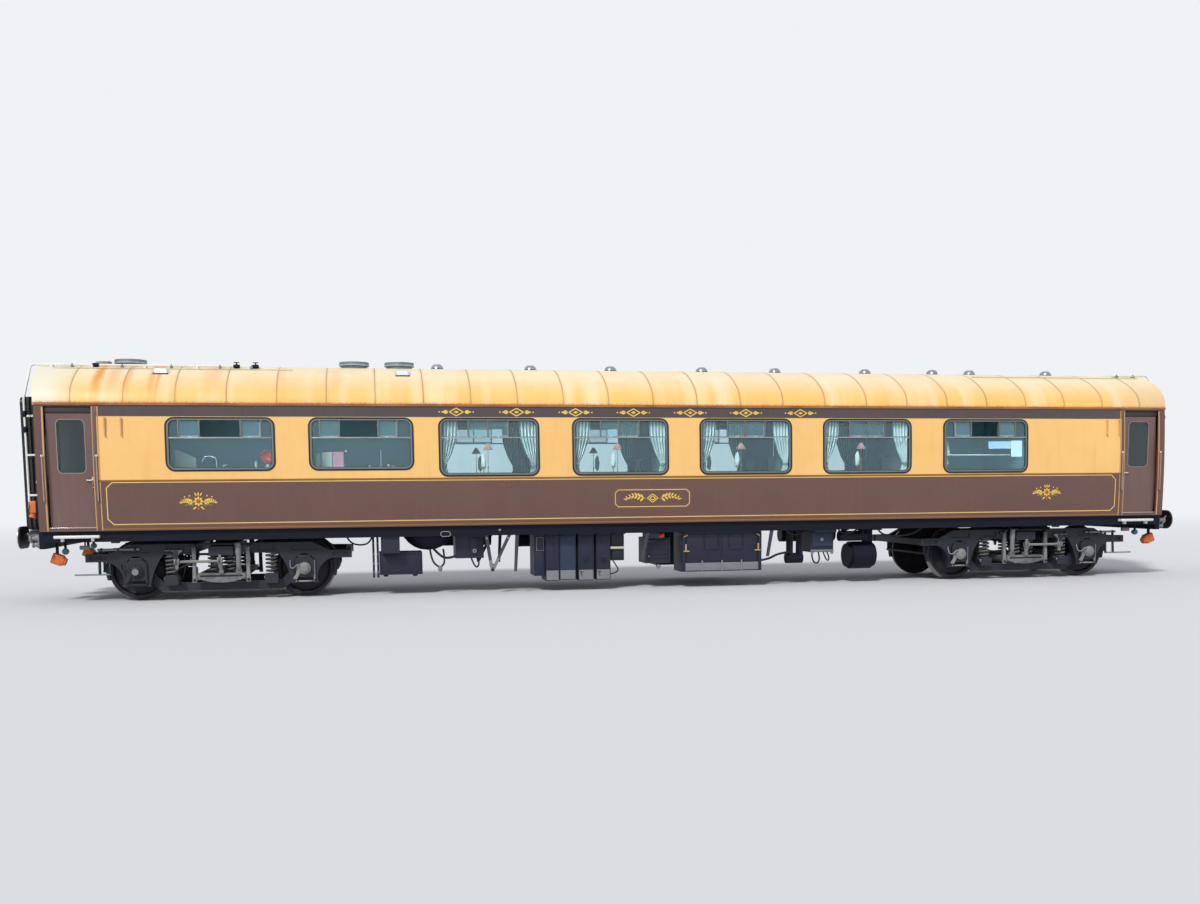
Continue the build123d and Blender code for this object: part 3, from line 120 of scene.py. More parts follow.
world = bpy.data.worlds.new("world")
scene.world = world
world.use_nodes = True
sky = world.node_tree
sky.nodes.clear()
seen = add_node(sky, "ShaderNodeBackground", (0, 120))
seen.inputs["Color"].default_value = (0.87, 0.89, 0.92, 1)
seen.inputs["Strength"].default_value = 1.0
lighting = add_node(sky, "ShaderNodeBackground", (0, -60))
lighting.inputs["Color"].default_value = (0.86, 0.91, 1.0, 1)
lighting.inputs["Strength"].default_value = 0.52
path = add_node(sky, "ShaderNodeLightPath", (-600, 300))
mirrored = add_node(sky, "ShaderNodeMath", (-400, 260), operation="MAXIMUM")
visible = add_node(sky, "ShaderNodeMath", (-200, 300), operation="MAXIMUM")
choose = add_node(sky, "ShaderNodeMixShader", (200, 60))
output = add_node(sky, "ShaderNodeOutputWorld", (400, 60))
sky.links.new(path.outputs["Is Glossy Ray"], mirrored.inputs[0])
sky.links.new(path.outputs["Is Transmission Ray"], mirrored.inputs[1])
sky.links.new(path.outputs["Is Camera Ray"], visible.inputs[0])
sky.links.new(mirrored.outputs[0], visible.inputs[1])
sky.links.new(visible.outputs[0], choose.inputs["Fac"])
sky.links.new(lighting.outputs[0], choose.inputs[1])
sky.links.new(seen.outputs[0], choose.inputs[2])
sky.links.new(choose.outputs[0], output.inputs["Surface"])

floor_bm = bmesh.new()
bmesh.ops.create_circle(floor_bm, cap_ends=True, segments=96, radius=180)
floor_mesh = bpy.data.meshes.new("studio_floor")
floor_bm.to_mesh(floor_mesh)
floor_bm.free()
studio_floor = bpy.data.objects.new("studio_floor", floor_mesh)
scene.collection.objects.link(studio_floor)
floor_paint = bpy.data.materials.new("studio_floor")
floor_paint.use_nodes = True
floor_shader = floor_paint.node_tree.nodes["Principled BSDF"]
floor_shader.inputs["Base Color"].default_value = (0.74, 0.74, 0.75, 1)
floor_shader.inputs["Roughness"].default_value = 0.9
far_floor = add_node(floor_paint.node_tree, "ShaderNodeEmission", (0, -300), label="floor far away")
far_floor.inputs["Color"].default_value = (0.87, 0.89, 0.92, 1)
floor_place = add_node(floor_paint.node_tree, "ShaderNodeTexCoord", (-700, 200))
floor_reach = add_node(floor_paint.node_tree, "ShaderNodeVectorMath", (-500, 200), operation="LENGTH")
fade = add_node(floor_paint.node_tree, "ShaderNodeMapRange", (-300, 200), interpolation_type="SMOOTHSTEP")
fade.inputs["From Min"].default_value = 14
fade.inputs["From Max"].default_value = 60
blended = add_node(floor_paint.node_tree, "ShaderNodeMixShader", (200, 100))
floor_rays = add_node(floor_paint.node_tree, "ShaderNodeLightPath", (-500, 400))
direct = add_node(floor_paint.node_tree, "ShaderNodeMath", (-300, 400), operation="SUBTRACT")
direct.inputs[0].default_value = 1
seen = add_node(floor_paint.node_tree, "ShaderNodeMath", (-100, 300), operation="MULTIPLY")
for first, second in ((floor_place.outputs["Object"], floor_reach.inputs[0]),
                      (floor_reach.outputs["Value"], fade.inputs["Value"]),
                      (floor_rays.outputs["Is Diffuse Ray"], direct.inputs[1]),
                      (direct.outputs[0], seen.inputs[0]), (fade.outputs["Result"], seen.inputs[1]),
                      (seen.outputs[0], blended.inputs["Fac"]), (floor_shader.outputs[0], blended.inputs[1]),
                      (far_floor.outputs[0], blended.inputs[2]),
                      (blended.outputs[0],
                       floor_paint.node_tree.nodes["Material Output"].inputs["Surface"])):
    floor_paint.node_tree.links.new(first, second)
floor_mesh.materials.append(floor_paint)

# %% [markdown]
# ## Effects that many finishes share
# Dirt, dust, rust and cloth follow the same rules on every material, so each becomes a node group that is
# built once. A group reads the object's coordinates in metres and gives out only colours, masks and
# heights. The Principled shader stays in each material, where its plain numbers can be read.

# %% Node group helpers
def new_group(name, inputs, outputs):
    """An empty shader group, its inputs as values by name, and a function that feeds its outputs."""
    group = bpy.data.node_groups.new(name, "ShaderNodeTree")
    for label, value in inputs.items():
        kind = "NodeSocketColor" if isinstance(value, tuple) else "NodeSocketFloat"
        group.interface.new_socket(label, in_out="INPUT", socket_type=kind).default_value = value
    for label in outputs:
        kind = "NodeSocketColor" if label == "Color" else "NodeSocketFloat"
        group.interface.new_socket(label, in_out="OUTPUT", socket_type=kind)
    source = add_node(group, "NodeGroupInput", (-1200, 0))
    sink = add_node(group, "NodeGroupOutput", (900, 0))

    def give(**values):
        for label, value in values.items():
            feed(sink.inputs[label], value)

    return group, {label: Number(source.outputs[label]) for label in inputs}, give


class Number:
    """A value inside a group. A sum that is written with one becomes a math node."""

    def __init__(self, socket):
        self.socket = socket

    def __add__(self, other):
        return sums("ADD", self, other)

    def __sub__(self, other):
        return sums("SUBTRACT", self, other)

    def __rsub__(self, other):
        return sums("SUBTRACT", other, self)

    def __mul__(self, other):
        return sums("MULTIPLY", self, other)

    def __truediv__(self, other):
        return sums("DIVIDE", self, other)


def feed(socket, value):
    """Links a value of the group to a socket, or writes a plain number or colour there."""
    if isinstance(value, Number):
        socket.id_data.links.new(value.socket, socket)
    else:
        socket.default_value = value


def sums(operation, first, second=0.0):
    """A math node. At least one of the two is a value of the group."""
    known = first if isinstance(first, Number) else second
    node = add_node(known.socket.id_data, "ShaderNodeMath", operation=operation)
    for socket, value in zip(node.inputs, (first, second, 0.0)):
        feed(socket, value)
    return Number(node.outputs[0])


def mixed(factor, first, second, blend="MIX"):
    """A colour mix by a factor of the group."""
    node = add_node(factor.socket.id_data, "ShaderNodeMix", data_type="RGBA", blend_type=blend)
    for index, value in ((0, factor), (6, first), (7, second)):
        feed(node.inputs[index], value)
    return Number(node.outputs[2])


def ramp(value, low, high):
    """A mask that rises smoothly from 0 at low to 1 at high."""
    node = add_node(value.socket.id_data, "ShaderNodeMapRange", interpolation_type="SMOOTHSTEP")
    for label, entry in (("Value", value), ("From Min", low), ("From Max", high)):
        feed(node.inputs[label], entry)
    return Number(node.outputs["Result"])


def noise(group, scale, detail=4.0, stretch=(1, 1, 1), distortion=0.0):
    """Noise on object coordinates, stretched along the axes by dividing the coordinates."""
    place = add_node(group, "ShaderNodeTexCoord")
    mapping = add_node(group, "ShaderNodeMapping")
    texture = add_node(group, "ShaderNodeTexNoise")
    group.links.new(place.outputs["Object"], mapping.inputs["Vector"])
    group.links.new(mapping.outputs["Vector"], texture.inputs["Vector"])
    mapping.inputs["Scale"].default_value = stretch
    for label, value in (("Scale", scale), ("Detail", detail), ("Distortion", distortion)):
        texture.inputs[label].default_value = value
    return Number(texture.outputs["Fac"])


def coordinate(group, axis, kind="ShaderNodeTexCoord", output="Object", **settings):
    """X, Y or Z of the object coordinates, or of another vector that a node puts out."""
    place = add_node(group, kind, **settings)
    split = add_node(group, "ShaderNodeSeparateXYZ")
    group.links.new(place.outputs[output], split.inputs["Vector"])
    return Number(split.outputs[axis])


no_tint = (1, 1, 1, 1)
sheet_outputs = ("Color", "Roughness", "Height")

# %% Group: weather, for painted sheet
weather, given, give = new_group(
    "weather",
    {"Color": no_tint, "Grime": (0.1, 0.08, 0.06, 1), "Amount": 0.3, "Streaks": 0.3, "Roughness": 0.3},
    sheet_outputs,
)
blotch = ramp(noise(weather, 1.4, 6, distortion=0.4), 0.42, 0.75)
speck = ramp(noise(weather, 46.0, 3), 0.56, 0.84)
streak = ramp(noise(weather, 9.0, 4, (1, 1, 0.09)), 0.5, 0.78)
cloud = noise(weather, 0.55, 3)
mottle = noise(weather, 6.0, 5)
dirt = (blotch * 0.7 + speck * 0.16) * given["Amount"]
cover = sums("MINIMUM", dirt + streak * given["Streaks"], 1.0)
faded = mixed(ramp(cloud, 0.3, 0.8) * 0.16, given["Color"], (1, 0.96, 0.9, 1), "SOFT_LIGHT")
toned = mixed(mottle * 0.14, faded, (0.45, 0.42, 0.4, 1), "MULTIPLY")
give(Color=mixed(cover, toned, given["Grime"]), Roughness=given["Roughness"] + cover * 0.45 + mottle * 0.08,
     Height=mottle * 0.5 + speck * 0.3)

# %% Group: dust, for the gear under the floor
dust, given, give = new_group(
    "dust",
    {"Color": no_tint, "Dust": (0.25, 0.22, 0.18, 1), "Amount": 0.4, "Top": 0.8, "Roughness": 0.6},
    sheet_outputs,
)
upward = ramp(coordinate(dust, "Z", "ShaderNodeNewGeometry", "Normal"), 0.15, 0.9)
lowness = 1.0 - ramp(coordinate(dust, "Z"), 0.05, given["Top"])
grain = ramp(noise(dust, 5.0, 8, distortion=0.6), 0.34, 0.66)
fine = noise(dust, 90.0, 3)
settled = (upward * 0.75 + lowness * 0.55) * grain * given["Amount"]
dust_and_painted_reflection = sums("MINIMUM", settled + fine * 0.08, 1.0)
give(Color=mixed(dust_and_painted_reflection, given["Color"], given["Dust"]), Roughness=given["Roughness"] + dust_and_painted_reflection * 0.35,
     Height=fine + grain * 0.6)

# %% Group: weave, for cloth
weave, given, give = new_group(
    "weave", {"Color": no_tint, "Thread": (0.5, 0.5, 0.5, 1), "Count": 420.0}, ("Color", "Height"))
threads = [sums("SINE", coordinate(weave, axis) * given["Count"]) for axis in "XYZ"]
cloth = ramp((threads[0] + threads[1]) * threads[2], -1.2, 1.2)
worn = noise(weave, 7.0, 4)
give(Color=mixed((cloth + worn) * 0.4, given["Color"], given["Thread"]), Height=cloth)

# %% [markdown]
# ## Materials
# A material here is one Principled shader fed by one group. The function takes the numbers that stay the
# same all over the surface and sets them on the shader itself. Only what varies comes through a link. The
# Bevel node rounds the look of sharp edges by a few millimetres, as thick paint and casting do.

# %% Material helper
def make_material(name, group, settings, metallic=0.0, bump=0.0, bump_size=0.004, edge=0.0, **sockets):
    """A material whose colour and roughness come from a group. Further words set the shader's sockets."""
    material = bpy.data.materials.new(name)
    material.use_nodes = True
    tree = material.node_tree
    shader = tree.nodes["Principled BSDF"]
    shader.inputs["Metallic"].default_value = metallic
    for label, value in sockets.items():
        shader.inputs[label.replace("_", " ")].default_value = value
    holder = add_node(tree, "ShaderNodeGroup", (-500, 0), node_tree=group)
    for label, value in settings.items():
        holder.inputs[label].default_value = value
    tree.links.new(holder.outputs["Color"], shader.inputs["Base Color"])
    if "Roughness" in holder.outputs:
        tree.links.new(holder.outputs["Roughness"], shader.inputs["Roughness"])
    surface = None
    if edge:
        rounding = add_node(tree, "ShaderNodeBevel", (-700, -400), samples=4)
        rounding.inputs["Radius"].default_value = edge
        surface = rounding.outputs["Normal"]
    if bump:
        relief = add_node(tree, "ShaderNodeBump", (-250, -300))
        relief.inputs["Strength"].default_value = bump
        relief.inputs["Distance"].default_value = bump_size
        tree.links.new(holder.outputs["Height"], relief.inputs["Height"])
        if surface:
            tree.links.new(surface, relief.inputs["Normal"])
        surface = relief.outputs["Normal"]
    if surface:
        tree.links.new(surface, shader.inputs["Normal"])
    return material


def painted(name, base, grime, amount, streaks, roughness, **settings):
    """Sheet or paint that the weather has marked. Colours are screen values."""
    values = {"Color": colour(*base), "Amount": amount, "Streaks": streaks, "Roughness": roughness}
    if grime:
        values["Grime"] = colour(*grime)
    return make_material(name, weather, values, **settings)


def dusty(name, base, film, amount, top, roughness, **settings):
    """Gear that dust has settled on, up to a height above the flanges."""
    values = {"Color": colour(*base), "Dust": colour(*film), "Amount": amount, "Top": top,
              "Roughness": roughness}
    return make_material(name, dust, values, **settings)


def woven(name, base, thread, **settings):
    """Cloth in two colours of thread."""
    return make_material(name, weave, {"Color": colour(*base), "Thread": colour(*thread)}, **settings)

# %% [markdown]
# ## Helpers for shapes
# Every new piece starts as an empty bmesh. The helpers add one plain body at a time to it, such as a block
# with rounded edges, a rod or a turned shape. The last one turns the bmesh into an object that rides on a
# body of the coach. Its faces are smooth, apart from the edges that are sharper than an angle.

# %% Shape helpers
def piece(bm, name, *materials, body="coach", slot=None, smooth=32, stands_for=()):
    """An object from a finished bmesh. It rides on a body, and may stand for nodes of the model."""
    mesh = bpy.data.meshes.new(name)
    bm.to_mesh(mesh)
    bm.free()
    for material in materials:
        mesh.materials.append(material)
    mesh.polygons.foreach_set("use_smooth", [True] * len(mesh.polygons))
    mesh.set_sharp_from_angle(angle=radians(smooth))
    obj = bpy.data.objects.new(name, mesh)
    scene.collection.objects.link(obj)
    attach(obj, body)
    if stands_for:
        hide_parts(*stands_for)
    return obj


def outwards(bm):
    """Turns every face so that it points outwards."""
    bmesh.ops.recalc_face_normals(bm, faces=bm.faces[:])


def verts_of(items):
    """The vertices among the geometry that an operator returned."""
    return [item for item in items if isinstance(item, bmesh.types.BMVert)]


def pour(bm, made):
    """Adds the geometry of a second mesh to the first and frees the second."""
    holder = bpy.data.meshes.new("poured")
    made.to_mesh(holder)
    made.free()
    bm.from_mesh(holder)
    bpy.data.meshes.remove(holder)


def block(bm, corner, opposite, edge=0.003, steps=2):
    """A block between two opposite corners, in any order, with rounded edges."""
    low = Vector(min(a, b) for a, b in zip(corner, opposite))
    high = Vector(max(a, b) for a, b in zip(corner, opposite))
    place = Matrix.Translation((low + high) / 2) @ Matrix.Diagonal((*(high - low), 1))
    made = bmesh.ops.create_cube(bm, size=1, matrix=place)["verts"]
    if edge:
        lines = list({line for vert in made for line in vert.link_edges})
        edge = min(edge, 0.45 * min(high - low))
        bmesh.ops.bevel(bm, geom=lines, offset=edge, affect="EDGES", segments=steps, profile=0.5,
                        material=-1)


def rod(bm, start, end, radius, sides=20, edge=0.0, end_radius=None):
    """A round or many-sided bar between two points, or a cone where it ends in another radius."""
    start, end = Vector(start), Vector(end)
    along = end - start
    place = Matrix.Translation((start + end) / 2) @ along.to_track_quat("Z", "Y").to_matrix().to_4x4()
    last = radius if end_radius is None else end_radius
    made = bmesh.ops.create_cone(bm, cap_ends=True, segments=sides, radius1=radius, radius2=last,
                                 depth=along.length, matrix=place)["verts"]
    if edge:
        lines = {line for vert in made for line in vert.link_edges}
        rims = [line for line in lines if any(len(face.verts) > 4 for face in line.link_faces)]
        bmesh.ops.bevel(bm, geom=rims, offset=edge, affect="EDGES", segments=2, profile=0.5, material=-1)


def turned(bm, origin, axis, profile, steps=32):
    """A turned shape. The profile is pairs of distance along the axis and radius, from end to end."""
    axis, origin = Vector(axis).normalized(), Vector(origin)
    across = axis.orthogonal().normalized()
    line = [bm.verts.new(origin + axis * along + across * max(radius, 1e-6)) for along, radius in profile]
    edges = [bm.edges.new(pair) for pair in zip(line, line[1:])]
    made = bmesh.ops.spin(bm, geom=line + edges, cent=origin, axis=axis, angle=2 * pi, steps=steps,
                          use_merge=True)
    faces = {face for vert in line for face in vert.link_faces}
    grown = set(faces)
    while faces:
        faces = {near for face in faces for edge in face.edges for near in edge.link_faces} - grown
        grown |= faces
    verts = list({vert for face in grown for vert in face.verts})
    bmesh.ops.remove_doubles(bm, verts=verts, dist=1e-5)
    bmesh.ops.recalc_face_normals(bm, faces=[face for face in grown if face.is_valid])
    return made


def hose(bm, points, radius, rings=3, smooth=6):
    """A pipe or hose of one radius that follows points along a smooth curve."""
    data = bpy.data.curves.new("path", "CURVE")
    data.dimensions = "3D"
    spline = data.splines.new("NURBS")
    spline.points.add(len(points) - 1)
    for point, place in zip(spline.points, points):
        point.co = (*place, 1)
    spline.order_u = 3
    spline.use_endpoint_u = True
    data.resolution_u = smooth
    data.bevel_depth = radius
    data.bevel_resolution = rings
    data.use_fill_caps = True
    holder = bpy.data.objects.new("path", data)
    mesh = bpy.data.meshes.new_from_object(holder)
    bm.from_mesh(mesh)
    bpy.data.objects.remove(holder)
    bpy.data.curves.remove(data)
    bpy.data.meshes.remove(mesh)


def outline(bm, low_x, high_x, low_z, high_z, radius=0.0, steps=9, corner_cut=False):
    """Loose edges of an upright rectangle in the plane of X and Z, its corners rounded or cut."""
    verts = [bm.verts.new((x, 0, z)) for x, z in
             ((low_x, low_z), (high_x, low_z), (high_x, high_z), (low_x, high_z))]
    bm.faces.new(verts)
    if radius:
        verts = bmesh.ops.bevel(bm, geom=verts, offset=radius, affect="VERTICES",
                                segments=1 if corner_cut else steps, profile=0.5, material=-1)["verts"]
    faces = list({face for vert in verts for face in vert.link_faces})
    bmesh.ops.delete(bm, geom=faces, context="FACES_ONLY")


def filled(bm, side):
    """Fills the loose outlines, with the inner ones left as holes."""
    loose = [edge for edge in bm.edges if not edge.link_faces]
    bmesh.ops.triangle_fill(bm, use_beauty=True, use_dissolve=False, edges=loose, normal=(0, side, 0))


def ring(bm, side, low_x, high_x, low_z, high_z, width, radius, corner_cut=False):
    """A flat frame of one width, measured inwards from its outer edge."""
    outline(bm, low_x, high_x, low_z, high_z, radius, corner_cut=corner_cut)
    inner = radius - width * (0.586 if corner_cut else 1.0)
    outline(bm, low_x + width, high_x - width, low_z + width, high_z - width, inner, corner_cut=corner_cut)
    filled(bm, side)


def slices(bm, axis, places):
    """Cuts the whole mesh by planes across one axis."""
    normal = [0, 0, 0]
    normal["XYZ".index(axis)] = 1
    for place in places:
        point = [value * place for value in normal]
        bmesh.ops.bisect_plane(bm, geom=bm.verts[:] + bm.edges[:] + bm.faces[:], dist=1e-6,
                               plane_co=point, plane_no=normal)


# %% [markdown]
# ## The shape of the side
# The wall leans in towards the roof and a little towards the floor, on one long arc. We take three points
# of that arc from the model's own boxes and find its circle. From then on, one function tells how far out
# the skin is at any height, so that paint lines, rubbers and strips all sit on it.

# %% Size of the shell
wall_low, wall_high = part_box("side_wall_near")
body_bottom, cantrail = wall_low.z, wall_high.z
half_length = wall_high.x
roof_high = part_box("roof")[1]
roof_top, cantrail_half = roof_high.z, roof_high.y
end_bow = roof_high.x - half_length
waist = rail + 1.9
waist_half, bottom_half = 1.372, 1.355
window_half, window_corner = 0.803, 0.12
window_head, saloon_sill, kitchen_sill = rail + 2.852, rail + 1.94, rail + 2.05
window_x = (-6.989, -4.824, -2.772, -0.57, 1.623, 3.843, 6.099)
doorway_low, doorway_high, doorway_head = 8.84, 9.56, rail + 3.03
floor_top = body_bottom + 0.05
sides = (("near", -1), ("far", 1))
ends = (("left", -1), ("right", 1))


def circle_through(first, second, third):
    """Centre and radius of the circle through three points of a plane."""
    rows = np.array([[2 * (second[0] - first[0]), 2 * (second[1] - first[1])],
                     [2 * (third[0] - first[0]), 2 * (third[1] - first[1])]])
    sums_of = np.array([second[0]**2 + second[1]**2 - first[0]**2 - first[1]**2,
                        third[0]**2 + third[1]**2 - first[0]**2 - first[1]**2])
    middle = np.linalg.solve(rows, sums_of)
    return middle, float(np.hypot(*(middle - np.array(first))))


wall_middle, wall_radius = circle_through((bottom_half, body_bottom), (waist_half, waist),
                                          (cantrail_half, cantrail))
print("the side wall curves on a radius of", round(wall_radius, 2), "m")


def wall_y(height):
    """How far the outer skin stands from the middle of the coach at a height."""
    return float(wall_middle[0] + sqrt(max(wall_radius**2 - (height - wall_middle[1])**2, 0)))


def sill(index, side):
    """Height of a window's sill. Two windows of the kitchen, on the near side, are shallower."""
    return kitchen_sill if side < 0 and index < 2 else saloon_sill


def lay_on_wall(bm, side, proud, depth):
    """Lifts flat faces drawn in X and Z onto the skin and makes them as thick as proud plus depth."""
    for vert in bm.verts:
        vert.co.y = side * (wall_y(vert.co.z) + proud)
    bm.normal_update()
    turned_in = [face for face in bm.faces if face.normal.y * side < 0]
    bmesh.ops.reverse_faces(bm, faces=turned_in)
    bmesh.ops.solidify(bm, geom=bm.faces[:], thickness=proud + depth)
    outwards(bm)


# %% [markdown]
# ## Side walls in two colours
# A real coach side is steel sheet over a frame, painted in bands. We draw the side flat, with its windows
# and doorways as holes, fill it, slice it into low strips and only then bend it. The same slices part the
# colours, so each band is a true edge and not a blurred mask. Last the sheet gets its thickness.

# %% Paint for the body
band_low, band_high = rail + 1.9, rail + 2.872
panel_end = 8.8
lining_wood = painted("inner_lining", (92, 66, 52), None, 0.12, 0.0, 0.35, bump=0.15)
brown_paint = painted("chocolate_paint", (96, 62, 53), (110, 82, 68), 0.24, 0.16, 0.24, bump=0.04,
                      Coat_Weight=0.5, Coat_Roughness=0.08)
letter_paint = painted("letterboard_paint", (68, 54, 58), (98, 84, 84), 0.2, 0.12, 0.24, bump=0.04,
                       Coat_Weight=0.45, Coat_Roughness=0.1)
cream_paint = painted("cream_paint", (250, 196, 116), (222, 158, 84), 0.22, 0.22, 0.26, bump=0.03,
                      Coat_Weight=0.4, Coat_Roughness=0.1)
door_paint = painted("door_paint", (106, 78, 72), (132, 106, 96), 0.3, 0.2, 0.32, bump=0.04, edge=0.004,
                     Coat_Weight=0.25, Coat_Roughness=0.2)

# %% Side walls
wall_thickness = 0.065
for side_name, side in sides:
    bm = bmesh.new()
    outline(bm, -half_length, half_length, body_bottom, cantrail)
    for index, x in enumerate(window_x):
        outline(bm, x - window_half, x + window_half, sill(index, side), window_head, window_corner)
    for end in (-1, 1):
        low_x, high_x = sorted((end * doorway_low, end * doorway_high))
        outline(bm, low_x, high_x, floor_top, doorway_head)
    filled(bm, side)
    slices(bm, "X", (-panel_end, panel_end))
    slices(bm, "Z", [band_low, band_high] + list(np.arange(body_bottom + 0.06, cantrail, 0.06)))
    for face in bm.faces:
        middle = face.calc_center_median()
        if abs(middle.x) < panel_end and middle.z > band_low:
            face.material_index = 1 if middle.z < band_high else 2
    lay_on_wall(bm, side, 0.0, wall_thickness)
    for face in bm.faces:
        middle = face.calc_center_median()
        inward = wall_y(middle.z) - abs(middle.y)
        if inward > 0.6 * wall_thickness and abs(face.normal.y) > 0.7:
            face.material_index = 3
    piece(bm, f"wall_skin_{side_name}", brown_paint, cream_paint, letter_paint, lining_wood,
          slot="body_paint", smooth=25)

# %% [markdown]
# ## Door posts and headers
# The entrance doors sit back from the side, between posts, under a header. In the model these belong to the
# wall node, so the pieces here and the skin stand for that node together. The header is painted dark, as
# painted shade where the gutter shades the top of the recess.

# %% Posts and headers
post_inner, post_outer, header_height = 1.205, 1.332, 0.1
# The header's dark colour is painted shade in the top of the recess, darker than the door
header_shade_paint = painted("header_shade_paint", (54, 44, 46), (40, 34, 36), 0.4, 0.3, 0.5, bump=0.05)
for side_name, side in sides:
    bm = bmesh.new()
    for end in (-1, 1):
        for post_x in (doorway_low - 0.021, doorway_high + 0.021):
            block(bm, (end * (post_x - 0.021), side * post_inner, floor_top),
                  (end * (post_x + 0.021), side * post_outer, cantrail), 0.005, 3)
        block(bm, (end * doorway_low, side * post_inner, doorway_head - header_height),
              (end * doorway_high, side * 1.3, doorway_head), 0.004)
    for face in bm.faces:
        if doorway_low < abs(face.calc_center_median().x) < doorway_high:
            face.material_index = 1
    piece(bm, f"door_posts_{side_name}", door_paint, header_shade_paint, slot="body_paint",
          stands_for=[f"side_wall_{side_name}"])

# %% [markdown]
# ## The roof
# The roof is one sheet on three arcs, tight at the shoulders and flat at the crown. A single vertex spun
# about each centre in turn draws the arcs, and an extrude along the coach makes the sheet. Its ends follow
# the bowed end walls.

# %% Roof sheet
shoulder_radius = 0.42
roof_rise = roof_top - cantrail
shoulder_y = cantrail_half - shoulder_radius
crown_radius = (shoulder_y**2 + roof_rise**2 - shoulder_radius**2) / (2 * (roof_rise - shoulder_radius))
lean = atan2(crown_radius - roof_rise, shoulder_y)
seam_pitch = 0.765
seams = [seam_pitch * count for count in range(-12, 13)]
bow_radius = ((waist_half + 0.03)**2 + end_bow**2) / (2 * end_bow)


def bow(y):
    """How far the end of the coach stands past its side walls, at a place across."""
    return sqrt(bow_radius**2 - y**2) - (bow_radius - end_bow)


def roof_z(y):
    """Height of the roof's skin at a place across the coach."""
    if abs(y) < crown_radius * cos(lean):
        return roof_top - crown_radius + sqrt(crown_radius**2 - y**2)
    return cantrail + sqrt(max(shoulder_radius**2 - (abs(y) - shoulder_y)**2, 0))


def roof_line(bm, x, lift=0.0):
    """Loose edges of the roof's section at a place along the coach, lifted off the skin if asked."""
    start = bm.verts.new((x, -cantrail_half - lift, cantrail))
    centres = ((-shoulder_y, cantrail, -lean), (0, roof_top - crown_radius, 2 * lean - pi),
               (shoulder_y, cantrail, -lean))
    steps = (10, 44, 10)
    for (y, z, angle), count in zip(centres, steps):
        made = bmesh.ops.spin(bm, geom=[start], cent=(x, y, z), axis=(1, 0, 0), angle=angle, steps=count)
        start = verts_of(made["geom_last"])[0]


def sweep_along(bm, length):
    """Sweeps all loose edges along the coach."""
    made = bmesh.ops.extrude_edge_only(bm, edges=bm.edges[:])["geom"]
    verts = verts_of(made)
    bmesh.ops.translate(bm, verts=verts, vec=(length, 0, 0))
    bmesh.ops.remove_doubles(bm, verts=bm.verts[:], dist=1e-5)


bm = bmesh.new()
roof_line(bm, -half_length)
sweep_along(bm, 2 * half_length)
slices(bm, "X", seams)
last_seam = seams[-1]
for vert in bm.verts:
    beyond = abs(vert.co.x) - last_seam
    if beyond > 0:
        stretch = (half_length - last_seam + bow(vert.co.y)) / (half_length - last_seam)
        vert.co.x = (last_seam + beyond * stretch) * (1 if vert.co.x > 0 else -1)
outwards(bm)
if sum(face.normal.z for face in bm.faces) < 0:
    bmesh.ops.reverse_faces(bm, faces=bm.faces[:])
bmesh.ops.solidify(bm, geom=bm.faces[:], thickness=0.06)
outwards(bm)
for face in bm.faces:
    middle = face.calc_center_median()
    if roof_z(middle.y) - middle.z > 0.035 and abs(face.normal.x) < 0.5:
        face.material_index = 1

# %% [markdown]
# ## Sun, rain and rust on the roof
# The roof is made of sheets, one for each stretch between two seams. Each has faded in its own way, rain has
# drawn pale and rusty bands down it, and dirt lies along the seams and above the gutter. Beside each seam a
# wider, fainter band is painted shade of the lap. All of this follows from where a point is along the coach
# and how high it is, so the group works from those two coordinates.

# %% Group: roof sheets
# columns: place along, half width, strength of each run of rust
rust_runs = (
    (-8.82, 0.13, 0.95), (-8.6, 0.2, 0.45), (-8.37, 0.07, 0.5), (-8.02, 0.09, 0.6), (-7.93, 0.05, 0.7),
    (-7.1, 0.3, 0.3), (-6.05, 0.1, 0.2), (-5.2, 0.2, 0.2),
)
roof_sheets, given, give = new_group("roof_sheets",
                                     {"Color": no_tint, "Pale": no_tint, "Rust": (0.6, 0.25, 0.05, 1),
                                      "Dirt": (0.1, 0.08, 0.05, 1), "Roughness": 0.45}, sheet_outputs)
along, up = coordinate(roof_sheets, "X"), coordinate(roof_sheets, "Z")
sheets = along / seam_pitch
tone = add_node(roof_sheets, "ShaderNodeTexWhiteNoise", noise_dimensions="1D")
feed(tone.inputs["W"], sums("FLOOR", sheets))
to_seam = sums("PINGPONG", sheets, 0.5) * seam_pitch
crown = ramp(up, cantrail + 0.12, roof_top - 0.06)
bands = ramp(noise(roof_sheets, 2.6, 5, (1, 0.03, 0.06)), 0.44, 0.72)
patches = ramp(noise(roof_sheets, 2.6, 6, distortion=0.5), 0.4, 0.7)
wandering = along + (noise(roof_sheets, 5.0, 4, (1, 1, 0.5)) - 0.5) * 0.09
rust_cover = 0.0
for place, half_width, depth in rust_runs:
    run = ramp(sums("ABSOLUTE", wandering - place), half_width, 0.0) * depth
    rust_cover = sums("MAXIMUM", run, rust_cover)
rust_cover = rust_cover * ramp(up, cantrail - 0.1, cantrail + 0.5)
bleached = ramp(along, -9.0, -9.6)
greyed = ramp(along, 8.2, 9.6) * (1.0 - crown)
silt = ramp(up, cantrail + 0.07, cantrail + 0.042) * ramp(noise(roof_sheets, 34.0, 6), 0.36, 0.66)
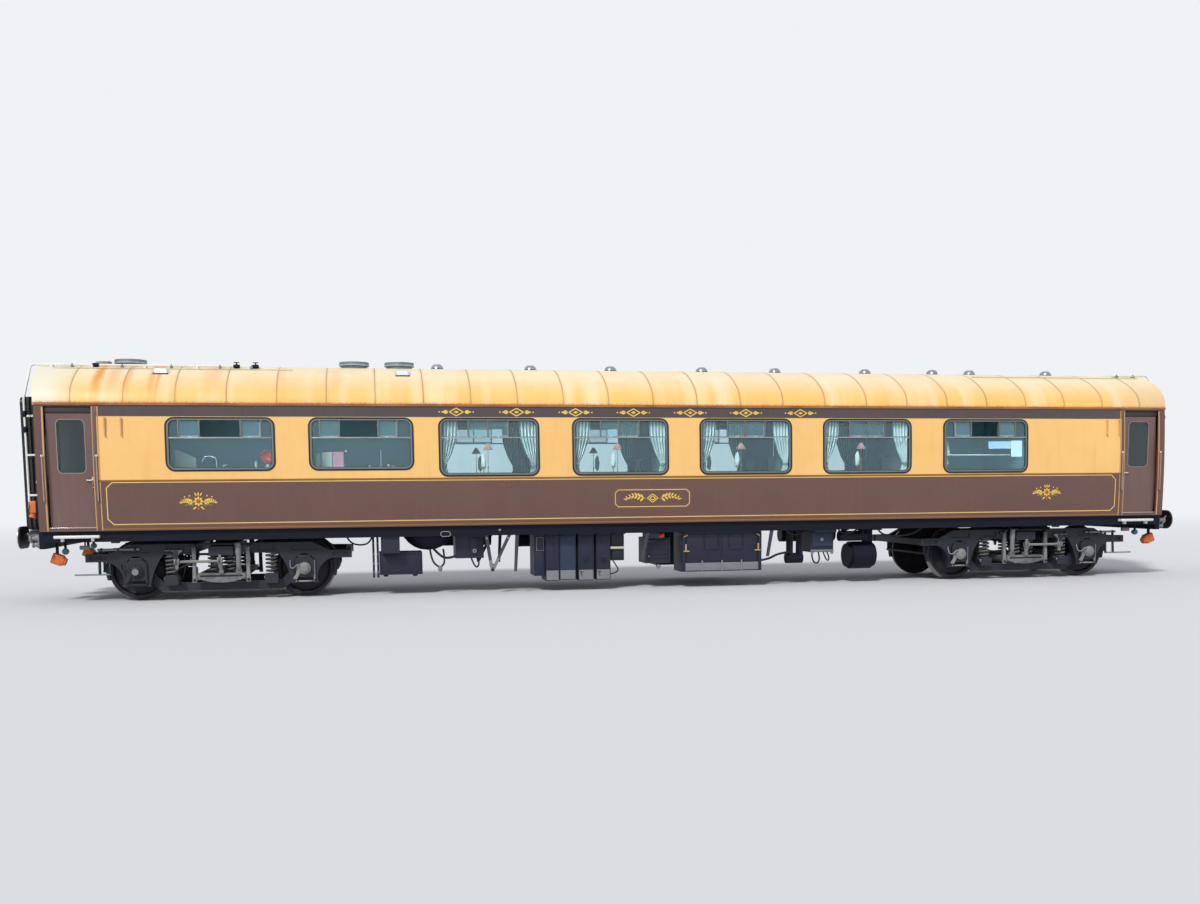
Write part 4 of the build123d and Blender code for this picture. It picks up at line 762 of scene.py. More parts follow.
# A dark joint along each seam, and a wider, faint band beside it that is painted shade of the lap
seam_dirt_and_shade = ramp(to_seam, 0.008, 0.004) * 0.55 + ramp(to_seam, 0.06, 0.004) * 0.12
shade = given["Color"]
for mask, over in ((crown * 0.85, given["Pale"]), (bands * 0.5, given["Pale"]),
                   (Number(tone.outputs["Value"]) * 0.1, given["Rust"]), (patches * 0.1, given["Rust"]),
                   (rust_cover, given["Rust"]), (bleached * 0.85, colour(236, 232, 212)),
                   (greyed * 0.45, colour(196, 190, 170)), (silt * 0.6, given["Dirt"]),
                   (seam_dirt_and_shade, given["Dirt"])):
    shade = mixed(mask, shade, over)
give(Color=shade, Roughness=given["Roughness"] + patches * 0.15, Height=patches + rust_cover * 0.5)
roof_paint = make_material("roof_paint", roof_sheets,
                           {"Color": colour(250, 198, 112), "Pale": colour(247, 236, 202),
                            "Rust": colour(232, 150, 36), "Dirt": colour(118, 88, 52), "Roughness": 0.42},
                           bump=0.05)
ceiling_paint = painted("ceiling_paint", (226, 214, 190), None, 0.1, 0.0, 0.5, bump=0.05)
piece(bm, "roof_sheet", roof_paint, ceiling_paint, slot="roof_paint", stands_for=["roof"])

# %% [markdown]
# ## Finishes for the nodes that stay
# Most nodes of the model have the right shape and only need a surface. Each family of parts gets one
# finish, and a node takes it through its material slot.

# %% Group: cloth with painted shade in its folds, for curtains
fold_shaded_cloth, given, give = new_group(
    "fold_shaded_cloth",
    {"Color": no_tint, "Thread": (0.5, 0.5, 0.5, 1), "Fold": (0.1, 0.2, 0.3, 1), "Folds": 5.0},
    ("Color", "Height"),
)
plain = add_node(fold_shaded_cloth, "ShaderNodeGroup", node_tree=weave)
for label in ("Color", "Thread"):
    feed(plain.inputs[label], given[label])
turns = coordinate(fold_shaded_cloth, "X", "ShaderNodeUVMap", "UV", uv_map="UVMap") * given["Folds"] * (2 * pi)
# The valleys of the pleats darken towards the fold colour, as painted shade in the creases. The UV map's X
# runs across the cloth, so the shade follows the pleats
valley_shade = ramp(sums("SINE", turns), 0.05, -0.65)
give(Color=mixed(valley_shade * 0.8, Number(plain.outputs["Color"]), given["Fold"]),
     Height=Number(plain.outputs["Height"]))

# %% Finishes of the carried nodes
under_black = dusty("underframe_black", (10, 16, 30), (42, 48, 60), 0.3, 0.9, 0.55, bump=0.25, edge=0.004,
                    Specular_IOR_Level=0.2)
bogie_black = dusty("bogie_black", (17, 21, 35), (70, 69, 76), 0.42, 0.9, 0.55, bump=0.35, edge=0.006)
dusty_steel = dusty("dusty_steel", (84, 88, 94), (158, 156, 148), 0.85, 1.0, 0.6, bump=0.35, edge=0.005)
wheel_steel = dusty("wheel_steel", (22, 23, 34), (62, 56, 58), 0.5, 1.0, 0.5, metallic=0.4, bump=0.3,
                    edge=0.004)
strut_grey = dusty("strut_grey", (46, 50, 60), (96, 98, 102), 0.6, 1.0, 0.5, bump=0.25, edge=0.004)
box_paint = dusty("box_paint", (14, 20, 43), (64, 68, 84), 0.4, 0.6, 0.5, bump=0.2, edge=0.004)
window_metal = painted("window_metal", (120, 128, 126), (70, 72, 68), 0.3, 0.1, 0.34, metallic=0.8,
                       bump=0.05, edge=0.003)
gutter_paint = painted("gutter_rust", (174, 108, 60), (92, 50, 34), 0.8, 0.2, 0.6, bump=0.4, edge=0.002)
end_black = painted("end_black", (22, 23, 30), (64, 60, 60), 0.4, 0.35, 0.45, bump=0.1, edge=0.004)
bellows_cloth = painted("bellows_cloth", (40, 38, 40), (96, 88, 80), 0.5, 0.1, 0.75, bump=0.4, edge=0.006)
white_steel = painted("white_metal", (232, 232, 228), (150, 138, 120), 0.35, 0.1, 0.35, bump=0.1, edge=0.003)
roof_metal = painted("roof_metal", (128, 142, 155), (74, 78, 82), 0.4, 0.3, 0.4, metallic=0.5, bump=0.15,
                     edge=0.004)
vent_metal = painted("vent_metal", (222, 226, 228), (120, 116, 108), 0.35, 0.3, 0.28, metallic=0.7,
                     bump=0.08, edge=0.004)
roof_pipe_paint = painted("roof_pipe_paint", (240, 240, 234), (170, 160, 140), 0.35, 0.2, 0.4, bump=0.1,
                          edge=0.003)
pipe_paint = painted("pipe_paint", (214, 206, 180), (150, 128, 96), 0.5, 0.2, 0.4, bump=0.1, edge=0.003)
buffer_steel = dusty("buffer_steel", (38, 38, 44), (84, 76, 72), 0.4, 1.4, 0.35, metallic=0.5, bump=0.2,
                     edge=0.005)
carpet = woven("carpet", (98, 40, 44), (50, 60, 96), bump=0.4, Roughness=0.95)
table_wood = painted("table_wood", (116, 70, 42), None, 0.1, 0.0, 0.2, bump=0.05, Coat_Weight=0.6)
seat_cloth = woven("seat_cloth", (54, 96, 112), (150, 160, 150), bump=0.5, Roughness=0.9, Sheen_Weight=0.3)
# The fold colour is the painted shade in the valleys of the pleats
curtain_cloth = make_material("curtain_cloth", fold_shaded_cloth,
                              {"Color": colour(240, 246, 240), "Thread": colour(196, 220, 220),
                               "Fold": colour(42, 84, 104), "Folds": 5.0}, bump=0.3, Roughness=0.85,
                              Sheen_Weight=0.2)
lamp_brass = painted("lamp_brass", (206, 160, 84), None, 0.15, 0.0, 0.22, metallic=1.0, edge=0.002)
kitchen_steel = painted("kitchen_steel", (186, 190, 192), None, 0.15, 0.1, 0.25, metallic=0.9, bump=0.05,
                        edge=0.003)

# %% Group: rooms, for the inner walls
rooms, given, give = new_group("rooms", {"Kitchen": no_tint, "Saloon": no_tint, "Roughness": 0.4},
                               sheet_outputs)
along = coordinate(rooms, "X")
kitchen_end, saloon_end, lobby_start = -3.785, 4.93, 8.775
behind = ramp(along, kitchen_end, kitchen_end - 0.01) + ramp(along, saloon_end, saloon_end + 0.01)
painted_part = behind * ramp(sums("ABSOLUTE", along), lobby_start, lobby_start - 0.01)
figure = noise(rooms, 3.0, 6, (1, 1, 0.12), 0.8)
veneer = mixed(ramp(figure, 0.35, 0.65) * 0.5, given["Saloon"], colour(60, 32, 20))
give(Color=mixed(painted_part, veneer, given["Kitchen"]), Roughness=given["Roughness"] + figure * 0.1,
     Height=figure)
partition_paint = make_material("partition_paint", rooms, {"Kitchen": colour(158, 206, 220),
                                "Saloon": colour(80, 42, 28), "Roughness": 0.35}, bump=0.05)

# %% Glass
glass = bpy.data.materials.new("glass")
glass.use_nodes = True
tree = glass.node_tree
pane = tree.nodes["Principled BSDF"]
pane.inputs["Base Color"].default_value = (0.8, 0.93, 0.96, 1)
pane.inputs["Roughness"].default_value = 0.02
pane.inputs["Transmission Weight"].default_value = 1.0
pane.inputs["IOR"].default_value = 1.45
clear = add_node(tree, "ShaderNodeBsdfTransparent", (0, -300))
clear.inputs["Color"].default_value = (0.86, 0.9, 0.91, 1)
# A thin film lies on the pane. It is dust, and its teal colour is a painted reflection of blue sky
film = add_node(tree, "ShaderNodeBsdfPrincipled", (-300, -500), label="dust film with painted sky reflection")
film.inputs["Base Color"].default_value = (0.2, 0.42, 0.5, 1)
film.inputs["Roughness"].default_value = 0.7
dust_and_painted_reflection = add_node(tree, "ShaderNodeMixShader", (0, 200))
dust_and_painted_reflection.inputs["Fac"].default_value = 0.085
rays = add_node(tree, "ShaderNodeLightPath", (-300, 300))
either = add_node(tree, "ShaderNodeMixShader", (300, 0))
tree.links.new(rays.outputs["Is Shadow Ray"], either.inputs["Fac"])
tree.links.new(pane.outputs[0], dust_and_painted_reflection.inputs[1])
tree.links.new(film.outputs[0], dust_and_painted_reflection.inputs[2])
tree.links.new(dust_and_painted_reflection.outputs[0], either.inputs[1])
tree.links.new(clear.outputs[0], either.inputs[2])
tree.links.new(either.outputs[0], tree.nodes["Material Output"].inputs["Surface"])
dust_and_painted_reflection.label = "strength of the dust film and painted reflection"
# The door panes have less of the film and of its painted reflection
door_pane = glass.copy()
door_pane.name = "door_glass"
for node in door_pane.node_tree.nodes:
    if node.label == "strength of the dust film and painted reflection":
        node.inputs["Fac"].default_value = 0.02

# %% Each node takes its finish
rail_metal = painted("rail_metal", (172, 158, 142), (96, 80, 70), 0.5, 0.3, 0.35, metallic=0.6, bump=0.08)
finish_of = {"window_frames": window_metal, "window_glass": glass, "gutters": gutter_paint, "floor": carpet,
             "end_wall": end_black, "door_leaf": door_paint, "door_glass": door_pane,
             "end_door_glass": door_pane, "end_door": end_black, "gangway_bellows": bellows_cloth,
             "gangway_plates": buffer_steel, "underframe": under_black, "buffers": buffer_steel,
             "couplers": buffer_steel, "roof_drums": roof_metal, "roof_vents": vent_metal,
             "roof_pipes": roof_pipe_paint, "step_boards": white_steel, "handrails": rail_metal,
             "battery_boxes": box_paint, "equipment_cabinets": box_paint, "control_boxes": box_paint,
             "vessels": under_black, "dynamo": under_black, "truss_struts": strut_grey,
             "partitions": partition_paint, "tables": table_wood, "table_lamps": lamp_brass,
             "chairs": seat_cloth, "kitchen_units": kitchen_steel, "curtains": curtain_cloth,
             "bogie_frame": bogie_black, "bolster": bogie_black, "spring_plank": dusty_steel,
             "springs": dusty_steel, "equalisers": bogie_black, "brake_gear": bogie_black,
             "wheelset": wheel_steel}
for name, obj in nodes.items():
    matches = [key for key in finish_of if name.startswith(key)]
    if matches:
        obj.data.materials.clear()
        obj.data.materials.append(finish_of[max(matches, key=len)])

# %% [markdown]
# ## Lining
# The gold lines are what makes the livery. On the real coach they are leaf or paint, a few tenths of a
# millimetre thick. Here they are thin sheets of their own that lie on the curved skin, so their edges stay
# crisp from any distance. Corners of the long panel are cut at 45 degrees.

# %% Gold lines
gold_line = painted("gold_line", (238, 200, 120), (160, 112, 48), 0.35, 0.1, 0.3, metallic=0.25, bump=0.05)
ochre_line = painted("ochre_line", (146, 96, 34), (96, 60, 24), 0.3, 0.1, 0.35, bump=0.05)
panel_line = (8.71, rail + 1.207, rail + 1.869, 0.015, 0.088)
strip_slices = list(np.arange(body_bottom + 0.04, cantrail, 0.04))


def flat_strip(bm, low_x, high_x, low_z, high_z):
    """A flat rectangle in the plane of X and Z, as a face."""
    bm.faces.new([bm.verts.new((x, 0, z)) for x, z in
                  ((low_x, low_z), (high_x, low_z), (high_x, high_z), (low_x, high_z))])


for side_name, side in sides:
    reach, low_z, high_z, width, cut = panel_line
    bm = bmesh.new()
    ring(bm, side, -reach, reach, low_z, high_z, width, cut, corner_cut=True)
    ring(bm, side, -0.68, 0.62, rail + 1.385, rail + 1.68, 0.013, 0.055, corner_cut=True)
    flat_strip(bm, -panel_end, panel_end, band_high - 0.004, band_high + 0.006)
    for end in (-1, 1):
        flat_strip(bm, end * panel_end - 0.005, end * panel_end + 0.005, band_low, band_high)
    slices(bm, "Z", strip_slices)
    lay_on_wall(bm, side, 0.0012, 0.0008)
    piece(bm, f"gold_lining_{side_name}", gold_line, slot="body_paint")

    bm = bmesh.new()
    ring(bm, side, -0.7, 0.64, rail + 1.365, rail + 1.7, 0.006, 0.062, corner_cut=True)
    flat_strip(bm, -doorway_low + 0.06, doorway_low - 0.06, body_bottom + 0.018, body_bottom + 0.04)
    flat_strip(bm, -reach + 0.1, reach - 0.1, low_z - 0.01, low_z - 0.004)
    slices(bm, "Z", strip_slices)
    lay_on_wall(bm, side, 0.001, 0.0008)
    piece(bm, f"ochre_lining_{side_name}", ochre_line, slot="body_paint")

    # The waist moulding stands proud and is rounded
    bm = bmesh.new()
    flat_strip(bm, -panel_end, panel_end, band_low - 0.026, band_low + 0.002)
    lay_on_wall(bm, side, 0.006, 0.002)
    rims = [edge for edge in bm.edges if abs(edge.verts[0].co.z - edge.verts[1].co.z) < 1e-4]
    bmesh.ops.bevel(bm, geom=rims, offset=0.0035, affect="EDGES", segments=3, profile=0.5, material=-1)
    piece(bm, f"waist_moulding_{side_name}", ochre_line, slot="body_paint")

# %% [markdown]
# ## Rubbers round the windows
# Each window frame is held in its opening by a black rubber. It shows as a dark ring round the bright
# frame, and a thinner one seals the pane inside. Both are flat rings laid on the skin.

# %% Window rubbers
rubber = painted("window_rubber", (9, 12, 15), (48, 48, 44), 0.2, 0.1, 0.65, bump=0.1)
frame_face = 0.03
for side_name, side in sides:
    bm = bmesh.new()
    for index, x in enumerate(window_x):
        half, low_z = window_half + 0.025, sill(index, side) - 0.025
        ring(bm, side, x - half, x + half, low_z, window_head + 0.018, 0.0255, window_corner + 0.025)
    slices(bm, "Z", strip_slices)
    lay_on_wall(bm, side, 0.008, 0.002)
    piece(bm, f"window_rubbers_{side_name}", rubber, slot="window_metal", smooth=50)
    bm = bmesh.new()
    for index, x in enumerate(window_x):
        half = window_half - frame_face
        ring(bm, side, x - half, x + half, sill(index, side) + frame_face, window_head - frame_face, 0.007,
             window_corner - frame_face)
    slices(bm, "Z", strip_slices)
    lay_on_wall(bm, side, 0.002, 0.016)
    piece(bm, f"pane_seals_{side_name}", rubber, slot="window_metal", smooth=50)

# %% [markdown]
# ## Doorways, steps and handrails
# Worn brass strips protect the corners beside each doorway. Under the door there is a threshold, a step
# board with a bright tube along its nose, and beside it a lamp bracket or two. All of them are small, and
# they are what the eye measures the coach by.

# %% Jamb strips, thresholds and step noses
brass = painted("brass_strip", (204, 158, 104), (120, 88, 66), 0.5, 0.4, 0.4, metallic=0.25, bump=0.15)
bright_steel = painted("bright_steel", (200, 200, 204), (120, 110, 100), 0.25, 0.1, 0.22, metallic=0.9,
                       bump=0.05)
for side_name, side in sides:
    bm = bmesh.new()
    for end in (-1, 1):
        for jamb_x, width in ((doorway_low + 0.03, 0.014), (doorway_low - 0.052, 0.018),
                              (doorway_high + 0.018, 0.024)):
            flat_strip(bm, end * jamb_x - width / 2, end * jamb_x + width / 2, body_bottom + 0.01,
                       doorway_head)
    slices(bm, "Z", strip_slices)
    lay_on_wall(bm, side, 0.004, 0.001)
    piece(bm, f"jamb_strips_{side_name}", brass, slot="lamp_brass")

    bm = bmesh.new()
    for end in (-1, 1):
        flat_strip(bm, end * (doorway_low + 0.019) - 0.02, end * (doorway_low + 0.019) + 0.02, floor_top,
                   doorway_head)
    slices(bm, "Z", strip_slices)
    lay_on_wall(bm, side, 0.0, 0.03)
    piece(bm, f"jamb_facings_{side_name}", door_paint, slot="body_paint")

    bm = bmesh.new()
    for end in (-1, 1):
        block(bm, (end * (doorway_low + 0.002), side * 1.292, floor_top - 0.002),
              (end * (doorway_high - 0.002), side * 1.345, floor_top + 0.012), 0.003)
    piece(bm, f"thresholds_{side_name}", bright_steel, slot="white_metal")

step_low, step_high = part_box("step_boards")
bm = bmesh.new()
for end in (-1, 1):
    for side in (-1, 1):
        nose = (end * 9.165, side * (step_high.y - 0.0125), (step_low.z + step_high.z) / 2)
        rod(bm, (nose[0] - 0.33, *nose[1:]), (nose[0] + 0.33, *nose[1:]), 0.021, 24, 0.004)
        for x in (nose[0] - 0.22, nose[0] + 0.22):
            block(bm, (x - 0.02, side * 1.296, step_low.z - 0.05), (x + 0.02, side * 1.36, step_low.z),
                  0.003)
piece(bm, "step_noses", white_steel, slot="white_metal")

# %% Lamp brackets on the cream, lock plates and door rims
bracket_cream = painted("bracket_cream", (214, 164, 100), (140, 100, 62), 0.4, 0.3, 0.4, bump=0.05)
bm = bmesh.new()
for side in (-1, 1):
    for x in (-8.685, -8.447, 8.51, 8.76):
        out = wall_y(rail + 2.72) + 0.02
        hose(bm, [(x, side * out, rail + 2.86), (x, side * out, rail + 2.75), (x, side * out, rail + 2.62),
                  (x, side * (out + 0.004), rail + 2.575), (x, side * (out + 0.012), rail + 2.58)], 0.013)
        for z in (rail + 2.84, rail + 2.61):
            rod(bm, (x, side * wall_y(z), z), (x, side * (out + 0.002), z), 0.014, 12, 0.001)
piece(bm, "lamp_brackets", bracket_cream, slot="lamp_brass")

rim_metal = painted("door_rim", (150, 142, 136), (104, 90, 80), 0.4, 0.2, 0.3, metallic=0.7, bump=0.05)
door_middle, door_face, lever_x = 9.198, 1.292, 8.899
for end_name, end in ends:
    for side_name, side in sides:
        body = f"door_{end_name}_{side_name}"
        bm = bmesh.new()
        ring(bm, side, end * door_middle - 0.212, end * door_middle + 0.212, rail + 2.003, rail + 2.838,
             0.014, 0.08)
        for vert in bm.verts:
            vert.co.y = side * (door_face + 0.005)
        bm.normal_update()
        bmesh.ops.reverse_faces(bm, faces=[face for face in bm.faces if face.normal.y * side < 0])
        bmesh.ops.solidify(bm, geom=bm.faces[:], thickness=0.0046)
        skin_y = side * (door_face + 0.0003)
        block(bm, (end * (lever_x + 0.026), skin_y, waist - 0.055),
              (end * (lever_x - 0.027), side * (door_face + 0.004), waist + 0.055), 0.0015)
        rod(bm, (end * lever_x, skin_y, waist - 0.13),
            (end * lever_x, side * (door_face + 0.007), waist - 0.13), 0.022, 24, 0.002)
        piece(bm, f"door_trim_{end_name}_{side_name}", rim_metal, body=body, slot="window_metal")

# %% [markdown]
# ## Springs
# A coil spring is a bar wound on a helix, with its ends ground flat. The screw of a helix is one spin that
# also climbs, so the spin operator draws it from a small circle. The solid tube in the model only keeps the
# room, and the coils stand for it.

# %% Coil springs
spring_bar = 0.017


def coil(bm, foot, top, radius, bar, turns):
    """A compression spring standing between two heights. The foot is a point, the top a height."""
    stand = Matrix.Translation((foot[0] + radius, foot[1], foot[2] + bar)) @ Matrix.Rotation(pi / 2, 4, "X")
    made = bmesh.ops.create_circle(bm, cap_ends=True, segments=10, radius=bar, matrix=stand)["verts"]
    face = made[0].link_faces[0]
    climb = (top - foot[2] - 2 * bar) / (turns * 24)
    bmesh.ops.spin(bm, geom=[face], cent=(foot[0], foot[1], 0), axis=(0, 0, 1), dvec=(0, 0, climb),
                   angle=2 * pi * turns, steps=24 * turns, use_merge=False)
    for height in (foot[2] + 0.004, top - 0.004):
        turned(bm, (foot[0], foot[1], height), (0, 0, 1),
               [(-0.0038, 0), (-0.0038, radius + bar - 0.002), (0.0038, radius + bar - 0.002), (0.0038, 0)],
               24)


bogie_x, frame_y = 7.085, 0.99
spring_steel = dusty("spring_steel", (58, 60, 66), (118, 114, 106), 0.7, 1.4, 0.5, bump=0.2)
for end_name, end in ends:
    bm = bmesh.new()
    for side in (-1, 1):
        for offset in (-0.77, 0.77):
            coil(bm, (end * bogie_x + offset, side * frame_y, rail + 0.3753), rail + 0.7197, 0.081,
                 spring_bar, 5)
        for offset in (-0.13, 0.13):
            coil(bm, (end * bogie_x + offset, side * (frame_y - 0.04), rail + 0.4003), rail + 0.6897, 0.081,
                 spring_bar, 4)
    outwards(bm)
    piece(bm, f"coil_springs_{end_name}", spring_steel, body=f"bogie_{end_name}", slot="spring_steel",
          smooth=60, stands_for=[f"springs_{end_name}"])

# %% [markdown]
# ## Wheels
# A wheelset is turned on a lathe, so it is spun here from its profile: hub, dished web, rim and a coned
# tread with its flange. The tread is polished by the rail and the web is brown with dust, so the rim gets a
# second finish.

# %% Wheelsets
tread_steel = dusty("tread_steel", (150, 148, 146), (110, 96, 84), 0.3, 1.4, 0.25, metallic=0.9, bump=0.1)
wheel_radius, wheel_back, flange = 0.4572, 0.68, 0.0286
axle_height = rail + wheel_radius
wheel_profile = [(-0.006, 0.081), (-0.006, 0.12), (-0.001, 0.129), (0.02, 0.136), (0.04, 0.146),
                 (0.046, 0.16), (0.044, 0.25), (0.036, 0.37), (0.03, 0.388), (0.008, 0.396), (0.0, 0.404),
                 (0.0, wheel_radius + flange - 0.01), (0.003, wheel_radius + flange - 0.003),
                 (0.01, wheel_radius + flange), (0.02, wheel_radius + flange - 0.003),
                 (0.027, wheel_radius + flange - 0.012), (0.032, wheel_radius + 0.006),
                 (0.038, wheel_radius + 0.0015), (0.129, wheel_radius - 0.003),
                 (0.135, wheel_radius - 0.009), (0.135, wheel_radius - 0.056), (0.131, wheel_radius - 0.062),
                 (0.072, wheel_radius - 0.072), (0.064, wheel_radius - 0.084), (0.064, 0.33), (0.072, 0.2),
                 (0.078, 0.158), (0.092, 0.143), (0.14, 0.131), (0.145, 0.126), (0.145, 0.081)]
for end_name, end in ends:
    for index, offset in ((1, 1.2955), (2, -1.2955)):
        x = end * (bogie_x + offset)
        bm = bmesh.new()
        for side in (-1, 1):
            turned(bm, (x, side * wheel_back, axle_height), (0, side, 0), wheel_profile, 96)
        for face in bm.faces:
            middle = face.calc_center_median()
            radius = sqrt((middle.x - x)**2 + (middle.z - axle_height)**2)
            if radius > wheel_radius - 0.006:
                face.material_index = 1
        turned(bm, (x, 0, axle_height), (0, 1, 0),
               [(-1.05, 0), (-1.05, 0.06), (-1.045, 0.065), (-0.827, 0.065), (-0.827, 0.08), (-0.66, 0.08),
                (-0.6, 0.074), (0.6, 0.074), (0.66, 0.08), (0.827, 0.08), (0.827, 0.065), (1.045, 0.065),
                (1.05, 0.06), (1.05, 0)], 40)
        piece(bm, f"wheels_{end_name}_{index}", wheel_steel, tread_steel,
              body=f"wheelset_body_{end_name}_{index}", slot="wheel_steel", smooth=40,
              stands_for=[f"wheelset_{end_name}_{index}"])

# %% [markdown]
# ## Roof fittings
# A roof is walked on, leaked through and patched, so its fittings decide whether it looks real. Each seam
# is a lap of two sheets, which we draw as a thin strip on the roof's own section. Fans sit in round drums
# with a rolled rim. The pipe that fills the tank lies in clamps and ends in two valves.

# %% Laps on the seams
bm = bmesh.new()
lap_width, lap_height = 0.01, 0.002
roof_line(bm, 0.0, lap_height)
sweep_along(bm, lap_width)
strip = bm.verts[:] + bm.edges[:] + bm.faces[:]
for x in seams[1:]:
    made = bmesh.ops.duplicate(bm, geom=strip)["geom"]
    bmesh.ops.translate(bm, verts=verts_of(made), vec=(x, 0, 0))
bmesh.ops.translate(bm, verts=verts_of(strip), vec=(seams[0], 0, 0))
outwards(bm)
if sum(face.normal.z for face in bm.faces) < 0:
    bmesh.ops.reverse_faces(bm, faces=bm.faces[:])
bmesh.ops.solidify(bm, geom=bm.faces[:], thickness=lap_height + 0.001)
outwards(bm)
lap_paint = painted("lap_paint", (206, 160, 98), (140, 106, 64), 0.7, 0.4, 0.5, bump=0.05)
piece(bm, "roof_laps", lap_paint, slot="roof_paint")

# %% Drum rims, the box beside the first drum, and vent tops
drum_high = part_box("roof_drums")[1]
drum_x, drum_radius = (-8.51, -4.918, -4.161), 0.25
rim_steel = painted("rim_steel", (196, 206, 214), (110, 112, 112), 0.45, 0.3, 0.35, metallic=0.5, bump=0.1)
bm = bmesh.new()
for x in drum_x:
    turned(bm, (x, 0, drum_high.z - 0.06), (0, 0, 1),
           [(0.0, drum_radius - 0.012), (-0.004, drum_radius - 0.004), (0.004, drum_radius + 0.005),
            (0.014, drum_radius + 0.005), (0.02, drum_radius - 0.004), (0.012, drum_radius - 0.014)], 64)
    for angle in range(0, 360, 30):
        screw = (x + 0.195 * cos(radians(angle)), 0.195 * sin(radians(angle)))
        rod(bm, (*screw, drum_high.z - 0.012), (*screw, drum_high.z - 0.004), 0.008, 6)
piece(bm, "drum_rims", rim_steel, slot="roof_metal")

yellow_paint = painted("yellow_paint", (236, 206, 110), (128, 96, 60), 0.5, 0.3, 0.5, bump=0.1)
bm = bmesh.new()
block(bm, (-9.02, -0.11, roof_z(0) - 0.01), (-8.83, 0.11, roof_z(0) + 0.06), 0.006)
piece(bm, "roof_box", roof_metal, slot="roof_metal")
bm = bmesh.new()
block(bm, (-9.03, -0.12, roof_z(0) + 0.058), (-8.82, 0.12, roof_z(0) + 0.074), 0.005)
piece(bm, "roof_box_lid", yellow_paint, slot="roof_metal")

# %% Pipe clamps, valves and the conduit
pipe_y, pipe_radius = -0.5, 0.017
pipe_z = roof_z(pipe_y) + 0.034
bm = bmesh.new()
for x in (-9.3, -8.55, -7.8, -7.05, -6.55, 9.25, 9.6):
    turned(bm, (x, pipe_y, pipe_z), (1, 0, 0), [(-0.012, pipe_radius - 0.004), (-0.012, pipe_radius + 0.005),
           (0.012, pipe_radius + 0.005), (0.012, pipe_radius - 0.004)], 20)
    block(bm, (x - 0.018, pipe_y - 0.05, pipe_z - pipe_radius - 0.022),
          (x + 0.018, pipe_y + 0.05, pipe_z - 0.014), 0.003)
piece(bm, "pipe_clamps", roof_metal, slot="roof_metal")
bm = bmesh.new()
for x in (-8.95, -6.79, -6.49):
    turned(bm, (x, pipe_y, pipe_z), (1, 0, 0), [(-0.05, pipe_radius - 0.004), (-0.05, 0.028), (-0.03, 0.028),
           (-0.026, 0.034), (0.026, 0.034), (0.03, 0.028), (0.05, 0.028), (0.05, pipe_radius - 0.004)], 24)
for x in (-6.79, -6.49):
    rod(bm, (x, pipe_y, pipe_z + 0.02), (x, pipe_y, pipe_z + 0.062), 0.01, 12, 0.001)
    rod(bm, (x - 0.045, pipe_y, pipe_z + 0.062), (x + 0.045, pipe_y, pipe_z + 0.062), 0.007, 12, 0.001)
piece(bm, "pipe_valves", under_black, slot="roof_metal")
bm = bmesh.new()
conduit_y = 0.62
for stretch in ((-9.55, -9.2, -8.4, -7.6, -6.7, -5.9), (6.2, 7.0, 7.9, 8.7, 9.3, 9.6)):
    hose(bm, [(x, -conduit_y + 0.012 * sin(7 * x), roof_z(conduit_y) + 0.01) for x in stretch], 0.008, 2, 8)
piece(bm, "roof_conduit", pipe_paint, slot="white_metal")

# %% [markdown]
# ## Panes and opening vents
# Each window is a fixed pane below and a row of four small ones above, two of which slide. The pane is drawn
# as one filled outline and sliced at the transom and the bars. Where a vent stands open, its panes are left
# out of the middle and slid behind the outer ones, so one looks straight into the coach.

# %% Panes
transom_z = window_head - 0.3
vent_bars = ((-0.628, -0.318, 0.306, 0.616), (-0.65, -0.345, 0.265, 0.569), (-0.344, -0.02, 0.314),
             (-0.345, -0.032, 0.314), (-0.332, -0.021, 0.34), (-0.339, 0.001, 0.322),
             (-0.612, -0.285, 0.262, 0.568))
open_vents = (0, 1, 6)
pane_edge, pane_depth, pane_thickness = 0.026, 0.014, 0.006


def lay_inside(bm, side, depth, thickness):
    """Puts flat faces drawn in X and Z behind the skin, by a depth to their outer face."""
    lay_on_wall(bm, side, -depth, depth + thickness)


bm = bmesh.new()
for side_name, side in sides:
    flat = bmesh.new()
    for index, x in enumerate(window_x):
        half = window_half - pane_edge
        outline(flat, x - half, x + half, sill(index, side) + pane_edge, window_head - pane_edge,
                window_corner - pane_edge)
    filled(flat, side)
    slices(flat, "Z", [transom_z])
    slices(flat, "X", [window_x[index] + vent_bars[index][bar] for index in open_vents for bar in (1, 2)])
    if side < 0:
        gone = []
        for index in open_vents:
            low, high = (window_x[index] + vent_bars[index][bar] for bar in (1, 2))
            for face in flat.faces:
                middle = face.calc_center_median()
                if middle.z > transom_z and low < middle.x < high:
                    gone.append(face)
        bmesh.ops.delete(flat, geom=gone, context="FACES")
    slices(flat, "Z", list(np.arange(band_low + 0.1, band_high, 0.1)))
    lay_inside(flat, side, pane_depth, pane_thickness)
    pour(bm, flat)
piece(bm, "window_panes", glass, slot="glass", stands_for=["window_glass"])

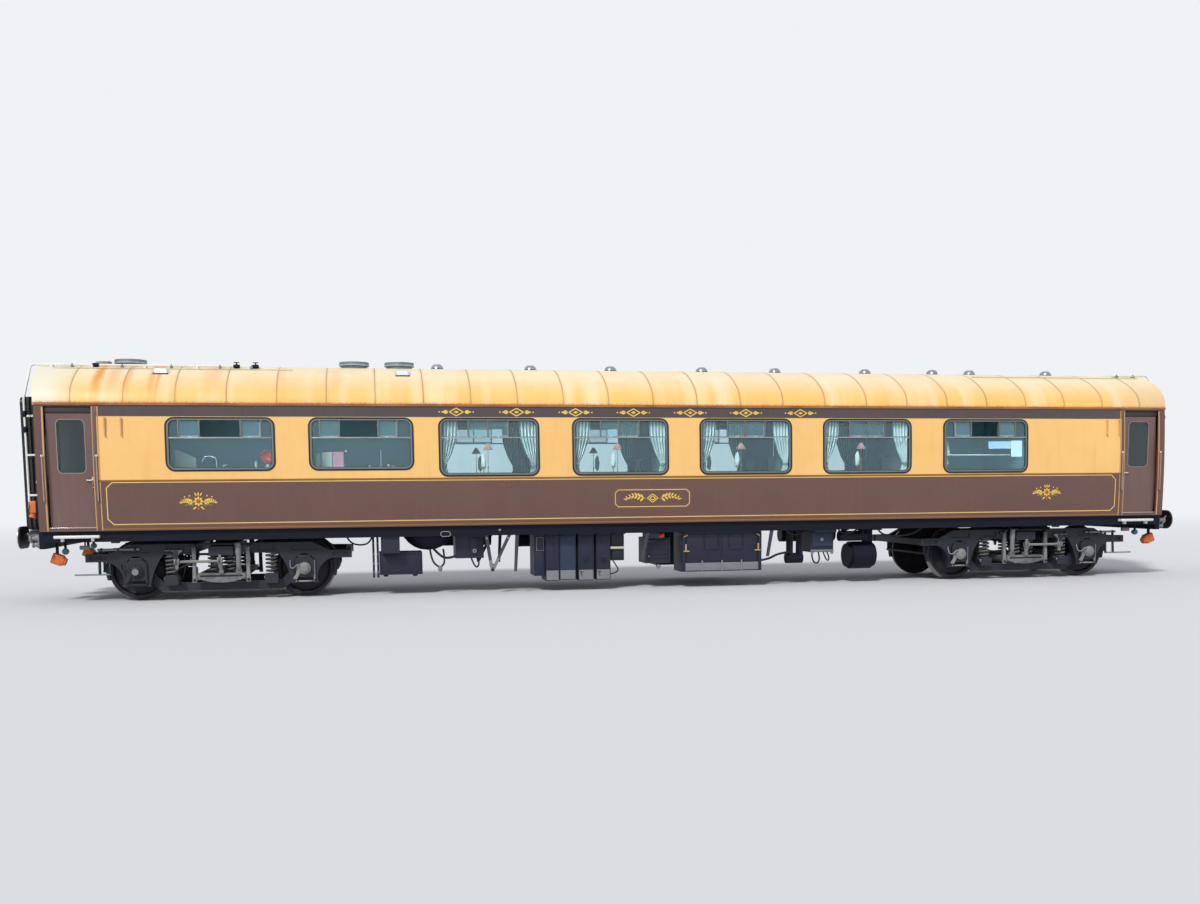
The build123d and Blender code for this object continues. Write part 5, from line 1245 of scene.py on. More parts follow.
# %% Sliding vents, their frames and catches
vent_alloy = painted("vent_alloy", (196, 200, 198), (104, 104, 96), 0.4, 0.15, 0.32, metallic=0.6, bump=0.05)
slider_depth, slider_edge = 0.03, 0.015
slide_by = 0.3
slider_panes, slider_frames = bmesh.new(), bmesh.new()
for side_name, side in sides:
    flat_panes, flat_frames = bmesh.new(), bmesh.new()
    for index, x in enumerate(window_x):
        bars = vent_bars[index]
        if len(bars) == 4 and side < 0:
            pairs = [(bars[1] - slide_by, bars[1] + 0.012), (bars[2] - 0.012, bars[2] + slide_by)]
        elif len(bars) == 4:
            middle = (bars[1] + bars[2]) / 2
            pairs = [(bars[1], middle + 0.01), (middle - 0.01, bars[2])]
        else:
            pairs = [(bars[0], bars[1] + 0.012), (bars[1] - 0.012, bars[2])]
        for low, high in pairs:
            low_x, high_x = x + low, x + high
            low_z, high_z = transom_z + 0.012, window_head - 0.034
            ring(flat_frames, side, low_x, high_x, low_z, high_z, slider_edge, 0.018)
            inset = slider_edge - 0.002
            outline(flat_panes, low_x + inset, high_x - inset, low_z + inset, high_z - inset)
    filled(flat_panes, side)
    for flat, target, depth, thickness in ((flat_panes, slider_panes, slider_depth + 0.003, 0.005),
                                           (flat_frames, slider_frames, slider_depth, 0.011)):
        slices(flat, "Z", [transom_z + 0.1, transom_z + 0.2])
        lay_inside(flat, side, depth, thickness)
        pour(target, flat)
for side_name, side in sides:
    for index, x in enumerate(window_x):
        out = wall_y(transom_z) + 0.004
        block(slider_frames, (x - window_half + 0.032, side * (out - 0.018), transom_z - 0.013),
              (x + window_half - 0.032, side * (out + 0.006), transom_z - 0.004), 0.003)
        for catch in (vent_bars[index][0] + 0.17, vent_bars[index][-1] - 0.17):
            rod(slider_frames, (x + catch - 0.022, side * out, transom_z + 0.006),
                (x + catch + 0.022, side * out, transom_z + 0.006), 0.006, 12, 0.002)
piece(slider_panes, "vent_panes", glass, slot="glass")
piece(slider_frames, "vent_frames", vent_alloy, slot="window_metal")

# %% [markdown]
# ## Curtains
# A curtain is a flat cloth that a heading tape gathers into pleats. The cloth keeps its width everywhere, so
# where the tie squeezes it the pleats grow deeper and not fewer. We lay a grid of that width and fold each
# row into a wave, and a short search finds the depth of the wave that uses up exactly the cloth's width.

# %% Pleated cloth
def pleat_depth(cloth_width, width, pleats):
    """Height of a wave whose line is as long as the cloth is wide, in a given width."""
    low, high = 0.0, cloth_width
    for _ in range(30):
        depth = (low + high) / 2
        points = [(width * t / 400, depth * sin(2 * pi * pleats * t / 400)) for t in range(401)]
        line = sum(sqrt((b[0] - a[0])**2 + (b[1] - a[1])**2) for a, b in zip(points, points[1:]))
        low, high = (depth, high) if line < cloth_width else (low, depth)
    return depth


def drape(bm, cloth_width, top_z, bottom_z, hem, side, depth_y, pleats, widths):
    """One curtain. The hem is where it hangs on the window's side, as a place and a direction inwards.
    Widths are pairs of a share of the drop and the width that the cloth is gathered to there."""
    rows, columns = 26, pleats * 16
    bm.loops.layers.uv.new("UVMap")
    made = bmesh.ops.create_grid(bm, x_segments=columns, y_segments=rows, size=0.5, calc_uvs=True)["verts"]
    shares, sizes = zip(*widths)
    table = {}
    for vert in made:
        share = round(0.5 - vert.co.y, 4)
        if share not in table:
            width = float(np.interp(share, shares, sizes))
            table[share] = width, pleat_depth(cloth_width, width, pleats)
        width, depth = table[share]
        across = vert.co.x + 0.5
        wave = sin(2 * pi * pleats * across + 0.5 * sin(3 * share)) + 0.18 * sin(4 * pi * across + 5 * share)
        x = hem[0] + hem[1] * width * across
        vert.co = Vector((x, side * (depth_y + depth * wave), top_z + (bottom_z - top_z) * share))
    return made


curtain_y = wall_y(rail + 2.4) - wall_thickness - 0.042
tie_cloth = woven("tie_cloth", (60, 104, 120), (120, 160, 160), bump=0.3, Roughness=0.85, Sheen_Weight=0.2)
curtain_widths = ((0.0, 0.29), (0.35, 0.27), (0.62, 0.185), (0.8, 0.095), (0.86, 0.085), (1.0, 0.125))
cloth_width, pleats = 0.52, 5
curtain_top, curtain_bottom = window_head + 0.012, saloon_sill + 0.012
ties = bmesh.new()
for side_name, side in sides:
    for index in (2, 3, 4, 5):
        for edge_name, edge in (("left", -1), ("right", 1)):
            bm = bmesh.new()
            hem_x = window_x[index] + edge * (window_half - 0.016)
            drape(bm, cloth_width, curtain_top, curtain_bottom, (hem_x, -edge), side, curtain_y, pleats,
                  curtain_widths)
            outwards(bm)
            name = f"curtain_{side_name}_{index - 1}_{edge_name}"
            curtain = piece(bm, name, curtain_cloth, slot="curtain_cloth", smooth=60,
                            stands_for=["curtains"])
            tie_z = curtain_top + (curtain_bottom - curtain_top) * 0.84
            turned(ties, (hem_x - edge * 0.045, side * curtain_y, tie_z), (0, 0, 1),
                   [(-0.018, 0.05), (-0.014, 0.054), (0.014, 0.054), (0.018, 0.05), (0.0, 0.047),
                    (-0.018, 0.05)], 24)
piece(ties, "curtain_ties", tie_cloth, slot="curtain_cloth")

# %% The small curtain and the cards in the last window
bm = bmesh.new()
small_top, small_bottom, small_width = rail + 2.535, rail + 2.02, 0.21
small_widths = ((0.0, 0.03), (0.3, 0.085), (0.55, 0.105), (0.64, 0.06), (0.7, 0.055), (0.85, 0.09),
                (1.0, 0.05))
drape(bm, small_width, small_top, small_bottom, (window_x[6] - 0.735, 1), -1, curtain_y - 0.02, 5,
      small_widths)
outwards(bm)
net_cloth = woven("net_cloth", (226, 230, 222), (170, 186, 186), bump=0.3, Roughness=0.9, Sheen_Weight=0.2)
small_curtain = piece(bm, "curtain_small", net_cloth, slot="curtain_cloth", smooth=60)

card_white = painted("card_white", (226, 238, 240), (170, 180, 186), 0.15, 0.0, 0.6, bump=0.02)
card_blue = painted("card_blue", (176, 206, 236), (200, 216, 230), 0.5, 0.0, 0.6, bump=0.02)
for name, finish, low_x, high_x, low_z, high_z in (
        ("card_white", card_white, 6.603, 6.818, rail + 2.2, rail + 2.488),
        ("card_blue", card_blue, 6.16, 6.598, rail + 2.345, rail + 2.475)):
    bm = bmesh.new()
    outline(bm, low_x, high_x, low_z, high_z, 0.01)
    filled(bm, -1)
    lay_inside(bm, -1, pane_depth + pane_thickness + 0.001, 0.0015)
    piece(bm, name, finish, slot="curtain_cloth")
bm = bmesh.new()
rod(bm, (window_x[6] - 0.7, -1.235, rail + 2.236), (window_x[6] + 0.5, -1.235, rail + 2.236), 0.011, 16)
for x in (window_x[6] - 0.69, window_x[6] + 0.49):
    rod(bm, (x, -1.235, rail + 2.236), (x, -1.3, rail + 2.236), 0.014, 16)
piece(bm, "window_rail", white_steel, slot="white_metal")

# %% [markdown]
# ## In the kitchen
# Through the first two windows one sees a worktop with a few things on it, against a plain painted wall.
# They are small, but a bare room would look like a model. Round things are turned, boards are thin blocks,
# and the tap is a bent tube.

# %% Kitchen things
worktop = floor_top + 0.9
chrome = painted("chrome", (226, 230, 232), None, 0.1, 0.0, 0.12, metallic=1.0)
board_white = painted("board_white", (214, 216, 200), (170, 164, 140), 0.3, 0.1, 0.55, bump=0.05)
board_pink = painted("board_pink", (244, 170, 190), (220, 140, 160), 0.3, 0.1, 0.55, bump=0.05)
red_enamel = painted("red_enamel", (226, 44, 40), (150, 40, 36), 0.15, 0.0, 0.22, bump=0.03, Coat_Weight=0.5)
bm = bmesh.new()
tap_y = -0.96
hose(bm, [(-7.11, tap_y, worktop), (-7.11, tap_y, worktop + 0.11), (-7.12, tap_y, worktop + 0.185),
          (-7.21, tap_y, worktop + 0.215), (-7.31, tap_y, worktop + 0.19), (-7.325, tap_y, worktop + 0.12)],
     0.013, 4, 10)
turned(bm, (-7.11, tap_y, worktop), (0, 0, 1), [(0.001, 0.0), (0.001, 0.032), (0.012, 0.03), (0.02, 0.02),
       (0.05, 0.018), (0.055, 0.0)], 28)
rod(bm, (-7.02, tap_y, worktop + 0.045), (-6.94, tap_y, worktop + 0.075), 0.008, 14, 0.002)
rod(bm, (-4.52, -0.9, worktop), (-4.52, -0.9, worktop + 0.3), 0.012, 20, 0.002)
turned(bm, (-4.52, -0.9, worktop), (0, 0, 1), [(0.001, 0.0), (0.001, 0.05), (0.01, 0.046), (0.02, 0.0)], 28)
piece(bm, "kitchen_taps", chrome, slot="kitchen_steel")
bm = bmesh.new()
block(bm, (-7.765, -0.78, worktop + 0.003), (-7.445, -0.76, worktop + 0.33), 0.008, 3)
for vert in bm.verts:
    vert.co.z -= (vert.co.x + 7.765) * 0.45 * (1 if vert.co.z > worktop + 0.15 else 0)
block(bm, (-5.47, -1.01, worktop + 0.002), (-5.3, -0.985, worktop + 0.265), 0.012, 3)
block(bm, (-5.56, -0.96, worktop + 0.002), (-5.49, -0.94, worktop + 0.245), 0.01, 3)
for x, radius, height in ((-6.315, 0.034, 0.08), (-4.7, 0.024, 0.05), (-4.4, 0.022, 0.06),
                          (-4.33, 0.02, 0.045), (-6.5, 0.022, 0.12)):
    turned(bm, (x, -0.95, worktop), (0, 0, 1), [(0.001, 0.0), (0.001, radius * 0.8), (0.008, radius),
           (height, radius * 0.95), (height, radius * 0.8), (0.012, radius * 0.78), (0.012, 0.0)], 24)
piece(bm, "kitchen_boards", board_white, slot="kitchen_steel")
bm = bmesh.new()
block(bm, (-5.29, -1.0, worktop + 0.002), (-5.115, -0.975, worktop + 0.27), 0.012, 3)
rod(bm, (-5.09, -0.988, worktop + 0.262), (-5.06, -0.988, worktop + 0.285), 0.022, 16, 0.006)
piece(bm, "kitchen_pink_board", board_pink, slot="kitchen_steel")
bm = bmesh.new()
turned(bm, (-6.33, -0.93, worktop + 0.195), (0, -1, 0.1),
       [(0.0, 0.0), (0.0, 0.052), (0.018, 0.08), (0.046, 0.098), (0.05, 0.102), (0.05, 0.094),
        (0.022, 0.074), (0.006, 0.045), (0.006, 0.0)], 40)
block(bm, (-6.36, -0.93, worktop + 0.001), (-6.3, -0.9, worktop + 0.18), 0.006)
piece(bm, "kitchen_red_bowl", red_enamel, slot="kitchen_steel")

# %% [markdown]
# ## Table lamps and laid tables
# Each table has a brass lamp with a pleated silk shade, and beside it a napkin folded tall in a glass. Base,
# stem and glass are turned. A shade is turned too, and then every other rib is pushed in to make its pleats.

# %% Lamps
table_top = floor_top + 0.74
saloon_tables = window_x[2:6]
lining_y, shade_ribs = 1.29, 64
lamp_y = lining_y - 0.21
shade_silk = woven("shade_silk", (240, 178, 156), (222, 150, 128), bump=0.3, Roughness=0.8, Sheen_Weight=0.3)
napkin_cloth = woven("napkin_cloth", (238, 244, 238), (206, 222, 218), bump=0.2, Roughness=0.9)
stands, shades, glasses, napkins = bmesh.new(), bmesh.new(), bmesh.new(), bmesh.new()
for x in saloon_tables:
    for side in (-1, 1):
        turned(stands, (x, side * lamp_y, table_top), (0, 0, 1),
               [(0.001, 0.0), (0.001, 0.058), (0.006, 0.06), (0.012, 0.054), (0.018, 0.034), (0.03, 0.02),
                (0.06, 0.01), (0.15, 0.006), (0.16, 0.012), (0.172, 0.012), (0.182, 0.006), (0.47, 0.005),
                (0.48, 0.01), (0.5, 0.01), (0.556, 0.005), (0.56, 0.0)], 24)
        made = bmesh.new()
        turned(made, (x, side * lamp_y, table_top), (0, 0, 1),
               [(0.455, 0.081), (0.452, 0.083), (0.455, 0.084), (0.505, 0.054), (0.556, 0.022),
                (0.558, 0.02), (0.556, 0.018), (0.505, 0.05), (0.455, 0.081)], shade_ribs)
        for vert in made.verts:
            away = Vector((vert.co.x - x, vert.co.y - side * lamp_y, 0))
            if round(atan2(away.y, away.x) / (2 * pi / shade_ribs)) % 2:
                vert.co -= away * 0.05
        pour(shades, made)
        glass_place = (x + 0.075 * side, side * (lamp_y + 0.02), table_top)
        turned(glasses, glass_place, (0, 0, 1),
               [(0.001, 0.0), (0.001, 0.034), (0.004, 0.033), (0.01, 0.006), (0.12, 0.005), (0.14, 0.016),
                (0.152, 0.03), (0.176, 0.034), (0.176, 0.032), (0.154, 0.028), (0.145, 0.012), (0.13, 0.0)],
               28)
        turned(napkins, glass_place, (0, 0, 1),
               [(0.15, 0.0), (0.158, 0.022), (0.18, 0.04), (0.29, 0.043), (0.345, 0.036), (0.4, 0.016),
                (0.412, 0.0)], 16)
for vert in napkins.verts:
    vert.co.x += 0.006 * sin(38 * vert.co.z)
outwards(shades)
lamp_node = ["table_lamps"]
piece(stands, "lamp_stands", lamp_brass, slot="lamp_brass", stands_for=lamp_node)
piece(shades, "lamp_shades", shade_silk, slot="curtain_cloth", smooth=60, stands_for=lamp_node)
piece(glasses, "table_glasses", chrome, slot="glass")
piece(napkins, "napkins", napkin_cloth, slot="curtain_cloth", smooth=70)

# %% [markdown]
# ## Dining chairs
# The seats and backs are sprung and buttoned upholstery. A cushion begins as a cube that is cut into a grid.
# Its large faces are crowned, its sides pulled in between the corners, and channels are sewn across it. A
# wooden frame carries it.

# %% Cushions
def cushion(bm, place, size, crown, channels=0, cuts=9):
    """A crowned pad of a size, set by a matrix. Channels are sewn lines that run across its height."""
    made = bmesh.new()
    bmesh.ops.create_cube(made, size=1)
    bmesh.ops.subdivide_edges(made, edges=made.edges[:], cuts=cuts, use_grid_fill=True)
    for vert in made.verts:
        u, v, w = vert.co
        arch = cos(pi * u) * cos(pi * v)
        pull = 1 - 0.1 * (1 - abs(2 * w)) - 0.03 * cos(pi * u) * cos(pi * v)
        sewn = 0.5 + 0.5 * cos(2 * pi * channels * (v + 0.5)) if channels else 0
        rise = crown * (arch**0.5 if arch > 0 else 0) - 0.25 * crown * sewn
        corner = 1 - 0.06 * (abs(2 * u) ** 6 + abs(2 * v) ** 6) / 2
        vert.co = Vector((u * size[0] * pull * corner, v * size[1] * pull * corner,
                          w * size[2] + (rise if w > 0 else -rise) * abs(2 * w)))
    bmesh.ops.transform(made, matrix=place, verts=made.verts[:])
    pour(bm, made)


seat_top = floor_top + 0.455
chair_rows = ((-1, 0.62, 1.12), (1, 0.33, 0.5))
seats, backs, frames = bmesh.new(), bmesh.new(), bmesh.new()
for x in saloon_tables:
    for side, from_wall, width in chair_rows:
        for facing in (-1, 1):
            middle = Vector((x + facing * 0.69, side * (lining_y - from_wall), 0))
            seat_place = Matrix.Translation(middle + Vector((-facing * 0.07, 0, seat_top - 0.085)))
            cushion(seats, seat_place, (0.35, width - 0.06, 0.08), 0.016)
            tipped = Matrix.Rotation(facing * radians(84), 4, "Y")
            back_place = Matrix.Translation(middle + Vector((facing * 0.18, 0, floor_top + 0.77))) @ tipped
            cushion(backs, back_place, (0.62, width - 0.05, 0.07), 0.014, channels=round(width / 0.25))
            for across in (-0.5, 0.5):
                y = middle.y + across * (width - 0.06)
                for leg, reach in ((-0.19, 0), (0.195, 0.03)):
                    foot = (middle.x + facing * (leg + reach), y, floor_top + 0.001)
                    rod(frames, foot, (middle.x + facing * leg, y, seat_top - 0.15), 0.016, 12, 0.002,
                        end_radius=0.022)
                rod(frames, (middle.x + facing * 0.155, y, seat_top - 0.15),
                    (middle.x + facing * 0.235, y, floor_top + 1.09), 0.018, 12, 0.004)
            block(frames, (middle.x - facing * 0.235, middle.y - width / 2 + 0.01, seat_top - 0.15),
                  (middle.x + facing * 0.165, middle.y + width / 2 - 0.01, seat_top - 0.12), 0.006)
chair_node = ["chairs"]
for name, bm in (("seat_cushions", seats), ("back_cushions", backs)):
    outwards(bm)
    cushions = piece(bm, name, seat_cloth, slot="seat_cloth", smooth=70, stands_for=chair_node)
piece(frames, "chair_frames", table_wood, slot="joinery", stands_for=chair_node)

# %% [markdown]
# ## Ornaments
# The coach side carries painted ornaments. These are of a general kind, as sign painters have always drawn
# them: a rosette between two leaf sprays, a lozenge between dots. Each leaf is a circle pressed flat and
# turned, and the flat drawing is then laid on the curved side.

# %% Leaves, rosettes and lozenges
def leaf(bm, x, z, length, width, angle):
    """A flat pointed leaf in the plane of X and Z. Its foot is at x and z."""
    made = bmesh.ops.create_circle(bm, cap_ends=True, segments=12, radius=0.5)["verts"]
    for vert in made:
        along, across = vert.co.x + 0.5, vert.co.y
        taper = sin(pi * min(along, 1.0)) ** 0.4 if 0 < along < 1 else 0.0
        reach, spread = along * length, across * width * taper
        vert.co = Vector((x + reach * cos(angle) - spread * sin(angle), 0,
                          z + reach * sin(angle) + spread * cos(angle)))


def dot(bm, x, z, radius, sides=16):
    """A flat disc in the plane of X and Z."""
    bmesh.ops.create_circle(bm, cap_ends=True, segments=sides, radius=radius,
                            matrix=Matrix.Translation((x, 0, z)) @ Matrix.Rotation(pi / 2, 4, "X"))


def stem(bm, points, width):
    """A flat ribbon that follows points of the plane."""
    for (low_x, low_z), (high_x, high_z) in zip(points, points[1:]):
        away = Vector((high_z - low_z, 0, low_x - high_x)).normalized() * width / 2
        first, last = Vector((low_x, 0, low_z)), Vector((high_x, 0, high_z))
        bm.faces.new([bm.verts.new(place) for place in (first - away, last - away, last + away,
                                                        first + away)])


def lozenge(x, z, half, tall):
    """Corners of a lozenge in the plane of X and Z, closed."""
    return [(x - half, z), (x, z + tall), (x + half, z), (x, z - tall), (x - half, z)]


def spray(bm, x, z, hand, length, count, leaf_length):
    """A curved stem with leaves in pairs that grow shorter towards its tip."""
    points = [(x + hand * length * t / 8, z + 0.16 * length * sin(pi * t / 8)) for t in range(9)]
    stem(bm, points, 0.006)
    for step in range(count):
        t = (step + 0.6) / count
        place_x = x + hand * length * t
        place_z = z + 0.16 * length * sin(pi * t)
        size = leaf_length * (1.05 - 0.5 * t)
        for lift in (0.85, -0.75):
            angle = lift if hand > 0 else pi - lift
            leaf(bm, place_x, place_z, size, size * 0.42, angle)
    leaf(bm, x + hand * length, z, leaf_length * 0.6, leaf_length * 0.22, 0 if hand > 0 else pi)


gold_leaf = painted("gold_leaf", (246, 206, 92), (190, 128, 44), 0.5, 0.0, 0.32, metallic=0.3, bump=0.05)
leaf_green = painted("leaf_green", (128, 140, 60), (84, 96, 40), 0.3, 0.0, 0.4, bump=0.05)
rose_red = painted("rose_red", (196, 74, 48), (140, 50, 36), 0.3, 0.0, 0.4, bump=0.05)
ornament_x, ornament_z = (-7.355, 7.32), rail + 1.56
letter_z, cartouche_x = rail + 2.962, -0.03
for side_name, side in sides:
    gold, green, red = bmesh.new(), bmesh.new(), bmesh.new()
    for x in ornament_x:
        for hand in (-1, 1):
            spray(gold, x + hand * 0.07, ornament_z - 0.018, hand, 0.185, 6, 0.062)
            spray(green, x + hand * 0.06, ornament_z - 0.062, hand, 0.13, 4, 0.044)
            for reach, lift in ((0.13, 0.086), (0.205, 0.07)):
                dot(gold, x + hand * reach, ornament_z + lift, 0.011)
            leaf(gold, x + hand * 0.03, ornament_z - 0.08, 0.075, 0.026, -pi / 2 + hand * 0.85)
        for petal in range(8):
            angle = petal * pi / 4
            leaf(gold, x + 0.026 * cos(angle), ornament_z + 0.026 * sin(angle), 0.052, 0.034, angle)
        for tip in (-0.5, 0, 0.5):
            leaf(gold, x + 0.05 * tip, ornament_z + 0.082, 0.062, 0.024, pi / 2 - tip)
        leaf(red, x, ornament_z - 0.082, 0.06, 0.036, -pi / 2)
        dot(red, x, ornament_z, 0.02)
    for step in range(7):
        x, half, tall = -3.3 + step * 0.985, 0.115, 0.062
        stem(gold, lozenge(x, letter_z, half, tall), 0.017)
        heart = lozenge(x, letter_z, half * 0.36, tall * 0.36)[:4]
        gold.faces.new([gold.verts.new((corner_x, 0, corner_z)) for corner_x, corner_z in heart])
        for hand in (-1, 1):
            for lift in (-0.35, 0, 0.35):
                leaf(gold, x + hand * (half + 0.016), letter_z, 0.115 - abs(lift) * 0.12, 0.034,
                     lift if hand > 0 else pi - lift)
            dot(gold, x + hand * (half + 0.16), letter_z, 0.012)
    for hand in (-1, 1):
        spray(gold, cartouche_x + hand * 0.125, rail + 1.52, hand, 0.33, 6, 0.085)
    for half, tall in ((0.095, 0.07), (0.05, 0.036)):
        stem(gold, lozenge(cartouche_x, rail + 1.532, half, tall), 0.014)
    for name, bm, finish, proud in (("gold", gold, gold_leaf, 0.0024), ("green", green, leaf_green, 0.0018),
                                    ("red", red, rose_red, 0.0028)):
        lay_on_wall(bm, side, proud, 0.0006)
        piece(bm, f"ornaments_{name}_{side_name}", finish, slot="body_paint", smooth=20)

# %% [markdown]
# ## Under the floor
# Boxes, straps, handles and pipes hang in the shadow below the solebar. What one sees there is the outline
# and the dust on the lower edges, so each box gets its door lines, its handles and a dusty bottom panel.
# Most of these are plates cut to an outline, which is one face that is extruded and has its rim rounded.
# The helpers here take places as one measures them on the coach: along it, outwards and above the rail.

# %% Plates and bars that are placed above the rail
upright, lengthwise, outward = (0, 0, 1), (1, 0, 0), (0, 1, 0)


def spot(x, y, z):
    """A point on the side that is being fitted, with its height above the rail."""
    return (x, side * y, rail + z)


def bar(bm, start, end, *settings):
    """A rod between two such points."""
    rod(bm, spot(*start), spot(*end), *settings)


def run(bm, points, *settings):
    """A pipe or hose through such points."""
    hose(bm, [spot(*point) for point in points], *settings)


def lathe(bm, place, profile, steps, axis=outward):
    """A turned shape at such a point."""
    turned(bm, spot(*place), (axis[0], side * axis[1], axis[2]), profile, steps)


def plate(bm, points, inner, outer, radius=0.0, edge=0.002):
    """A plate cut to an outline, between two distances from the middle of the coach."""
    verts = [bm.verts.new(spot(x, inner, z)) for x, z in points]
    bm.faces.new(verts)
    if radius:
        verts = bmesh.ops.bevel(bm, geom=verts, offset=radius, affect="VERTICES", segments=4, profile=0.5,
                                material=-1)["verts"]
    face = next(face for vert in verts for face in vert.link_faces)
    made = bmesh.ops.extrude_face_region(bm, geom=[face])["geom"]
    lifted = verts_of(made)
    bmesh.ops.translate(bm, verts=lifted, vec=(0, side * (outer - inner), 0))
    top = next(item for item in made if isinstance(item, bmesh.types.BMFace))
    grown = {near for vert in lifted for near in vert.link_faces} | {face}
    bmesh.ops.recalc_face_normals(bm, faces=list(grown))
    if edge:
        bmesh.ops.bevel(bm, geom=list(top.edges), offset=edge, affect="EDGES", segments=2, profile=0.5,
                        material=-1)


def panel(bm, low_x, high_x, low_z, high_z, *settings):
    """A rectangular plate."""
    plate(bm, [(low_x, low_z), (high_x, low_z), (high_x, high_z), (low_x, high_z)], *settings)


def tapered(bm, x, low_half, low_z, high_half, high_z, *settings):
    """A plate that is wider at one end, with half its width at its foot and at its top."""
    plate(bm, [(x - low_half, low_z), (x + low_half, low_z), (x + high_half, high_z),
               (x - high_half, high_z)], *settings)


def beside(x, hand, corners, height=0.0):
    """Corners of a shape, measured from x towards one hand and from a height."""
    return [(x + hand * reach, height + lift) for reach, lift in corners]


def bolt(bm, x, y, z, size=0.011):
    """A six-sided bolt head on an upright face."""
    bar(bm, (x, y, z), (x, y + size * 0.8, z), size, 6, 0.001)


dusty_panel = dusty("dusty_panel", (122, 126, 130), (158, 158, 154), 0.8, 0.4, 0.75, bump=0.3, edge=0.003)
pale_bolt = dusty("pale_bolt", (150, 150, 148), (196, 190, 176), 0.7, 1.0, 0.5, metallic=0.3, bump=0.1)
blue_box = dusty("blue_box", (30, 44, 70), (70, 84, 104), 0.5, 0.8, 0.5, bump=0.2, edge=0.003)
door_gap = 0.0003
dark, pale, blue, brassy, bolts = (bmesh.new() for count in range(5))

# %% Cabinets, their doors and handles
# columns: left end, right end, underside, face
cabinets = ((-2.02, -1.84, 0.235, 1.06), (-1.83, -1.6, 0.15, 1.1), (-1.59, -1.31, 0.16, 1.09),
            (-1.27, -1.0, 0.145, 1.1), (-0.96, -0.71, 0.15, 1.1))
grip = ((-0.028, -0.002, 0.56), (-0.028, 0.016, 0.545), (-0.028, 0.018, 0.445), (0, 0.018, 0.425),
        (0.028, 0.018, 0.445), (0.028, 0.016, 0.545), (0.028, -0.002, 0.56))
side, inset, split_z = -1, 0.012, 0.325
for index, (low_x, high_x, low_z, face) in enumerate(cabinets):
    inner, outer, middle = face + door_gap, face + 0.01, (low_x + high_x) / 2
    if index == 0:
        panel(dark, low_x + inset, high_x - inset, low_z + 0.02, 0.64, inner, outer, 0.01)
        panel(pale, low_x + 0.036, high_x - 0.012, 0.66, 0.89, inner, outer, 0.006)
        panel(dark, low_x + 0.05, high_x - 0.022, 0.67, 0.875, outer + door_gap, outer + 0.005, 0.006)
        continue
    panel(blue if index == 2 else dark, low_x + inset, high_x - inset, split_z + 0.006, 0.915, inner, outer,
          0.008)
    panel(pale, low_x + inset, high_x - inset, low_z + 0.012, split_z, inner, outer + 0.004, 0.006, 0.003)
    if index > 2:
        run(dark, [(middle + x, outer + y, z) for x, y, z in grip], 0.007, 2, 8)
        bar(dark, (low_x + 0.03, face + 0.008, 0.31), (low_x + 0.062, face + 0.022, 0.225), 0.007, 10, 0.001)
        bar(dark, (low_x + 0.028, face + 0.018, 0.305), (low_x + 0.085, face + 0.018, 0.285), 0.006, 10,
            0.001)
    if index == 1:
        for z in (0.46, 0.56, 0.66, 0.76, 0.86):
            bar(dark, (middle + 0.02, outer + 0.006, z - 0.022), (middle + 0.02, outer + 0.006, z + 0.022),
                0.009, 12, 0.002)
    for z in (0.38, 0.62, 0.86):
        for x in (low_x + 0.022, high_x - 0.022):
            bolt(dark, x, outer, z, 0.008)

# %% The battery box
battery_low, battery_high, face = 0.525, 1.97, 1.18
tray_low, tray_high, door_half, skin = 0.272, 0.405, 0.128, face + 0.0083
middle = (battery_low + battery_high) / 2
corner_plate = ((-0.04, 0), (0.065, 0), (0.065, 0.02), (0.012, 0.026), (0.012, 0.13), (-0.012, 0.13),
                (-0.012, 0.02), (-0.04, 0.02))
top_plate = ((-0.03, 0), (0.03, 0.03), (0.03, 0.055), (-0.03, 0.022))
for side in (-1, 1):
    edges = np.linspace(battery_low + 0.012, battery_high - 0.012, 5)
    for low_x, high_x in zip(edges, edges[1:]):
        panel(pale, low_x + 0.006, high_x - 0.006, tray_low, tray_high, face + door_gap, face + 0.012, 0.006,
              0.004)
    for x in edges[1:-1]:
        tapered(pale, x, 0.016, tray_low - 0.008, 0.012, tray_high + 0.04, face + door_gap, face + 0.022,
                0.0, 0.003)
    for low_x, high_x in ((battery_low + 0.085, middle - 0.006), (middle + 0.006, battery_high - 0.085)):
        panel(dark, low_x, high_x, tray_high + 0.012, 0.905, face + door_gap, face + 0.008, 0.008)
    for x in (battery_low + 0.035, battery_high - 0.035):
        panel(dark, x - 0.027, x + 0.027, tray_low, 0.915, face + door_gap, face + 0.024, 0.004)
    for x in (1.06, 1.5):
        for rib_x in (x - door_half, x + door_half):
            panel(dark, rib_x - 0.006, rib_x + 0.006, 0.69, 0.895, skin, face + 0.022, 0.0, 0.002)
        panel(dark, x - door_half, x + door_half, 0.645, 0.69, skin, face + 0.03, 0.01, 0.003)
        bar(dark, (x - door_half + 0.02, face + 0.03, 0.64), (x + door_half - 0.02, face + 0.03, 0.64),
            0.008, 12, 0.002)
    for x, hand in ((battery_low + 0.07, 1), (battery_high - 0.07, -1)):
        plate(brassy, beside(x, hand, corner_plate, 0.6), face + 0.0245, face + 0.032)
        plate(brassy, beside(x, hand, top_plate, 0.85), face + 0.0245, face + 0.031)

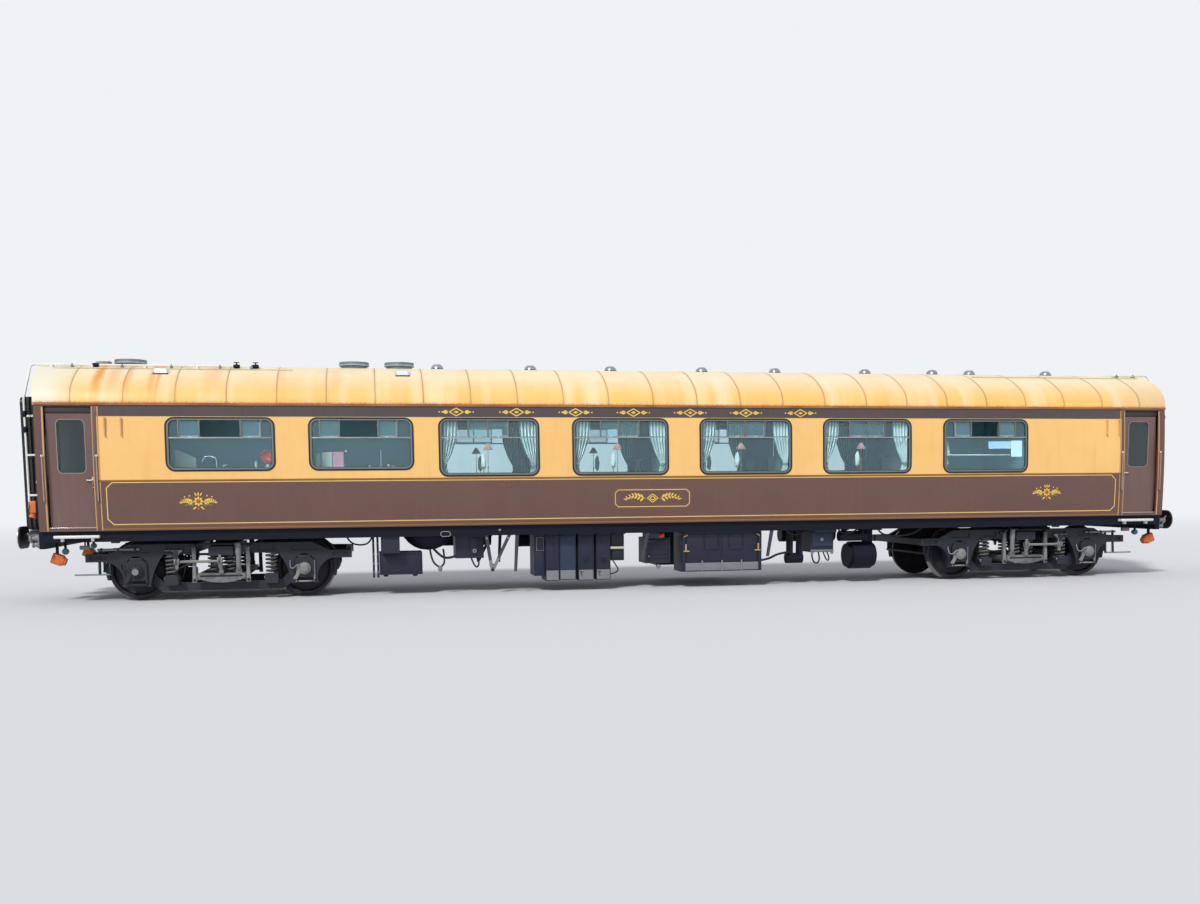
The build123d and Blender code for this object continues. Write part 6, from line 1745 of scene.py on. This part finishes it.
# %% Straps, hangers and small boxes
side = -1
low_x, high_x, face = -4.59, -3.89, 1.04
for x in (low_x - 0.095, low_x - 0.025):
    panel(dark, x - 0.018, x + 0.018, 0.268, 0.94, face - 0.055, face - 0.02, 0.004)
    for z in (0.36, 0.5, 0.66, 0.84):
        bolt(bolts, x, face - 0.02, z, 0.01)
panel(dark, low_x + 0.03, high_x - 0.03, 0.345, 0.64, face + door_gap, face + 0.008, 0.012)
bar(dark, (-4.29, face + 0.006, 0.475), (-4.19, face + 0.006, 0.475), 0.012, 14, 0.003)
for x in (low_x + 0.1, high_x - 0.12):
    bar(dark, (x, 0.92, 0.312), (x, 0.92, 0.276), 0.04, 20, 0.006)
plate(dark, [(-3.095, 0.94), (-3.095, 0.68), (-3.055, 0.625), (-2.995, 0.625), (-2.955, 0.68),
             (-2.955, 0.94)], 1.052, 1.078, 0.02)
lathe(bolts, (-3.025, 1.078, 0.682), [(0.0, 0.016), (0.0, 0.032), (0.005, 0.032), (0.008, 0.028),
                                      (0.008, 0.018), (0.0, 0.016)], 24)
lathe(dark, (-3.025, 1.078, 0.682), [(0.0, 0.0), (0.0, 0.014), (0.014, 0.012), (0.016, 0.0)], 20)
for top_x in (-2.845, -2.462):
    top, foot = Vector((top_x, 0.945)), Vector((-2.754, 0.35))
    away = (foot - top).normalized()
    across = Vector((-away.y, away.x)) * 0.026
    start = top + away * 0.42
    plate(pale, [start - across, foot - across, foot + across, start + across], 1.2853, 1.292)
    bolt(bolts, top.x + away.x * 0.05, 1.286, top.y + away.y * 0.05, 0.014)
panel(pale, -2.8, -2.69, 0.44, 0.47, 1.246, 1.256, 0.004)
bolt(bolts, -2.62, 1.292, 1.032, 0.02)

# The box with the ribbed front, its red lamp and its drain
rib_low, rib_high, face = -0.09, 0.35, 1.08
for z in (0.5, 0.575, 0.65, 0.725, 0.8):
    panel(dark, rib_low + 0.03, rib_high - 0.03, z - 0.012, z + 0.012, face + door_gap, face + 0.012, 0.0,
          0.004)
for z in (0.53, 0.795):
    bolt(bolts, -0.03, face, z, 0.014)
run(dark, [(-0.02, face + 0.01, 0.845), (0.08, face + 0.03, 0.8), (0.2, face + 0.03, 0.795),
           (0.32, face + 0.02, 0.83), (0.345, face, 0.9)], 0.012, 3, 8)
lathe(pale, (0.15, 1.0, 0.352), [(0.0, 0.0), (0.0, 0.036), (0.04, 0.04), (0.06, 0.034), (0.066, 0.02),
                                    (0.066, 0.0)], 24)
bm = bmesh.new()
block(bm, spot(0.115, face + 0.015, 0.85), spot(0.235, face + 0.055, 0.93), 0.012, 3)
lathe(bm, (0.175, face + 0.052, 0.89), [(0.0, 0.0), (0.0, 0.032), (0.01, 0.032), (0.018, 0.022),
                                        (0.022, 0.0)], 24)
piece(bm, "red_isolator", red_enamel, slot="box_paint")
bm = bmesh.new()
bar(bm, (-0.7, 1.09, 0.69), (-0.475, 1.09, 0.69), 0.022, 20, 0.004)
run(bm, [(-0.7, 1.09, 0.69), (-0.73, 1.06, 0.69), (-0.74, 0.98, 0.72)], 0.018, 3, 8)
piece(bm, "cream_pipe", pipe_paint, slot="white_metal")
panel(dark, -0.655, -0.485, 0.5, 0.66, 1.0405, 1.06, 0.01)

# The right box stands in a pale frame, and the long hanger beside it carries a filter
panel(blue, 2.95, 3.32, 0.64, 0.89, 1.0603, 1.07, 0.014)
for low_x, high_x, low_z, high_z in ((2.92, 3.35, 0.548, 0.585), (2.925, 2.975, 0.505, 0.56),
                                     (3.295, 3.345, 0.505, 0.56)):
    panel(pale, low_x, high_x, low_z, high_z, 1.0603, 1.078, 0.004)
bar(bolts, (3.13, 1.07, 0.765), (3.13, 1.076, 0.765), 0.03, 20, 0.002)
for x in (2.595, 2.78):
    panel(dark, x - 0.02, x + 0.02, 0.505, 0.945, 0.97, 1.01, 0.0, 0.003)

# %% Hoses and pipes below the floor
# columns: radius, then points on the run from one fixed end to the other
under_hoses = (
    (0.016, (-3.76, 0.98, 0.72), (-3.74, 1.04, 0.56), (-3.67, 1.05, 0.45), (-3.6, 1.04, 0.42)),
    (0.016, (-3.54, 0.98, 0.72), (-3.52, 1.03, 0.56), (-3.54, 1.05, 0.45), (-3.6, 1.04, 0.42)),
    (0.02, (-3.76, 0.98, 0.8), (-3.6, 1.02, 0.6), (-3.45, 1.03, 0.56), (-3.33, 1.0, 0.6)),
    (0.014, (-2.96, 1.02, 0.57), (-2.94, 1.04, 0.44), (-3.02, 1.05, 0.39), (-3.08, 1.02, 0.57)),
    (0.02, (1.955, 1.12, 0.42), (2.12, 1.14, 0.445), (2.26, 1.13, 0.52), (2.42, 1.09, 0.545),
     (2.59, 1.0, 0.56)),
    (0.014, (3.08, 1.03, 0.55), (3.11, 1.05, 0.4), (3.03, 1.06, 0.33), (2.96, 1.04, 0.4),
     (2.96, 1.02, 0.55)),
    (0.012, (3.25, 1.0, 0.55), (3.3, 1.04, 0.43), (3.23, 1.05, 0.36), (3.18, 1.0, 0.55)),
    (0.011, (-0.66, 1.02, 0.48), (-0.6, 1.06, 0.38), (-0.56, 1.07, 0.3), (-0.64, 1.05, 0.25),
     (-0.74, 1.02, 0.23)),
    (0.014, (-5.1, 1.25, 0.955), (-5.05, 1.16, 0.85), (-4.88, 1.12, 0.81), (-4.74, 1.16, 0.85),
     (-4.7, 1.25, 0.955)),
    (0.016, (4.1, 1.25, 0.955), (4.2, 1.16, 0.84), (4.5, 1.14, 0.8), (4.85, 1.16, 0.84),
     (4.95, 1.25, 0.955)),
    (0.014, (2.4, 1.25, 0.955), (2.48, 1.17, 0.87), (2.7, 1.17, 0.86), (2.8, 1.25, 0.955)),
    (0.014, (3.36, 1.25, 0.955), (3.44, 1.17, 0.875), (3.64, 1.17, 0.87), (3.74, 1.25, 0.955)),
)
bm = bmesh.new()
for radius, *points in under_hoses:
    run(bm, points, radius, 3, 6)
piece(bm, "brake_pipes", rubber, slot="frame_paint", smooth=60)
lathe(pale, (-3.6, 1.04, 0.35), [(0.0, 0.0), (0.0, 0.02), (0.02, 0.036), (0.075, 0.036), (0.095, 0.022),
                                     (0.095, 0.0)], 24, upright)
for name, bm, finish in (("box_doors", dark, box_paint), ("dusty_panels", pale, dusty_panel),
                         ("blue_doors", blue, blue_box), ("brass_corners", brassy, brass),
                         ("under_bolts", bolts, pale_bolt)):
    outwards(bm)
    piece(bm, name, finish, slot="box_paint")
print("hoses below the floor:", len(under_hoses))

# %% [markdown]
# ## Axleboxes, dampers and clamps
# The bogie is a casting with a lot bolted to it, and the pale dusty fittings stand out from the dark frame.
# The two bogies are the same, turned end for end, so every place here is given outwards from the middle of
# its bogie. Covers are turned, brackets are cut plates, and pipes follow a few points.

# %% Shapes of the bogie fittings
pale_cast = dusty("pale_cast", (118, 120, 122), (186, 180, 166), 0.9, 0.7, 0.65, bump=0.4, edge=0.003)
pipe_blue = dusty("pipe_blue", (112, 124, 134), (168, 170, 166), 0.6, 1.0, 0.5, bump=0.15)
axle_offset, cover_y, link_u, link_face, frame_skin = 1.2955, 1.1245, 0.415, 1.096, 1.0505
cover = [(0.0003, 0.0), (0.0003, 0.098), (0.008, 0.1), (0.013, 0.096), (0.013, 0.08), (0.017, 0.076),
         (0.036, 0.07), (0.046, 0.058), (0.05, 0.04), (0.05, 0.0)]
box_horn = ((0.06, 0.085), (0.12, 0.04), (0.135, -0.085), (0.19, -0.165), (0.13, -0.185), (0.09, -0.11),
            (0.06, -0.06))
earth_cable = ((0.06, 1.15, 0.045), (0.115, 1.165, 0.075), (0.16, 1.15, 0.01), (0.215, 1.12, 0.0),
               (0.235, 1.08, 0.08), (0.225, 1.06, 0.13))
rod_bracket = ((-0.078, 0.79), (-0.078, 0.76), (-0.036, 0.742), (-0.024, 0.706), (0.024, 0.706),
               (0.036, 0.742), (0.078, 0.76), (0.078, 0.79))
dust_tube = [(0.0, 0.0), (0.0, 0.03), (0.03, 0.034), (0.04, 0.0395), (0.225, 0.0395), (0.232, 0.046),
             (0.4, 0.046), (0.408, 0.038), (0.408, 0.0)]
damper_bracket = ((-0.06, 0.9), (-0.06, 0.845), (-0.02, 0.845), (-0.02, 0.88), (0.115, 0.88), (0.115, 0.9))
link_shape = ((-0.034, 0.262), (0.034, 0.262), (0.03, 0.4), (0.018, 0.53), (-0.018, 0.53), (-0.03, 0.4))
spring_cup = [(0.0, 0.0), (0.0, 0.07), (0.014, 0.104), (0.04, 0.108), (0.0545, 0.1), (0.0545, 0.0)]
cup_lip = ((-0.11, 0.3), (0.03, 0.3), (0.11, 0.335), (0.07, 0.366), (-0.07, 0.366), (-0.115, 0.345))


def at(offset):
    """Place along the coach of a point on this bogie, measured outwards."""
    return end * (bogie_x + offset)


def axlebox_fittings(x, cap, cable):
    """Cover, horn, keep and cable of one axlebox, and the recess above it."""
    lathe(cap, (x, cover_y, wheel_radius), cover, 48)
    for turn in range(6):
        angle = radians(60 * turn + 30)
        bolt(cap, x + 0.088 * cos(angle), cover_y + 0.012, wheel_radius + 0.088 * sin(angle), 0.008)
    if cap is dark:
        lathe(pale, (x, cover_y + 0.0503, wheel_radius - 0.004), [(0.0, 0.0), (0.0, 0.052), (0.004, 0.05),
                                                                  (0.005, 0.0)], 40)
    plate(cap, beside(x, side, box_horn, wheel_radius), 1.086, 1.112, 0.01)
    rear = x - side * 0.15
    panel(cap, rear - 0.014, rear + 0.014, wheel_radius - 0.185, wheel_radius + 0.125, frame_skin, 1.084,
          0.004)
    panel(cap, x - 0.15, x + 0.15, 0.236, 0.256, frame_skin, 1.09, 0.004)
    for reach in (-0.115, 0.115):
        bolt(dark, x + reach, 1.09, 0.246, 0.012)
    run(cable, [(x + side * reach, y, wheel_radius + lift) for reach, y, lift in earth_cable], 0.009, 2, 8)
    panel(dark, x - 0.105, x + 0.105, wheel_radius + 0.135, wheel_radius + 0.215, frame_skin, 1.06, 0.035,
          0.004)


def rod_clamps():
    """Clamps at both ends of the tie rod, its sleeve and the bracket above the outer clamp."""
    for x in (at(0.015), at(0.675)):
        for reach in (-0.028, 0.028):
            lathe(pale, (x + reach, 1.12, 0.6),
                  [(-0.009, 0.018), (-0.01, 0.052), (0.01, 0.052), (0.009, 0.018)], 28, lengthwise)
        tapered(pale, x, 0.03, 0.62, 0.016, 0.705, 1.102, 1.138, 0.004)
        tapered(pale, x, 0.02, 0.48, 0.028, 0.58, 1.102, 1.138, 0.004)
    lathe(pale, (at(0.345), 1.12, 0.6), [(-0.3, 0.01), (-0.3, 0.0215), (0.3, 0.0215), (0.3, 0.01)], 24,
          lengthwise)
    plate(pale, beside(at(0.665), 1, rod_bracket), frame_skin, 1.11, 0.006, 0.004)
    panel(pale, at(0.8) - 0.055, at(0.8) + 0.055, 0.772, 0.786, frame_skin, 1.085, 0.0)


def damper_and_links():
    """The damper with its bracket, the swing links with their pins, and the cups under the outer springs."""
    lathe(pale, (at(-0.27), 1.11, 0.48), dust_tube, 32, upright)
    plate(dark, beside(at(-0.27), 1, damper_bracket), 1.058, 1.13, 0.0, 0.004)
    for x in (at(-link_u), at(link_u)):
        plate(pale, beside(x, 1, link_shape), link_face + door_gap, link_face + 0.014, 0.004, 0.003)
        for start, stop, z, radius, corners, edge in ((1.05, 1.118, 0.85, 0.032, 24, 0.004),
                                                      (1.112, 1.128, 0.85, 0.018, 6, 0.002),
                                                      (1.1, 1.124, 0.3, 0.024, 24, 0.004)):
            bar(dark, (x, start, z), (x, stop, z), radius, corners, edge)
    for x in (at(-0.77), at(0.77)):
        lathe(pale, (x, frame_y, 0.32), spring_cup, 36, upright)
        plate(pale, beside(x, 1, cup_lip), 1.052, 1.09, 0.008, 0.004)
    for z, half, outer in ((0.392, 0.335, 1.084), (0.3, 0.3, 1.082)):
        panel(pale, at(0) - half, at(0) + half, z - 0.012, z + 0.012, 1.0503, outer, 0.004, 0.004)


def end_pipes():
    """Pipes at the outer end, with their clips and stays."""
    run(pipes, [(at(1.24), 1.066, 0.812), (at(1.42), 1.07, 0.812), (at(1.62), 1.072, 0.812),
                (at(1.86), 1.066, 0.812)], 0.02, 3, 6)
    run(pipes, [(at(1.68), 1.04, 0.42), (at(1.86), 1.046, 0.42), (at(2.06), 1.046, 0.42),
                (at(2.22), 1.036, 0.42)], 0.014, 3, 6)
    for offset in (1.69, 1.845):
        bar(dark, (at(offset), 1.04, 0.42), (at(offset), 1.01, 0.8), 0.022, 14, 0.002)
    for offset in (1.3, 1.55, 1.8):
        lathe(dark, (at(offset), 1.068, 0.812),
              [(-0.014, 0.018), (-0.014, 0.028), (0.014, 0.028), (0.014, 0.018)], 20, lengthwise)


# %% Fittings on the bogies
for end_name, end in ends:
    pale, dark, pipes = bmesh.new(), bmesh.new(), bmesh.new()
    for side in (-1, 1):
        for offset in (-axle_offset, axle_offset):
            dark_box = end < 0 and offset > 0
            axlebox_fittings(at(offset), dark if dark_box else pale, dark if dark_box else pipes)
        rod_clamps()
        damper_and_links()
        end_pipes()
    for name, bm, finish in (("castings", pale, pale_cast), ("brackets", dark, bogie_black),
                             ("pipes", pipes, pipe_blue)):
        outwards(bm)
        made = piece(bm, f"bogie_{name}_{end_name}", finish, body=f"bogie_{end_name}", slot="bogie_paint")
        print(made.name, "has", len(made.data.polygons), "faces")

# %% [markdown]
# ## Handles and handrail ends
# Each door has a lever handle with a lock below it, and they ride on the door so that they swing with it.
# The handrails are only held at their two ends, where a turned boss carries the bar. The upper bosses are
# white as a painted highlight, and the lower ones are black as painted shade.

# %% Door handles and handrail bosses
lock_black = painted("lock_black", (44, 40, 40), (70, 62, 58), 0.3, 0.0, 0.35, bump=0.05)
lever_reach, lock_z = 0.03, 1.77


def tip(x, y, z):
    """A point at the end and on the side that are being fitted, with its height above the rail."""
    return (end * x, side * y, rail + z)


for end_name, end in ends:
    for side_name, side in sides:
        body = f"door_{end_name}_{side_name}"
        bm = bmesh.new()
        root_y = door_face + 0.0042
        lever_y = root_y + lever_reach
        rod(bm, tip(lever_x, root_y, 1.9), tip(lever_x, lever_y, 1.9), 0.013, 20, 0.002)
        hose(bm, [tip(lever_x - 0.014, lever_y, 1.93), tip(lever_x, lever_y, 1.91),
                  tip(lever_x + 0.045, lever_y, 1.896), tip(lever_x + 0.092, lever_y - 0.004, 1.904)],
             0.0095)
        piece(bm, f"door_lever_{end_name}_{side_name}", white_steel, body=body, slot="white_metal")
        bm = bmesh.new()
        turned(bm, tip(lever_x, door_face + 0.0072, lock_z), (0, side, 0),
               [(0.0, 0.0), (0.0, 0.018), (0.006, 0.016), (0.01, 0.008), (0.01, 0.0)], 24)
        piece(bm, f"door_lock_{end_name}_{side_name}", lock_black, body=body, slot="window_metal")

# The upper bosses are white as a painted highlight, and the lower ones black as painted shade
bright, dull = bmesh.new(), bmesh.new()
corners = [(end, side) for end in (-1, 1) for side in (-1, 1)]
for end, side in corners:
    for x in (8.82, 9.6):
        for made, z in ((bright, 2.274), (dull, 1.586)):
            turned(made, tip(x, 1.378, z), (0, side, 0),
                   [(0.0, 0.0), (0.0, 0.012), (0.01, 0.018), (0.024, 0.0205), (0.03, 0.013), (0.0325, 0.0)],
                   20)
for name, bm, finish in (("rail_tops", bright, white_steel), ("rail_feet", dull, lock_black)):
    made = piece(bm, name, finish, slot="white_metal")
    print(name, "have", len(made.data.polygons), "faces")

# %% [markdown]
# ## The ends and what hangs at them
# Close to the buffers hang the sockets and cocks that join one vehicle to the next. The painted heads are
# orange, so that they stand out from the dark frame. Each one gets a bracket up to the frame, and the pipe
# down the end gets clips, a pair of valves and a forked foot.

# %% Sockets, cocks and pipe fittings at the ends
orange_paint = painted("orange_paint", (222, 112, 48), (120, 66, 40), 0.6, 0.4, 0.45, bump=0.15, edge=0.003)
teal_paint = painted("teal_paint", (60, 148, 156), (52, 72, 76), 0.5, 0.2, 0.4, bump=0.1)
stand_x, stand_y, stand_low, headstock_face = 9.915, 1.0, 1.56, 9.745
orange, pale, dark, teal, white = (bmesh.new() for count in range(5))
side = -1
wall_x = half_length + bow(stand_y)
for end in (-1, 1):
    for z in (2.97, 2.71, 2.25, 1.72):
        rod(dark, tip(wall_x - 0.004, stand_y, z), tip(stand_x + 0.01, stand_y, z), 0.011, 12, 0.001)
    for z in (2.93, 2.69):
        turned(dark, tip(stand_x, stand_y, z), upright,
               [(-0.045, 0.016), (-0.045, 0.03), (-0.02, 0.04), (0.02, 0.04), (0.045, 0.03), (0.045, 0.016)],
               24)
    rod(dark, tip(stand_x - 0.07, stand_y + 0.05, 2.93), tip(stand_x - 0.07, stand_y - 0.05, 2.93), 0.012,
        12, 0.001)
    turned(white, tip(wall_x - 0.004, stand_y, 1.88), (end, 0, 0),
           [(0.0, 0.0), (0.0, 0.042), (0.02, 0.042), (0.034, 0.03), (0.036, 0.0)], 24)
    for y in (stand_y + 0.045, stand_y - 0.045):
        hose(pale, [tip(stand_x, stand_y, stand_low + 0.025), tip(stand_x, y, stand_low - 0.02),
                    tip(stand_x, y, stand_low - 0.085)], 0.012)

for end, side in corners:
    # The box with the socket stands on the end wall under the pipe, and its mate on the other side
    block(orange, (end * (wall_x - 0.01), side * 0.96 - 0.08, rail + 1.4),
          (end * (wall_x + 0.15), side * 0.96 + 0.085, rail + 1.59), 0.018, 3)
    turned(orange, tip(wall_x + 0.09, 0.96, 1.42), (end * 0.4, 0, -1),
           [(0.0, 0.0), (0.0, 0.052), (0.07, 0.052), (0.078, 0.06), (0.096, 0.06), (0.1, 0.0)], 24)
    block(dark, tip(wall_x - 0.006, 1.06, 1.36), tip(wall_x + 0.045, 1.09, 1.6), 0.004)

    # The cocks on the end of the headstock
    for z, reach, size in ((1.01, 0.165, 0.046), (0.905, 0.125, 0.038)):
        turned(pale, tip(headstock_face - 0.004, 1.15, z), (end, 0, 0),
               [(0.0, 0.0), (0.0, size), (reach * 0.45, size), (reach * 0.55, size * 0.7),
                (reach * 0.8, size * 0.7), (reach * 0.8, size), (reach, size), (reach, 0.0)], 20)
        rod(pale, tip(headstock_face + reach * 0.7, 1.15, z),
            tip(headstock_face + reach * 0.7 + 0.06, 1.19, z + 0.085), 0.012, 12, 0.002)
    block(pale, tip(headstock_face - 0.004, 1.08, 0.855), tip(headstock_face + 0.022, 1.22, 1.07), 0.004)

    # The parked head under the solebar on its bracket, and the small valve beside it
    middle = Vector((-9.545 if end < 0 else 9.68, side * 1.02, rail + 0.675))
    block(dark, middle + Vector((-0.02, -0.02, 0.025)), middle + Vector((0.02, 0.02, 0.28)), 0.003)
    head, half = bmesh.new(), Vector((0.085, 0.065, 0.085))
    block(head, middle - half, middle + half, 0.022, 3)
    turned(head, middle - Vector((end * 0.07, 0, 0)), (-end, 0, 0),
           [(0.0, 0.0), (0.0, 0.072), (0.03, 0.072), (0.036, 0.06), (0.062, 0.06), (0.066, 0.0)], 28)
    bmesh.ops.rotate(head, verts=head.verts[:], cent=middle,
                     matrix=Matrix.Rotation(end * radians(-22), 3, "Y"))
    pour(orange, head)
    rod(dark, tip(9.44, 0.95, 0.79), tip(9.44, 0.95, 1.005), 0.02, 16)
    turned(teal, tip(9.44, 0.9, 0.79), (0, side, 0),
           [(0.0, 0.0), (0.0, 0.038), (0.035, 0.05), (0.075, 0.05), (0.095, 0.038), (0.1, 0.0)], 24)
    rod(dark, tip(9.11, 1.12, 0.85), tip(9.11, 1.12, 1.005), 0.012, 12)
    block(pale, tip(9.04, 1.085, 0.82), tip(9.19, 1.155, 0.885), 0.016, 3)

    # Lamp irons on the end wall, one low and one high on each side
    for y, z in ((0.78, 1.62), (0.7, 2.9)):
        iron_x = half_length + bow(y)
        for low_x, low_z, high_z in ((iron_x - 0.004, z - 0.06, z), (iron_x + 0.022, z - 0.01, z + 0.09)):
            block(dark, tip(low_x, y - 0.015, low_z), tip(iron_x + 0.03, y + 0.015, high_z), 0.003)
for name, bm, finish, slot in (("end_sockets", orange, orange_paint, "box_paint"),
                               ("end_cocks", pale, pale_cast, "white_metal"),
                               ("end_brackets", dark, under_black, "frame_paint"),
                               ("end_valves", teal, teal_paint, "box_paint"),
                               ("end_discs", white, white_steel, "white_metal")):
    outwards(bm)
    piece(bm, name, finish, slot=slot)

# %% [markdown]
# ## Worn rims on the buffers
# A buffer head is bright along its edge, where the paint wears off as two heads slide past each other. A
# thin ring in the outline of the head, just proud of it, shows that. We draw the outline in the plane of X
# and Z and turn it to face along the coach.

# %% Buffer rims
buffer_y, buffer_height, head_face, rim_proud = 0.87, rail + 1.02, 10.08, 0.0015
half_wide, half_tall = 0.3 + rim_proud, 0.1725 + rim_proud
bm = bmesh.new()
for end, side in corners:
    rim = bmesh.new()
    ring(rim, -1, -half_wide, half_wide, -half_tall, half_tall, 0.012, 0.1735)
    bmesh.ops.solidify(rim, geom=rim.faces[:], thickness=0.01)
    bmesh.ops.rotate(rim, verts=rim.verts[:], cent=(0, 0, 0), matrix=Matrix.Rotation(radians(90), 3, "Z"))
    low_x, high_x = min(vert.co.x for vert in rim.verts), max(vert.co.x for vert in rim.verts)
    for vert in rim.verts:
        share = (vert.co.x - low_x) / (high_x - low_x)
        vert.co.x = end * (head_face - 0.01 + (0.01 + rim_proud) * share)
    bmesh.ops.translate(rim, verts=rim.verts[:], vec=(0, side * buffer_y, buffer_height))
    outwards(rim)
    pour(bm, rim)
piece(bm, "buffer_rims", bright_steel, slot="wheel_steel")

# %% [markdown]
# ## Caps on the roof vents
# The ridge vents are polished domes on a dark base ring, and the low cowls are white. A black block in each
# cowl's mouth is painted shade in the opening. The solids below give their size, so each cap is a thin shell
# over its solid.

# %% Vent domes, base rings and cowl mouths
vent_places = (-3.515, -1.893, -0.458, 1.225, 2.613, 4.375, 5.724, 6.483, 8.076)
vent_radius, vent_base = 0.105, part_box("roof_vents")[1].z - 0.088
chrome_dome = painted("chrome_dome", (158, 166, 176), (84, 88, 92), 0.35, 0.1, 0.2, metallic=0.9, bump=0.03)
domes, rings, mouths = bmesh.new(), bmesh.new(), bmesh.new()
for x in vent_places:
    turned(domes, (x, 0, vent_base), upright,
           [(0.012, vent_radius + 0.0025), (0.05, 0.0975), (0.08, 0.066), (0.0905, 0.04), (0.0915, 0.0)], 40)
    turned(rings, (x, 0, vent_base), upright,
           [(-0.018, vent_radius - 0.002), (-0.018, vent_radius + 0.012), (0.01, vent_radius + 0.012),
            (0.012, vent_radius - 0.002)], 40)
mouth_low = roof_z(0.861)
# A black block at each cowl's mouth is painted shade inside the opening
for x in (-7.918, -4.13):
    block(mouths, (x - 0.12, -0.864, mouth_low - 0.004), (x + 0.12, -0.825, mouth_low + 0.022), 0.006)
piece(domes, "vent_domes", chrome_dome, slot="roof_metal", smooth=50)
piece(rings, "vent_rings", lock_black, slot="roof_metal", smooth=50)
piece(mouths, "cowl_mouths", lock_black, slot="roof_metal")

# %% [markdown]
# ## Plates on the solebar
# A blank oval plate is fixed to the solebar on each side, dark inside a pale rim. Both ovals are filled
# outlines with a little thickness.

# %% Blank plates
plate_x, plate_z, solebar_face = -3.515, 1.01, 1.292
for side_name, side in sides:
    for part, half_x, half_z, proud, finish in (("rim", 0.085, 0.045, 0.004, pale_bolt),
                                                ("face", 0.074, 0.034, 0.005, under_black)):
        bm = bmesh.new()
        outline(bm, plate_x - half_x, plate_x + half_x, plate_z - half_z, plate_z + half_z, half_z - 0.0005)
        filled(bm, -1)
        bmesh.ops.solidify(bm, geom=bm.faces[:], thickness=proud)
        for vert in bm.verts:
            vert.co.y = side * (solebar_face + (proud if abs(vert.co.y) > proud / 2 else 0.0003))
        outwards(bm)
        piece(bm, f"oval_{part}_{side_name}", finish, slot="frame_paint")
